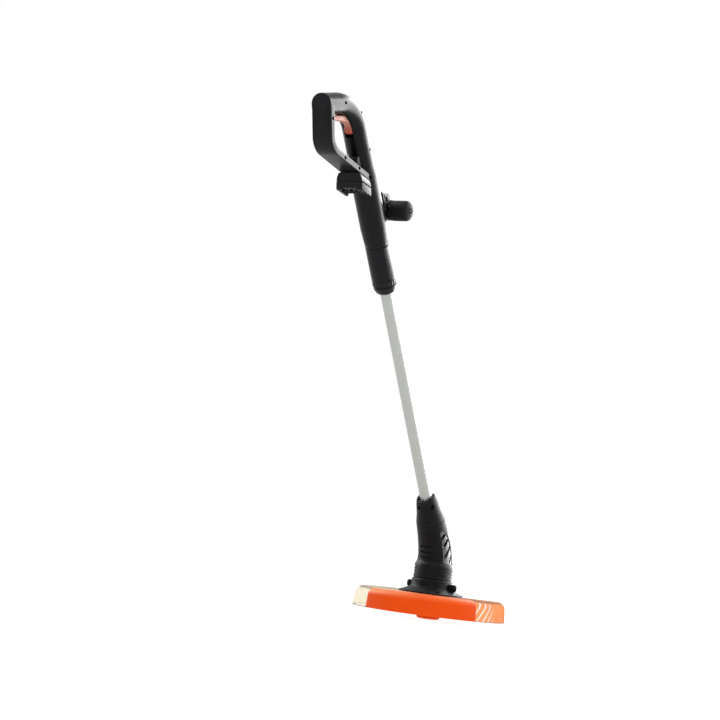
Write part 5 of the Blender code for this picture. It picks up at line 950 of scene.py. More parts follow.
def make_aux_bracket():
    """Saddle on the housing's front with two windowed, toothed ears for the pivot bolt."""
    front, height = aux_pivot()
    inner = BULGE_RADIUS + GAP
    outer = inner + AUX_SADDLE_THICKNESS
    ends = (math.pi / 2.0 - AUX_SADDLE_SPREAD, math.pi / 2.0 + AUX_SADDLE_SPREAD)
    outline = arc_points((0.0, 0.0), outer, *ends, 36) + arc_points((0.0, 0.0), inner, *ends[::-1], 36)
    saddle = top_prism(
        "aux_bracket", outline, height - AUX_SADDLE_LENGTH * 0.45, height + AUX_SADDLE_LENGTH * 0.55,
        SHAFT_SPACE,
    )
    round_edges(saddle, 0.0008, 3, 50.0)
    rim = []
    for step in range(AUX_EAR_STEPS + 1):
        angle = math.radians(-62.0 + 124.0 * step / AUX_EAR_STEPS)
        radius = AUX_EAR_RADIUS - AUX_EAR_NOTCH * (step % 6 in (2, 3, 4))
        rim.append((front + radius * math.cos(angle), height + radius * math.sin(angle)))
    rim += [(outer - 0.0060, height + 0.0165), (outer - 0.0060, height - 0.0130)]
    window = softened_outline(
        (
            (front - AUX_EAR_RADIUS * 0.50, height + 0.0062), (outer + 0.0012, height + 0.0128),
            (outer + 0.0012, height + 0.0016),
        ),
        0.0012,
    )
    for side in (-1.0, 1.0):
        near = side * (AUX_HUB_HALF_WIDTH + GAP)
        far = side * (AUX_HUB_HALF_WIDTH + GAP + AUX_EAR_THICKNESS)
        ear = side_prism("ear", rim, near, far)
        cut(ear, side_prism("hollow", window, near + side * 0.0016, far + side * 0.001))
        join(saddle, ear)
    trim = turned("trim", stepped(height - 0.05, (inner, height + 0.05)), 144, SHAFT_SPACE)
    return cut(saddle, trim, cross_rod("hole", (front, height), 0.03, AUX_BOLT_RADIUS + GAP))


def make_aux_bolt():
    """Bolt with a low button head on the right and a nut on the left."""
    face = AUX_HUB_HALF_WIDTH + GAP + AUX_EAR_THICKNESS + GAP
    outline = (
        (0.0, -face - 0.0050), (AUX_BOLT_RADIUS, -face - 0.0050), (AUX_BOLT_RADIUS, face),
        (AUX_BOLT_RADIUS * 1.45, face), (AUX_BOLT_RADIUS * 1.40, face + 0.0008),
        (AUX_BOLT_RADIUS * 1.00, face + 0.0016), (0.0, face + 0.0018),
    )
    space = across_space(*aux_pivot())
    bolt = turned("aux_bolt", softened_outline(outline, 0.0003, 3, True), 48, space)
    cut(bolt, turned("socket", stepped(face + 0.0004, (0.0016, face + 0.004)), 6, space))
    nut = (
        (AUX_BOLT_RADIUS * 0.8, -face - 0.0040), (AUX_BOLT_RADIUS * 1.7, -face - 0.0040),
        (AUX_BOLT_RADIUS * 1.8, -face - 0.0036), (AUX_BOLT_RADIUS * 1.8, -face),
        (AUX_BOLT_RADIUS * 0.8, -face),
    )
    return join(bolt, turned("nut", nut, 6, space))


def aux_axes():
    """The bolt's place, the grip's place and the arm's two directions, in the side view."""
    pivot = Vector(aux_pivot())
    grip = Vector(aux_grip_centre())
    along = (grip - pivot).normalized()
    return pivot, grip, along, Vector((-along.y, along.x))


def stem_flare():
    """Arm that spreads from the hub into the cross grip on both sides."""
    pivot, _, along, across = aux_axes()
    rings = []
    for reach, half_x, half_t in FLARE_STATIONS:
        ring = []
        for angle in circle(72):
            x = half_x * squarer(math.cos(angle), FLARE_POWER)
            t = half_t * squarer(math.sin(angle), FLARE_POWER)
            ring.append((x, *(pivot + along * reach + across * t)))
        rings.append(ring)
    return lofted("flare", rings, SHAFT_SPACE)


def make_label_pad():
    """Bare smooth pad on the sleeve's right side with a fine raised rim."""
    low = SLEEVE_FOOT + 0.0022
    high = SLEEVE_FOOT + SLEEVE_LENGTH - 0.0030
    start = math.radians(62.0)
    end = math.radians(118.0)
    count = 48
    rings = []
    for index in range(count + 1):
        bearing = start + (end - start) * index / count
        reach = min(bearing - start, end - bearing) * BARREL_RADIUS
        rim = PAD_RAISED if reach > 1e-6 else 0.0
        field = PAD_RAISED if reach < PAD_EDGE else 0.00004
        section = (
            (low, -0.0004), (low, rim), (low + PAD_EDGE, PAD_RAISED), (low + PAD_EDGE * 1.3, field),
            (high - PAD_EDGE * 1.3, field), (high - PAD_EDGE, PAD_RAISED), (high, rim), (high, -0.0004),
        )
        rings.append(at_bearing([(BARREL_RADIUS + lift, height) for height, lift in section], bearing))
    return lofted("label_pad", rings, SHAFT_SPACE)


def spring_ends():
    """Lowest and highest height of the push spring's wire centre at rest."""
    low = SPOOL_FOOT + 0.0040 + SPRING_WIRE + GAP
    high = SPOOL_CASE_TOP - SPOOL_CASE_WALL - SPRING_WIRE - GAP
    return low, high


def make_spool_spring():
    """Push spring between the spool housing and the spool's floor, as one closed helix."""
    low, high = spring_ends()
    pitch = (high - low) / PUSH_SPRING_TURNS
    rings = []
    for index in range(PUSH_SPRING_TURNS * SPRING_POINTS + 1):
        angle = 2.0 * math.pi * index / SPRING_POINTS
        outward = Vector((math.cos(angle), math.sin(angle), 0.0))
        centre = outward * PUSH_SPRING_RADIUS + Vector((0.0, 0.0, pitch * index / SPRING_POINTS))
        ring = []
        for turn in circle(12):
            lift = Vector((0.0, 0.0, SPRING_WIRE * math.sin(turn)))
            ring.append(centre + (outward * SPRING_WIRE * math.cos(turn) + lift))
        rings.append(ring)
    return lofted("spool_spring", rings, Matrix.Translation((0.0, 0.0, low)))


# Handle

def trigger_pocket():
    """Space inside the bend where the trigger swings."""
    outline = handle_points(
        (0.0778, 0.2744), (0.0660, 0.2744), (0.0580, 0.2639), (0.0340, 0.2594), (0.0070, 0.2494),
        (0.0044, 0.2300), (0.0044, 0.2150), (0.0085, 0.2085), (0.0150, 0.2010), (0.0215, 0.1985),
        (0.0400, 0.1985), (0.0675, 0.2444), (0.0756, 0.2594), (0.0778, 0.2629),
    )
    return side_prism("trigger_pocket", outline, -POCKET_HALF_WIDTH, POCKET_HALF_WIDTH)


def switch_room():
    """Cutters for the trigger switch in the bend's straight arm and for its plunger."""
    along = Vector((-math.sin(BEND_ANGLE), math.cos(BEND_ANGLE)))
    out = Vector((math.cos(BEND_ANGLE), math.sin(BEND_ANGLE)))
    on_line = Vector(bend_station(BEND_RADIUS * BEND_ANGLE + SWITCH_ALONG_ARM)[0])
    centre = on_line - out * SWITCH_DROP
    half_length = SWITCH_LENGTH / 2.0 + GAP
    half_height = SWITCH_HEIGHT / 2.0 + GAP
    corners = ((-1.0, -1.0), (1.0, -1.0), (1.0, 1.0), (-1.0, 1.0))
    outline = [tuple(centre + along * half_length * a + out * half_height * b) for a, b in corners]
    nook = side_prism("switch_nook", outline, -SWITCH_HALF_WIDTH - GAP, SWITCH_HALF_WIDTH + GAP)
    root = centre - out * (SWITCH_HEIGHT / 2.0 - 0.0012)
    tip = centre - out * (SWITCH_HEIGHT / 2.0 + PLUNGER_REACH + 0.0040)
    hole = rod("plunger", (0.0, *root), (0.0, *tip), PLUNGER_RADIUS + GAP, SMALL_SIDES, SHAFT_SPACE)
    return nook, hole


def handle_screw_holes():
    """Cutters for the housing screws: head well on the right side and shank hole."""
    outline = stepped(
        -SCREW_REACH - GAP, (SCREW_SHANK_RADIUS + GAP, SCREW_SEAT - GAP),
        (SCREW_HEAD_RADIUS + GAP, 0.030),
    )
    spaces = [across_space(*on_handle(back, up)) for up, back in HOUSING_SCREWS]
    return [turned("screw_hole", outline, SMALL_SIDES, space) for space in spaces]


def across_space(front, height):
    """A space whose Z axis runs along X through a point of the shaft's side view."""
    place = Matrix.Translation((0.0, front, height))
    return SHAFT_SPACE @ place @ Matrix.Rotation(math.pi / 2.0, 4, "Y")


def sleeve_screw_solid(clear):
    """The short screw that ties the housing to the sleeve's spigot, or its hole."""
    outline = stepped(
        SLEEVE_BORE + 0.0012 - clear, (SCREW_SHANK_RADIUS + clear, BARREL_RADIUS - 0.0030 - clear),
        (SCREW_HEAD_RADIUS + clear, 0.030 if clear else BARREL_RADIUS - 0.0014),
    )
    return turned("sleeve_screw", outline, SMALL_SIDES, across_space(*on_handle(-0.0046, 0.0052)))


def split_in_halves(whole, left_name, right_name, space):
    """Cuts a shell along its middle plane into a left and a right half."""
    right = copy_of(whole, right_name)
    left = renamed(whole, left_name)
    reach = 0.6
    half_gap = SPLIT_GAP / 2.0
    keep(left, block("left_half", (-reach, -reach, -reach), (-half_gap, reach, 1.0), space))
    keep(right, block("right_half", (half_gap, -reach, -reach), (reach, reach, 1.0), space))
    return left, right


def make_housing():
    """The two halves of the handle's housing."""
    body = handle_body()
    join(body, strap_body(), gusset_body(), foot_shell())
    well = stepped(
        HOUSING_FOOT - 0.010, (SLEEVE_SPIGOT_RADIUS + GAP, HOUSING_FOOT + SLEEVE_SPIGOT + GAP),
        (TUBE_WELL_RADIUS, TUBE_WELL_TOP),
    )
    cut(body, turned("tube_well", well, ROUND_SIDES, SHAFT_SPACE), trigger_pocket(), *switch_room())
    pin_hole = cross_rod(
        "pin_hole", trigger_pivot(), POCKET_HALF_WIDTH + 0.0040 + GAP, TRIGGER_PIN_RADIUS + GAP / 2.0,
        SMALL_SIDES,
    )
    button = on_handle(-0.003, LOCK_BUTTON_UP)
    floor = BARREL_TOP_RADIUS + LOCK_BUTTON_PROUD - LOCK_BUTTON_LENGTH - LOCK_BUTTON_TRAVEL - 0.0006
    button_hole = rod(
        "button_hole", (-0.030, *button), (-floor, *button), LOCK_BUTTON_RADIUS + RUNNING_GAP, 24,
        SHAFT_SPACE,
    )
    cut(body, pin_hole, button_hole, *handle_screw_holes(), sleeve_screw_solid(GAP))
    return split_in_halves(body, "housing_left", "housing_right", SHAFT_SPACE)


def make_housing_screws():
    """Seven long screws across the housing and the short one at the sleeve."""
    sleeve_screw = renamed(sleeve_screw_solid(0.0), "sleeve_screw")
    spaces = [across_space(*on_handle(back, up)) for up, back in HOUSING_SCREWS]
    screws = [screw_solid(space, SCREW_SEAT, SCREW_SEAT + SCREW_REACH) for space in spaces]
    return [sleeve_screw, *numbered("housing_screw", screws)]


def renamed(item, name):
    """Names an object and its mesh."""
    item.name = name
    item.data.name = name
    return item


def numbered(name, items):
    """Names pieces of a kind by their number, from one."""
    return [renamed(item, f"{name}_{number}") for number, item in enumerate(items, 1)]


def make_terminal_block():
    """Grid of walls round the battery contacts, hung from the socket's ceiling."""
    space = foot_space()
    start = SOCKET_END_WALL + TERMINAL_SETBACK
    end = start + TERMINAL_LENGTH
    top = SOCKET_DEPTH - GAP
    low = TERMINAL_LIFT
    half = TERMINAL_HALF_WIDTH
    grid = block("terminal_block", (-half, start, low), (half, end, top), space)
    slots = []
    for index in range(TERMINAL_SLOTS):
        centre = (index - (TERMINAL_SLOTS - 1) / 2.0) * (half * 2.0 / TERMINAL_SLOTS)
        slot = block(
            "slot", (centre - TERMINAL_CELL / 2.0, start - 0.001, low - 0.001),
            (centre + TERMINAL_CELL / 2.0, end - 0.0020, top - TERMINAL_ROOF), space,
        )
        slots.append(slot)
    cut(grid, *slots)
    middle = (start + end) / 2.0
    bar = block(
        "bar", (-half + 0.0005, middle - 0.0008, low),
        (half - 0.0005, middle + 0.0008, low + TERMINAL_BAR), space,
    )
    return join(grid, bar)


def make_lock_button():
    """Round lock-off button on the left side of the barrel."""
    face = BARREL_TOP_RADIUS + LOCK_BUTTON_PROUD
    outline = (
        (0.0, face - LOCK_BUTTON_LENGTH), (LOCK_BUTTON_RADIUS, face - LOCK_BUTTON_LENGTH),
        (LOCK_BUTTON_RADIUS, face - 0.0008), (LOCK_BUTTON_RADIUS - 0.0008, face), (0.0, face - 0.0005),
    )
    turn = across_space(*on_handle(-0.003, LOCK_BUTTON_UP)) @ Matrix.Rotation(math.pi, 4, "Y")
    return turned("lock_button", outline, 24, turn)


# Auxiliary handle

def aux_grip_centre():
    """Middle of the cross grip, as (front, up)."""
    front, height = aux_pivot()
    return (
        front + AUX_ARM_LENGTH * math.sin(AUX_ARM_ANGLE),
        height - AUX_ARM_LENGTH * math.cos(AUX_ARM_ANGLE),
    )


def make_aux_stem():
    """T-shaped core: toothed hub, waisted arm and the bar inside the grips."""
    pivot, grip, along, across = aux_axes()
    hub_space = across_space(*aux_pivot())
    bar_space = across_space(*grip)
    sides = AUX_TEETH * 3
    hub_outline = stepped(-AUX_HUB_HALF_WIDTH, (AUX_HUB_RADIUS, AUX_HUB_HALF_WIDTH))
    hub = turned("aux_stem", hub_outline, sides, hub_space)
    for vert in hub.data.vertices:
        radius = math.hypot(vert.co.x, vert.co.y)
        number = round(math.atan2(vert.co.y, vert.co.x) * sides / (2.0 * math.pi)) % 3
        if radius > AUX_HUB_RADIUS * 0.9 and number == 1:
            share = (AUX_HUB_RADIUS - AUX_TOOTH_DEPTH) / radius
            vert.co.x *= share
            vert.co.y *= share
    reach = AUX_ARM_LENGTH
    half = AUX_HUB_RADIUS - AUX_TOOTH_DEPTH - 0.0006
    profile = (
        (0.0, half), (reach * 0.30, half * 0.80), (reach * 0.60, half * 1.05),
        (reach * 0.85, half * 1.75), (reach, half * 2.0),
    )
    outline = [tuple(pivot + along * d + across * w) for d, w in profile]
    outline += [tuple(pivot + along * d - across * w) for d, w in reversed(profile)]
    arm = side_prism("arm", outline, -AUX_HUB_HALF_WIDTH + 0.0006, AUX_HUB_HALF_WIDTH - 0.0006)
    inner = AUX_GRIP_HALF_LENGTH - 0.0060
    boss = AUX_BOSS_HALF_WIDTH
    bar_outline = (
        (0.0, -inner), (AUX_CORE_RADIUS, -inner), (AUX_CORE_RADIUS, -boss),
        (AUX_GRIP_RADIUS - 0.0012, -boss), (AUX_GRIP_RADIUS - 0.0004, -boss + 0.0015),
        (AUX_GRIP_RADIUS - 0.0004, boss - 0.0015), (AUX_GRIP_RADIUS - 0.0012, boss),
        (AUX_CORE_RADIUS, boss), (AUX_CORE_RADIUS, inner), (0.0, inner),
    )
    join(hub, arm, turned("bar", bar_outline, BORE_SIDES, bar_space), stem_flare())
    bolt_hole = stepped(-0.02, (AUX_BOLT_RADIUS + RUNNING_GAP, 0.02))
    through_hole = stepped(-inner - 0.01, (SCREW_SHANK_RADIUS + GAP, inner + 0.01))
    return cut(
        hub, turned("bolt_hole", bolt_hole, BORE_SIDES, hub_space, 0.1),
        turned("through_hole", through_hole, SMALL_SIDES, bar_space),
    )


def make_aux_grip(name, side):
    """Soft sleeve on one side of the cross bar with a domed end round the bolt."""
    turn = Matrix.Rotation(0.0 if side > 0.0 else math.pi, 4, "Y")
    start = AUX_BOSS_HALF_WIDTH + GAP
    end = AUX_GRIP_HALF_LENGTH
    bore = AUX_CORE_RADIUS + GAP
    floor = end - 0.0060 + GAP
    outline = [(bore, start), (AUX_GRIP_RADIUS - 0.0008, start), (AUX_GRIP_RADIUS, start + 0.0010)]
    for step in range(5):
        angle = math.radians(18.0) * step
        across = AUX_GRIP_RADIUS * math.cos(angle) ** AUX_GRIP_FULLNESS
        along = AUX_GRIP_DOME * math.sin(angle) ** AUX_GRIP_FULLNESS
        outline.append((across, end - AUX_GRIP_DOME + along))
    outline += [
        (SCREW_HEAD_RADIUS + 0.0022, end), (SCREW_HEAD_RADIUS + 0.0012, end - 0.0006),
        (SCREW_HEAD_RADIUS + GAP, end - 0.0030), (SCREW_SHANK_RADIUS + GAP, end - 0.0030),
        (SCREW_SHANK_RADIUS + GAP, floor), (bore, floor),
    ]
    return turned(name, outline, BORE_SIDES, across_space(*aux_grip_centre()) @ turn)


def make_grip_bolt():
    """Long bolt through the cross bar, with its head on the right and a nut on the left."""
    seat = AUX_GRIP_HALF_LENGTH - 0.0030 + GAP
    outline = (
        (0.0, -seat - 0.0020), (SCREW_SHANK_RADIUS, -seat - 0.0020),
        (SCREW_HEAD_RADIUS, -seat - 0.0018), (SCREW_HEAD_RADIUS, -seat), (SCREW_SHANK_RADIUS, -seat),
        (SCREW_SHANK_RADIUS, seat), (SCREW_HEAD_RADIUS, seat), (SCREW_HEAD_RADIUS, seat + 0.0014),
        (SCREW_HEAD_RADIUS * 0.7, seat + 0.0022), (0.0, seat + 0.0022),
    )
    return turned("grip_bolt", outline, SMALL_SIDES, across_space(*aux_grip_centre()))


# Tube and neck

def make_shaft_tube():
    """Plain drawn tube."""
    outline = stepped(TUBE_FOOT, (TUBE_RADIUS, TUBE_TOP), bore=TUBE_RADIUS - TUBE_WALL)
    return turned("shaft_tube", outline, ROUND_SIDES, SHAFT_SPACE)


def neck_screw_space(bearing):
    """A space whose Z axis points out of the neck at a bearing from the rear."""
    height = NECK_TOP - NECK_SCREW_DROP
    turn = Matrix.Rotation(bearing, 4, "Z") @ Matrix.Rotation(math.pi / 2.0, 4, "X")
    return SHAFT_SPACE @ Matrix.Translation((0.0, 0.0, height)) @ turn


def make_neck_screws():
    """Two screws in the neck's sunk wells."""
    seat = NECK_TOP_RADIUS - NECK_WELL_DEPTH + GAP
    length = seat - TUBE_RADIUS - 0.0011
    screws = [screw_solid(neck_screw_space(bearing), seat, length) for bearing in NECK_SCREW_ANGLES]
    return numbered("neck_screw", screws)


# Motor head

def head_station(share):
    """Centre (y, z) and lean of the head's centre line from its foot to the neck seam."""
    low = Vector((0.0, HEAD_FOOT + HEAD_BAND_HEIGHT))
    seam = Vector((-math.sin(SHAFT_TILT) * NECK_SEAM, CORNER_HEIGHT + math.cos(SHAFT_TILT) * NECK_SEAM))
    uphill = Vector((-math.sin(SHAFT_TILT), math.cos(SHAFT_TILT)))
    first = low + Vector((0.0, 0.026))
    second = seam - uphill * 0.030
    rest = 1.0 - share
    point = (
        low * rest**3 + first * 3.0 * rest**2 * share + second * 3.0 * rest * share**2 + seam * share**3
    )
    tangent = (
        (first - low) * rest**2 + (second - first) * 2.0 * rest * share + (seam - second) * share**2
    )
    return point, math.atan2(-tangent.x, tangent.y)


def head_ring(share, radius, count=HEAD_SIDES, pinch=0.0):
    """A round section across the head's centre line, drawn in at both sides by a pinch."""
    centre, lean = head_station(share)
    ring = []
    for angle in circle(count):
        across = (radius - pinch) * math.cos(angle)
        along = radius * math.sin(angle)
        ring.append((across, centre.x + along * math.cos(lean), centre.y + along * math.sin(lean)))
    return ring


def flat_ring(radius, height, count=HEAD_SIDES):
    """A level round section on the motor's axis."""
    return [(radius * math.cos(angle), radius * math.sin(angle), height) for angle in circle(count)]


def head_radius(share):
    """Radius of the head's shell along its centre line."""
    return HEAD_WAIST_RADIUS + (NECK_SEAM_RADIUS - HEAD_WAIST_RADIUS) * share ** 1.2


def head_form(name, inset):
    """The head's outer form with all its radii reduced by an inset."""
    band = HEAD_FOOT + HEAD_BAND_HEIGHT
    rings = []
    for radius, height in (
        (HEAD_RADIUS - 0.0012, HEAD_FOOT), (HEAD_RADIUS, HEAD_FOOT + 0.0014),
        (HEAD_RADIUS, band - 0.0050), (HEAD_RADIUS - 0.0005, band - 0.0020),
    ):
        rings.append(flat_ring(radius - inset, height))
    for share, swell in HEAD_STATIONS:
        rings.append(head_ring(share, head_radius(share) + swell - inset))
    rings.append(head_ring(0.985, NECK_SEAM_RADIUS - inset))
    rings.append(head_ring(1.0, NECK_SEAM_RADIUS - 0.0010 - inset))
    return lofted(name, rings)


def make_motor_housing():
    """Two halves of the motor's shell, with vents, side windows and a spigot."""
    band = HEAD_FOOT + HEAD_BAND_HEIGHT
    shell = head_form("motor_housing", 0.0)
    spigot_top = NECK_SEAM + SPIGOT_HEIGHT
    spigot = (
        (0.0, NECK_SEAM - 0.004), (SPIGOT_RADIUS, NECK_SEAM - 0.004),
        (SPIGOT_RADIUS, spigot_top - 0.001), (SPIGOT_RADIUS - 0.001, spigot_top), (0.0, spigot_top),
    )
    join(shell, turned("spigot", spigot, ROUND_SIDES, SHAFT_SPACE))
    shelf = HEAD_FOOT + FAN_CHAMBER_HEIGHT + 0.004
    inside = []
    for height in (shelf + 0.003, band - 0.003):
        inside.append(flat_ring(HEAD_RADIUS - HEAD_WALL, height, BORE_SIDES))
    pinch = WINDOW_DEPTH + WINDOW_FLOOR - HEAD_WALL
    for share in (0.06, 0.25, 0.45, 0.62, 0.78):
        inside.append(head_ring(share, head_radius(share) - HEAD_WALL, BORE_SIDES, pinch))
    chamber = stepped(HEAD_FOOT - 0.002, (FAN_RADIUS + 0.0025, shelf))
    duct = stepped(NECK_SEAM - 0.030, (0.0060, spigot_top + 0.002))
    cut(
        shell, lofted("inside", inside), turned("chamber", chamber, ROUND_SIDES),
        rod("shelf_hole", (0.0, 0.0, shelf - 0.001), (0.0, 0.0, shelf + 0.005), 0.0095, 20),
        turned("duct", duct, SMALL_SIDES, SHAFT_SPACE, 0.1),
    )
    cutters = []
    half = VENT_WIDTH / 2.0
    for number in range(VENT_SLOTS):
        height = CORNER_HEIGHT + 0.0018 - VENT_SPACING * number
        low = (-half, -0.060, height - VENT_HEIGHT / 2.0)
        cutters.append(block("vent", low, (half, -0.016, height + VENT_HEIGHT / 2.0)))
    for side in (-1.0, 1.0):
        recess = window_prism("recess", side, 0.0)
        cutters.append(cut(recess, head_form("floor", WINDOW_DEPTH)))
        cutters.append(window_prism("window", side, -0.0030))
        for rib in range(GRIP_RIBS):
            cutters.append(rib_groove(side, HEAD_FOOT + 0.0090 + GRIP_RIB_SPACING * rib))
    cut(shell, *cutters, *head_screw_cutters())
    join(shell, dust_screen())
    return split_in_halves(shell, "motor_housing_left", "motor_housing_right", WORLD_SPACE)


def window_outline(grow):
    """Side outline of the louvred window as (y, z), grown by a margin."""
    centre = Vector((-0.0110, 0.1300))
    grown = []
    for point in (
        (-0.0150, 0.1030), (-0.0175, 0.1180), (-0.0250, 0.1400), (-0.0340, 0.1560), (-0.0300, 0.1620),
        (-0.0180, 0.1590), (-0.0020, 0.1450), (0.0110, 0.1250), (0.0155, 0.1080), (0.0120, 0.1020),
    ):
        spoke = Vector(point) - centre
        grown.append(tuple(centre + spoke * (1.0 + grow / spoke.length)))
    return grown


def window_prism(name, side, grow):
    """A bar with the window's outline, from inside the shell to beyond one of its sides."""
    near = side * HEAD_RADIUS * 0.35
    return side_prism(name, window_outline(grow), near, side * HEAD_RADIUS * 1.6, WORLD_SPACE)


def rib_groove(side, height):
    """A shallow level groove between the grip ribs on one side of the head."""
    outline = (
        (HEAD_RADIUS - GRIP_RIB_DEPTH, height - 0.0009), (HEAD_RADIUS + 0.003, height - 0.0019),
        (HEAD_RADIUS + 0.003, height + 0.0019), (HEAD_RADIUS - GRIP_RIB_DEPTH, height + 0.0009),
    )
    middle = math.pi / 2.0 * side
    half = math.radians(45.0)
    return swept_sector("groove", outline, middle - half, middle + half, math.radians(9.0))


def head_screw_cutters():
    """Wells for the screws that tie the head's halves together."""
    well = stepped(-0.0070 - GAP, (0.0012 + GAP, 0.0040 - GAP), (0.0022 + GAP, 0.040))
    return [turned("well", well, 12, head_screw_space(*place)) for place in HEAD_SCREWS]


def make_head_screws():
    """Screws that tie the head's halves together."""
    outline = (
        (0.0, -0.0070), (0.0012, -0.0070), (0.0012, 0.0040), (0.0022, 0.0040), (0.0022, 0.0054),
        (0.0015, 0.0060), (0.0, 0.0060),
    )
    screws = [turned("screw", outline, 12, head_screw_space(*place)) for place in HEAD_SCREWS]
    return numbered("head_screw", screws)


# Guard

def make_guard_ring():
    """Ring under the head with its flange, lugs and bearing web."""
    foot = RING_FOOT
    top = HEAD_FOOT - GAP
    bore = SPINDLE_RADIUS + 0.0022
    seat_radius = BEARING_RADIUS + GAP
    bearing_seat = foot + 0.0045 - GAP
    outline = [
        (bore, foot + 0.0030), *about(RING_RADIUS, foot, (-0.0080, 0.0030), (-0.0080, 0.0)),
        *about(FLANGE_RADIUS, foot, (0.0, 0.0), (0.0, FLANGE_EDGE), (-0.0085, 0.0052)),
        *about(RING_RADIUS, foot, (0.0060, 0.0088), (0.0012, 0.0112), (0.0, 0.0140)),
        *about(RING_RADIUS, top, (0.0, -0.0010), (-0.0010, 0.0), (-0.0050, 0.0)),
        (RING_RADIUS - 0.0050, foot + 0.0120), (seat_radius, foot + 0.0120),
        (seat_radius, bearing_seat), (bore, bearing_seat),
    ]
    ring = turned("guard_ring", outline, HEAD_SIDES)
    low = foot + 0.0104
    lug_top = low + LUG_HEIGHT
    lug_outline = (
        (RING_RADIUS - 0.0030, low - 0.0050), (LUG_REACH - 0.0060, low - 0.0040), (LUG_REACH, low),
        *about(LUG_REACH, lug_top, (0.0, -0.0030), (-0.0030, 0.0)), (RING_RADIUS - 0.0030, lug_top),
    )
    for side in (-1.0, 1.0):
        section = [(side * across, height) for across, height in lug_outline]
        lug = front_prism("lug", section, -LUG_HALF_WIDTH, LUG_HALF_WIDTH)
        if side > 0.0:
            slot = block(
                "slot", (RING_RADIUS + 0.0040, -LUG_SLOT / 2.0, low - 0.010),
                (LUG_REACH + 0.005, LUG_SLOT / 2.0, low + 0.020),
            )
            cut(lug, slot)
        join(ring, round_edges(lug, 0.0008, 1, 50.0))
    mark = about(
        FLANGE_RADIUS, foot, (-0.0105, 0.0046), (-0.0055, 0.0028), (-0.0025, 0.0080), (-0.0085, 0.0100),
    )
    cut(ring, swept_sector("mark", mark, math.radians(38.0), math.radians(48.0)))
    return cut(ring, *guard_screw_cutters())


def guard_screw_spaces():
    """Places of the guard's screws, with their axes upright."""
    out = Matrix.Translation((0.0, -GUARD_SCREW_CIRCLE, 0.0))
    return [Matrix.Rotation(bearing, 4, "Z") @ out for bearing in GUARD_SCREW_ANGLES]


def guard_screw_cutters():
    """Holes for the guard's screws in the ring's flange and the guard's hub."""
    hole = stepped(GUARD_TOP - 0.010, (SCREW_SHANK_RADIUS + GAP, RING_FOOT + 0.0042))
    return [turned("hole", hole, 12, space) for space in guard_screw_spaces()]


def make_guard_screws():
    """Three screws from below through the guard's hub into the ring."""
    under = RING_FOOT - GAP - GUARD_WALL - GAP
    outline = (
        (0.0, under - 0.0020), (SCREW_HEAD_RADIUS * 0.75, under - 0.0020),
        (SCREW_HEAD_RADIUS, under - 0.0012), (SCREW_HEAD_RADIUS, under), (SCREW_SHANK_RADIUS, under),
        (SCREW_SHANK_RADIUS, RING_FOOT + 0.0030), (0.0, RING_FOOT + 0.0038),
    )
    screws = [turned("screw", outline, 12, space) for space in guard_screw_spaces()]
    return numbered("guard_screw", screws)


def guard_outline(inner_radius, outer_drop, inner_drop):
    """Section of the guard's skin between two depths under its outer surface."""
    top = RING_FOOT - GAP
    centre = (GUARD_RADIUS - GUARD_DRAFT - GUARD_SHOULDER, top - GUARD_SHOULDER)
    faces = []
    for drop in (outer_drop, inner_drop):
        face = [(inner_radius, top - drop)]
        face += arc_points(centre, GUARD_SHOULDER - drop, math.pi / 2.0, 0.0, 5)
        face += [(GUARD_RADIUS - drop - 0.0006, GUARD_RIM + 0.0040), (GUARD_RADIUS - drop, GUARD_RIM)]
        faces.append(face)
    return faces[0] + faces[1][::-1]


def make_guard_shield():
    """Opaque middle of the guard with its mounting disc."""
    hub_radius = FLANGE_RADIUS - 0.0016
    top = RING_FOOT - GAP
    floor = top - GUARD_WALL
    section = guard_outline(hub_radius - 0.006, 0.0, GUARD_WALL)
    shield = swept_sector("guard_shield", section, SHIELD_LEFT, SHIELD_RIGHT)
    hub = stepped(floor, (hub_radius, top), bore=RING_RADIUS - 0.0045)
    join(shield, turned("hub", hub, HEAD_SIDES))
    reach = GUARD_RADIUS - GUARD_SHOULDER
    rib = (
        (0.0600, floor + 0.0004), (reach, floor + 0.0004), (reach - 0.004, floor - 0.0024),
        (0.0640, floor - 0.0024),
    )
    half = math.radians(0.5)
    for degrees in (-8.0, 14.0, 36.0, 56.0):
        bearing = math.radians(degrees)
        join(shield, swept_sector("rib", rib, bearing - half, bearing + half))
    return cut(shield, *guard_screw_cutters())


def guard_wing(name, edge, end):
    """A clear side of the guard that laps under the shield's edge."""
    direction = math.copysign(1.0, end - edge)
    hub = FLANGE_RADIUS - 0.0016 + GAP
    thick = GUARD_WALL * 2.0 + GAP
    gap_angle = GAP / GUARD_RADIUS * 1.6
    lap = GUARD_LAP / GUARD_RADIUS
    joggle = math.radians(1.0)
    steep = math.radians(0.15)
    main = guard_outline(hub, 0.0, GUARD_WALL)
    joint = guard_outline(hub, 0.0, thick)
    tab = guard_outline(FLANGE_RADIUS + 0.0040, GUARD_WALL + GAP, thick)
    start = gap_angle + joggle + steep
    stations = [
        (edge - direction * lap, tab), (edge + direction * (gap_angle - steep * 0.2), tab),
        (edge + direction * gap_angle, joint), (edge + direction * (gap_angle + joggle), joint),
        (edge + direction * start, main),
    ]
    span = abs(end - edge) - start
    count = math.ceil(span / GUARD_STEP)
    for index in range(1, count + 1):
        stations.append((edge + direction * (start + span * index / count), main))
    return lofted(name, [at_bearing(outline, bearing) for bearing, outline in stations])


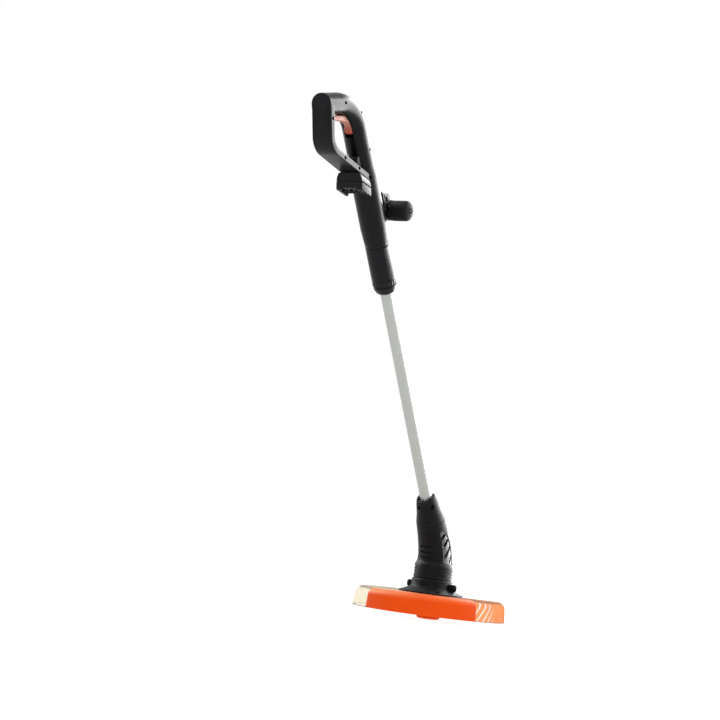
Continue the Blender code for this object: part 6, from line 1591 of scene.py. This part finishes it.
def make_line_cutter():
    """Steel blade on the inside of the right wing's skirt."""
    half = CUTTER_LENGTH / 2.0
    wall = GUARD_RADIUS - GUARD_DRAFT - GUARD_WALL - GAP
    back = -wall + 0.0005
    tip = -wall + CUTTER_REACH
    low = 0.0140
    place = Matrix.Rotation(CUTTER_ANGLE, 4, "Z")
    blade = block(
        "line_cutter", (-half, back, low), (half, back + CUTTER_THICKNESS, low + CUTTER_HEIGHT), place,
    )
    join(blade, block("lip", (-half, back, low), (half, tip, low + CUTTER_THICKNESS), place))
    teeth = []
    for number in range(4):
        centre = (number - 1.5) * 0.0048
        outline = (
            (centre - 0.0018, tip + 0.0005), (centre, tip - 0.0026), (centre + 0.0018, tip + 0.0005),
        )
        teeth.append(top_prism("tooth", outline, low - 0.001, low + 0.004, place))
    return cut(blade, *teeth, cutter_screw_hole())


def cutter_screw_hole():
    """Hole for the small screw of the line cutter, in the blade and in the clear side."""
    wall = GUARD_RADIUS - GUARD_DRAFT - GUARD_WALL - GAP
    place = Matrix.Rotation(CUTTER_ANGLE, 4, "Z") @ Matrix.Translation((0.0, -wall, 0.0190))
    face = -0.0005 - CUTTER_THICKNESS - GAP
    outline = stepped(face - 0.0012 - GAP, (0.0022 + GAP, face), (0.0012 + GAP, 0.0015 + GAP))
    return turned("cutter_screw", outline, 12, place @ Matrix.Rotation(math.pi / 2.0, 4, "X"))


def make_guard_wings():
    """The left and right clear wings, the right one drilled for the cutter."""
    left = guard_wing("guard_wing_left", SHIELD_LEFT, -GUARD_END)
    right = guard_wing("guard_wing_right", SHIELD_RIGHT, GUARD_END)
    return left, cut(right, cutter_screw_hole())


# Spool head

def make_spool_housing():
    """Cup over the spool with its hub and line holes."""
    top = SPOOL_CASE_TOP
    inner = SPOOL_CASE_RADIUS - SPOOL_CASE_WALL
    bore = SPINDLE_RADIUS + GAP / 2.0
    foot = SPOOL_CASE_FOOT + COVER_THICKNESS + GAP
    hub_top = RING_FOOT + 0.0010
    outline = (
        (bore, top - SPOOL_CASE_WALL), (inner, top - SPOOL_CASE_WALL), (inner, foot),
        (SPOOL_CASE_RADIUS, foot),
        *about(SPOOL_CASE_RADIUS, top, (0.0, -0.0060), (-0.0020, -0.0020), (-0.0060, 0.0)),
        (SPOOL_HUB_RADIUS + 0.0010, top), (SPOOL_HUB_RADIUS, hub_top), (bore, hub_top),
    )
    case = turned("spool_housing", outline, HEAD_SIDES)
    for side in (-1.0, 1.0):
        start = (side * (inner - 0.004), 0.0, EYELET_HEIGHT)
        cut(case, rod("bore", start, (side * 0.060, 0.0, EYELET_HEIGHT), EYELET_RADIUS - 0.0010 + GAP))
    return case


def make_spool_cover():
    """Snap-on ring under the spool with the opening for the bump cap."""
    foot = SPOOL_CASE_FOOT
    top = foot + COVER_THICKNESS
    hole = BUMP_CAP_RADIUS + 0.0006
    inner = SPOOL_CASE_RADIUS - SPOOL_CASE_WALL - GAP
    outline = (
        (hole, foot), (SPOOL_CASE_RADIUS - 0.0010, foot), (SPOOL_CASE_RADIUS, foot + 0.0010),
        (SPOOL_CASE_RADIUS, top), (inner, top), (inner, top + 0.0016), (inner - 0.0016, top + 0.0016),
        (inner - 0.0016, top), (hole, top),
    )
    return turned("spool_cover", outline, HEAD_SIDES)


def make_line_eyelets():
    """Two metal eyelets that the cutting line leaves through."""
    rim = SPOOL_CASE_RADIUS
    neck = EYELET_RADIUS - 0.0010
    start = rim - SPOOL_CASE_WALL - 0.0004
    outline = (
        (EYELET_BORE, start), (neck, start), (neck, rim + GAP), (EYELET_RADIUS, rim + GAP),
        (EYELET_RADIUS, rim + 0.0012), (EYELET_RADIUS - 0.0008, rim + 0.0020),
        (EYELET_BORE + 0.0006, rim + 0.0020), (EYELET_BORE, rim + 0.0014),
    )
    eyelets = []
    for name, side in (("line_eyelet_left", -1.0), ("line_eyelet_right", 1.0)):
        turn = Matrix.Rotation(side * math.pi / 2.0, 4, "Y")
        space = Matrix.Translation((0.0, 0.0, EYELET_HEIGHT)) @ turn
        eyelets.append(turned(name, outline, 12, space))
    return eyelets


def make_bump_cap():
    """Orange cap that is knocked on the ground to feed line."""
    top = SPOOL_FOOT - GAP
    inner = BUMP_CAP_RADIUS - 0.0026
    outline = (
        (0.0, 0.0),
        *about(
            BUMP_CAP_RADIUS, 0.0, (-0.0060, 0.0), (-0.0022, 0.0012), (-0.0004, 0.0040), (0.0, 0.0075),
        ),
        (BUMP_CAP_RADIUS, top), (inner, top), (inner, 0.0052), (0.0110, 0.0040), (0.0110, top),
        (0.0, top),
    )
    return turned("bump_cap", outline, HEAD_SIDES)


# Scene


def feed(tree, target, value):
    """Gives an input a plain value or colour, or links it to another node's output."""
    if isinstance(value, bpy.types.NodeSocket):
        tree.links.new(value, target)
    elif target.type == "RGBA":
        target.default_value = (*value, 1.0)
    else:
        target.default_value = value


def add_node(tree, kind, inputs, **settings):
    """A new shader node with its settings and inputs; gives its outputs."""
    made = tree.nodes.new("ShaderNode" + kind)
    for name, value in settings.items():
        setattr(made, name, value)
    for name, value in inputs.items():
        feed(tree, made.inputs[name], value)
    return made.outputs


def new_material(name, inputs):
    """A material with these inputs of its Principled shader, and its tree and shader."""
    material = bpy.data.materials.new(name)
    material.use_nodes = True
    tree = material.node_tree
    shader = tree.nodes["Principled BSDF"]
    for key, value in inputs.items():
        feed(tree, shader.inputs[key], value)
    return material, tree, shader


def own_place(tree):
    """A point's place in the object's own coordinates."""
    return add_node(tree, "TexCoord", {})["Object"]


def noise(tree, scale, detail=3.0):
    """A noise texture in the object's own coordinates."""
    inputs = {"Vector": own_place(tree), "Scale": scale, "Detail": detail, "Roughness": 0.55}
    return add_node(tree, "TexNoise", inputs)["Fac"]


def ramp(tree, source, low, high, start=0.0, end=1.0):
    """Maps a value from a stretch of its range to another one."""
    inputs = {"Value": source, "From Min": low, "From Max": high, "To Min": start, "To Max": end}
    return add_node(tree, "MapRange", inputs)["Result"]


def maths(tree, operation, *values, clamp=True):
    """The result of an operation on one or two values."""
    inputs = dict(enumerate(values))
    return add_node(tree, "Math", inputs, operation=operation, use_clamp=clamp)["Value"]


def add_bump(tree, shader, height, distance, strength):
    """Lets a height disturb the surface a little."""
    inputs = {"Height": height, "Distance": distance, "Strength": strength}
    feed(tree, shader.inputs["Normal"], add_node(tree, "Bump", inputs)["Normal"])


def shades(colour, darker, lighter):
    """A colour's darker and lighter shade."""
    return tuple(part * darker for part in colour), tuple(min(1.0, part * lighter) for part in colour)


def moulded(name, colour, roughness, grain=1400.0, depth=0.35, spread=0.10, worn=1.35, shine=0.5):
    """Moulded plastic: fine grain, slow colour drift and slightly lighter rubbed edges."""
    material, tree, shader = new_material(name, {"Specular IOR Level": shine})
    drift = ramp(tree, noise(tree, 26.0, 4.0), 0.3, 0.7)
    base = blend_colours(tree, drift, *shades(colour, 1.0 - spread, 1.0 + spread))
    pointed = add_node(tree, "NewGeometry", {})["Pointiness"]
    rubbed = tuple(min(1.0, part * worn + 0.004) for part in colour)
    worn_base = blend_colours(tree, ramp(tree, pointed, 0.505, 0.58, 0.0, 0.8), base, rubbed)
    feed(tree, shader.inputs["Base Color"], worn_base)
    rough = ramp(tree, noise(tree, 60.0), 0.3, 0.7, roughness - 0.05, roughness + 0.06)
    feed(tree, shader.inputs["Roughness"], rough)
    add_bump(tree, shader, noise(tree, grain, 2.0), 0.0001, depth)
    return material


def metal(name, colour, roughness, scale=(60.0, 60.0, 60.0), metallic=1.0):
    """Metal with faint drawn or turned streaks along the axis that scale leaves long."""
    material, tree, shader = new_material(name, {"Metallic": metallic})
    turn = {"Vector": own_place(tree), "Rotation": (-SHAFT_TILT, 0.0, 0.0), "Scale": scale}
    inputs = {"Vector": add_node(tree, "Mapping", turn)["Vector"], "Scale": 10.0, "Detail": 3.0}
    streaks = add_node(tree, "TexNoise", inputs)["Fac"]
    base = blend_colours(tree, ramp(tree, streaks, 0.3, 0.7), *shades(colour, 0.93, 1.05))
    feed(tree, shader.inputs["Base Color"], base)
    rough = ramp(tree, streaks, 0.3, 0.7, roughness - 0.04, roughness + 0.05)
    feed(tree, shader.inputs["Roughness"], rough)
    add_bump(tree, shader, streaks, 0.00005, 0.08)
    return material


def blend_colours(tree, factor, first, second):
    """One colour laid over another by a factor."""
    inputs = {"Factor": factor, "A": first, "B": second}
    return add_node(tree, "Mix", inputs, data_type="RGBA")["Result"]


def along_axis(tree, axis):
    """A point's place along one of the object's own axes."""
    return add_node(tree, "SeparateXYZ", {"Vector": own_place(tree)})[axis]


def pulse(tree, source, middle, half):
    """One where a value is at a place, falling to nothing at a distance from it."""
    away = maths(tree, "SUBTRACT", source, middle, clamp=False)
    return ramp(tree, maths(tree, "ABSOLUTE", away, clamp=False), half * 0.5, half, 1.0, 0.0)


def see_through(name, colour, edge_shade_colour, density, streaks=0.0):
    """Thin tinted polycarbonate, less clear seen edge on, with painted shade in browner lines along its
    rim and shoulder where the shell is seen edge on; with streaks, painted white swirl highlights near
    the shield's edge.
    """
    inputs = {"Roughness": 0.16, "IOR": 1.58, "Specular IOR Level": 0.0}
    material, tree, shader = new_material(name, inputs)
    facing = add_node(tree, "LayerWeight", {"Blend": 0.5})["Facing"]
    edge = ramp(tree, facing, 0.78, 0.96, 0.0, 0.85)
    height = along_axis(tree, "Z")
    # painted shade: browner lines at the heights of the shoulder and the rim, where the clear shell is
    # seen edge on
    shoulder = pulse(tree, height, RING_FOOT - 0.0014, 0.0016)
    rim = pulse(tree, height, GUARD_RIM + 0.0004, 0.0013)
    edge_shade_lines = maths(tree, "MAXIMUM", shoulder, rim)
    haze = ramp(tree, noise(tree, 30.0), 0.3, 0.7, density * 0.85, density * 1.15)
    drift = ramp(tree, noise(tree, 9.0, 2.0), 0.35, 0.65)
    base = blend_colours(tree, drift, *shades(colour, 1.0, 1.08))
    if streaks:
        turn = {"Vector": own_place(tree), "Rotation": (math.radians(38.0), 0.0, 0.0)}
        inputs = {
            "Vector": add_node(tree, "Mapping", turn)["Vector"], "Scale": 30.0, "Distortion": 3.0,
            "Detail": 1.0, "Detail Scale": 0.5,
        }
        wave = add_node(tree, "TexWave", inputs, bands_direction="Y")["Fac"]
        depth = along_axis(tree, "Y")
        near = maths(
            tree, "MULTIPLY", ramp(tree, depth, -0.060, -0.046), ramp(tree, depth, -0.004, -0.018),
        )
        # painted highlight: white swirl streaks laid over the colour near the shield's edge
        swirl_highlights = maths(tree, "MULTIPLY", ramp(tree, wave, 0.80, 0.98, 0.0, streaks), near)
        base = blend_colours(tree, swirl_highlights, base, (1.0, 0.95, 0.86))
    feed(tree, shader.inputs["Base Color"], blend_colours(tree, edge_shade_lines, base, edge_shade_colour))
    cloudy = maths(tree, "MAXIMUM", maths(tree, "MAXIMUM", haze, edge_shade_lines), edge)
    feed(tree, shader.inputs["Alpha"], cloudy)
    return material


def lay_over(material, share, pale):
    """Lays a paler colour over a material's own by a share of it."""
    tree = material.node_tree
    target = tree.nodes["Principled BSDF"].inputs["Base Color"]
    plain = target.links[0].from_socket
    feed(tree, target, blend_colours(tree, share, plain, pale))


def top_lit_plastic(name, colour, pale, low, high, soaked=0.45, shine=0.20):
    """Moulded plastic with a painted highlight: paler towards its upper side, where the light falls on
    it.
    """
    material = moulded(name, colour, 0.42, 1400.0, 0.05, 0.04, 1.02, shine)
    tree = material.node_tree
    shader = tree.nodes["Principled BSDF"]
    shader.inputs["Subsurface Weight"].default_value = soaked
    shader.inputs["Subsurface Radius"].default_value = (1.0, 0.35, 0.20)
    shader.inputs["Subsurface Scale"].default_value = 0.010
    # painted highlight: the pale colour is laid over the upper side
    lay_over(material, ramp(tree, along_axis(tree, "Z"), low, high), pale)
    return material


def painted_corner_light(material, pale):
    """Painted highlight: a paler colour laid over the guard's upper left corner."""
    tree = material.node_tree
    height = ramp(tree, along_axis(tree, "Z"), 0.034, 0.056)
    side = ramp(tree, along_axis(tree, "X"), 0.050, -0.030)
    lay_over(material, maths(tree, "MULTIPLY", height, side), pale)


def place_camera():
    """The photograph's long-lens view from behind and to the right, a little rolled."""
    level_share = math.cos(VIEW_ELEVATION)
    back = Vector(
        (
            math.sin(VIEW_AZIMUTH) * level_share, -math.cos(VIEW_AZIMUTH) * level_share,
            math.sin(VIEW_ELEVATION),
        ),
    )
    level = Vector((math.cos(VIEW_AZIMUTH), math.sin(VIEW_AZIMUTH), 0.0))
    above = back.cross(level)
    right = math.cos(VIEW_ROLL) * level + math.sin(VIEW_ROLL) * above
    up = -math.sin(VIEW_ROLL) * level + math.cos(VIEW_ROLL) * above
    depth = FOCAL_PIXELS / PIXELS_PER_METRE
    across = (ANCHOR_SEEN[0] - PHOTO_WIDTH / 2.0) / FOCAL_PIXELS * depth
    down = (ANCHOR_SEEN[1] - PHOTO_WIDTH / 2.0) / FOCAL_PIXELS * depth
    location = Vector((0.0, 0.0, ANCHOR_HEIGHT)) - right * across + up * down + back * depth
    data = bpy.data.cameras.new("photo_view")
    data.sensor_width = 36.0
    data.lens = FOCAL_PIXELS / PHOTO_WIDTH * data.sensor_width
    data.clip_start = 0.05
    data.clip_end = 60.0
    camera = bpy.data.objects.new("photo_view", data)
    bpy.context.scene.collection.objects.link(camera)
    turn = Matrix((right, up, back)).transposed().to_4x4()
    camera.matrix_world = Matrix.Translation(location) @ turn
    bpy.context.scene.camera = camera


def area_light(name, location, target, size, power, plain):
    """A soft box that looks at a point; one that is not plain shows in reflections only."""
    data = bpy.data.lights.new(name, "AREA")
    data.shape = "RECTANGLE"
    data.size, data.size_y = size
    data.energy = power
    light = bpy.data.objects.new(name, data)
    bpy.context.scene.collection.objects.link(light)
    light.location = location
    light.rotation_mode = "QUATERNION"
    light.rotation_quaternion = (target - location).to_track_quat("-Z", "Y")
    light.visible_diffuse = plain


def light_world():
    """Even white seen by the camera, and a dimmer room that is brighter behind the tool."""
    world = bpy.data.worlds.new("surroundings")
    world.use_nodes = True
    tree = world.node_tree
    seen = tree.nodes["Background"]
    feed(tree, seen.inputs["Color"], (1.0, 1.0, 1.0))
    seen.inputs["Strength"].default_value = 1.0
    direction = add_node(tree, "TexCoord", {})["Generated"]
    backward = add_node(tree, "SeparateXYZ", {"Vector": direction})["Y"]
    room = {"Color": (0.97, 0.985, 1.0), "Strength": ramp(tree, backward, -0.1, 0.75, 0.36, 1.0)}
    around = add_node(tree, "Background", room)["Background"]
    camera_ray = add_node(tree, "LightPath", {})["Is Camera Ray"]
    choice = add_node(tree, "MixShader", {"Fac": camera_ray, 1: around, 2: seen.outputs["Background"]})
    tree.links.new(choice["Shader"], tree.nodes["World Output"].inputs["Surface"])
    bpy.context.scene.world = world


def lay_floor():
    """Pale, faintly glowing floor under the tool."""
    half = 12.0
    floor = block("floor", (-half, -half, -0.03), (half, half, -0.0002))
    inputs = {
        "Roughness": 0.9, "Emission Color": (1.0, 1.0, 1.0), "Emission Strength": 0.90,
        "Specular IOR Level": 0.0,
    }
    material, tree, shader = new_material("pale_floor", inputs)
    tone = ramp(tree, noise(tree, 0.5, 1.0), 0.3, 0.7)
    base = blend_colours(tree, tone, (0.29, 0.29, 0.29), (0.31, 0.31, 0.31))
    feed(tree, shader.inputs["Base Color"], base)
    floor.data.materials.append(material)


def light_scene():
    """A white studio: one long box behind the right side, others above and at the sides."""
    middle = Vector((0.0, -0.25, 0.42))
    for name, way, reach, size, power, plain in (
        ("rim_box", (0.30, 0.92, 0.30), 2.7, (3.4, 3.2), 460.0, False),
        ("left_box", (-0.90, 0.10, 0.45), 2.6, (1.0, 2.2), 130.0, False),
        ("side_box", (0.95, 0.20, 0.35), 2.6, (1.0, 1.8), 18.0, True),
        ("top_box", (-0.15, -0.25, 1.0), 2.2, (1.8, 1.8), 32.0, True),
        ("key_box", (0.40, -0.80, 0.75), 2.8, (1.2, 1.2), 30.0, True),
    ):
        area_light(name, middle + Vector(way) * reach, middle, size, power, plain)
    light_world()
    lay_floor()


def put(item, body, look, *nodes):
    """Dresses a piece, hides the CAD nodes that it stands for and lets it ride on its body."""
    material, slot = look
    item.data.transform(item.matrix_world)
    item.matrix_world = Matrix.Identity(4)
    item.data.materials.clear()
    item.data.materials.append(material)
    item.data.shade_smooth()
    item.data.set_sharp_from_angle(angle=math.radians(32.0))
    if nodes:
        item.name = "v_" + nodes[0]
        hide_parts(*nodes)
    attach(item, body)


def put_named(body, look, *items):
    """Dresses pieces that each have the name of the CAD node that they stand for."""
    for item in items:
        put(item, body, look, item.name.split(".")[0])


def dress_handle(looks):
    """Everything that stays with the hand."""
    put_named("handle", looks["black"], *make_housing(), make_barrel_sleeve())
    put_named("handle", looks["grey"], make_battery_foot())
    put(make_label_pad(), "handle", looks["pad"])
    put_named("handle", looks["rubber"], make_terminal_block())
    put_named("handle", looks["black"], make_aux_bracket())
    put_named("handle", looks["dark_steel"], make_aux_bolt(), *make_housing_screws())
    put_named("trigger", looks["trigger"], make_trigger())
    put_named("lock_off", looks["trigger"], make_lock_button())


def dress_aux(looks):
    """The cross grip in front of the barrel."""
    put_named("aux_handle", looks["black"], make_aux_stem())
    for name, side in (("aux_grip_left", -1.0), ("aux_grip_right", 1.0)):
        put_named("aux_handle", looks["rubber"], make_aux_grip(name, side))
    put_named("aux_handle", looks["black_bolt"], make_grip_bolt())


def dress_shaft(looks):
    """The twist collar, the tube and the neck."""
    put_named("collar", looks["grey"], make_lock_collar())
    put_named("tube", looks["tube"], make_shaft_tube())
    put_named("tube", looks["matt"], make_neck())
    put_named("tube", looks["dark_steel"], *make_neck_screws())


def dress_head(looks):
    """The motor head with its guard."""
    put_named("head", looks["matt"], *make_motor_housing())
    for name, side in (("side_grille_left", -1.0), ("side_grille_right", 1.0)):
        put_named("head", looks["grille"], make_side_grille(name, side))
    put_named("head", looks["dark_steel"], *make_head_screws())
    put_named("head", looks["matt"], make_guard_ring())
    put_named("head", looks["orange"], make_guard_shield())
    wing_left, wing_right = make_guard_wings()
    put_named("head", looks["clear_left"], wing_left)
    put_named("head", looks["clear_right"], wing_right)
    put_named("head", looks["dark_steel"], *make_guard_screws())
    put_named("head", looks["steel"], make_line_cutter())


def dress_spool(looks):
    """The line head."""
    put_named("rotor", looks["black"], make_spool_housing(), make_spool_cover())
    put_named("rotor", looks["steel"], *make_line_eyelets())
    put_named("spool", looks["orange"], make_bump_cap())
    spring = make_spool_spring()
    put(spring, "rotor", looks["steel"], "spool_spring")
    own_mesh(spring)


def finish_hidden(looks):
    """Better materials on the CAD nodes that stay."""
    shown = {
        "steel": (
            "trigger_pin", "trigger_spring", "motor_can", "lower_bearing", "cutter_screw",
            "motor_shaft",
        ),
        "grey": ("trigger_switch", "tube_stop", "spool"), "rubber": ("collet",),
        "tin": ("battery_contacts",), "black": ("cooling_fan",), "line": ("spool_line",),
    }
    for look, names in shown.items():
        for name in names:
            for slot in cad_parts[name].material_slots:
                slot.material = looks[look][0]


def make_looks():
    """Each look's material and slot; a look that only hidden CAD nodes wear has no slot."""
    black = moulded("black_plastic_fine", (0.0030, 0.0034, 0.0042), 0.30, depth=0.04, shine=0.13)
    grey = moulded("dark_grey_plastic_fine", (0.0052, 0.0055, 0.0062), 0.36, depth=0.04, shine=0.14)
    pad = moulded("pad_plastic_fine", (0.0080, 0.0084, 0.0094), 0.34, depth=0.02, shine=0.20)
    grille = moulded("grille_plastic_fine", (0.085, 0.087, 0.092), 0.42, depth=0.03, shine=0.20)
    matt = moulded("matt_plastic_fine", (0.0034, 0.0037, 0.0044), 0.52, depth=0.04, shine=0.13)
    rubber = moulded("soft_grip_fine", (0.0040, 0.0040, 0.0046), 0.66, 2200.0, 0.15, shine=0.12)
    # Painted highlights: the guard's orange turns paler over its upper band and the trigger paler on
    # its top, where the light falls.
    orange = top_lit_plastic(
        "orange_plastic_fine", (0.74, 0.070, 0.0042), (0.96, 0.195, 0.045), 0.036, 0.054, 0.0, 0.06,
    )
    trigger = top_lit_plastic("trigger_plastic_fine", (0.42, 0.040, 0.012), (0.62, 0.36, 0.27), 0.7905, 0.8185)
    clear_left = see_through("clear_plastic_left", (0.98, 0.88, 0.67), (0.40, 0.31, 0.23), 0.36)
    # The right wing's deeper orange than the left's is painted: it stands for the orange shield
    # reflected in and seen through the clear plastic; its streaks are painted white swirl highlights.
    clear_right = see_through("clear_plastic_right", (0.88, 0.31, 0.12), (0.44, 0.21, 0.13), 0.90, 1.0)
    tube = metal("satin_tube_fine", (0.40, 0.41, 0.385), 0.38, (60.0, 60.0, 2.0), 0.5)
    steel = metal("steel_fine", (0.42, 0.43, 0.44), 0.30)
    dark_steel = metal("dark_steel_fine", (0.030, 0.031, 0.034), 0.42)
    tin = metal("tinned_brass_fine", (0.80, 0.78, 0.74), 0.30, metallic=0.6)
    line = moulded("line_plastic_fine", (0.62, 0.08, 0.02), 0.38, 600.0, 0.2, 0.08)
    # painted highlight on the guard's upper left corner
    painted_corner_light(orange, (0.98, 0.40, 0.17))
    return {
        "black": (black, "black_plastic"), "grey": (grey, "dark_grey_plastic"),
        "pad": (pad, "dark_grey_plastic"), "grille": (grille, "dark_grey_plastic"),
        "matt": (matt, "black_plastic"), "rubber": (rubber, "soft_grip"),
        "orange": (orange, "orange_plastic"), "trigger": (trigger, "trigger_plastic"),
        "clear_left": (clear_left, "clear_plastic"), "clear_right": (clear_right, "clear_plastic"),
        "tube": (tube, "satin_tube"), "steel": (steel, "steel"), "dark_steel": (dark_steel, "steel"),
        "black_bolt": (matt, "steel"), "tin": (tin, None), "line": (line, None),
    }


def build_scene():
    """Camera, light, materials and every piece."""
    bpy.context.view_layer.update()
    scene = bpy.context.scene
    scene.view_settings.view_transform = "Standard"
    scene.view_settings.look = "None"
    place_camera()
    light_scene()
    looks = make_looks()
    for dress in (dress_handle, dress_aux, dress_shaft, dress_head, dress_spool, finish_hidden):
        dress(looks)
    bpy.context.view_layer.update()


build_scene()
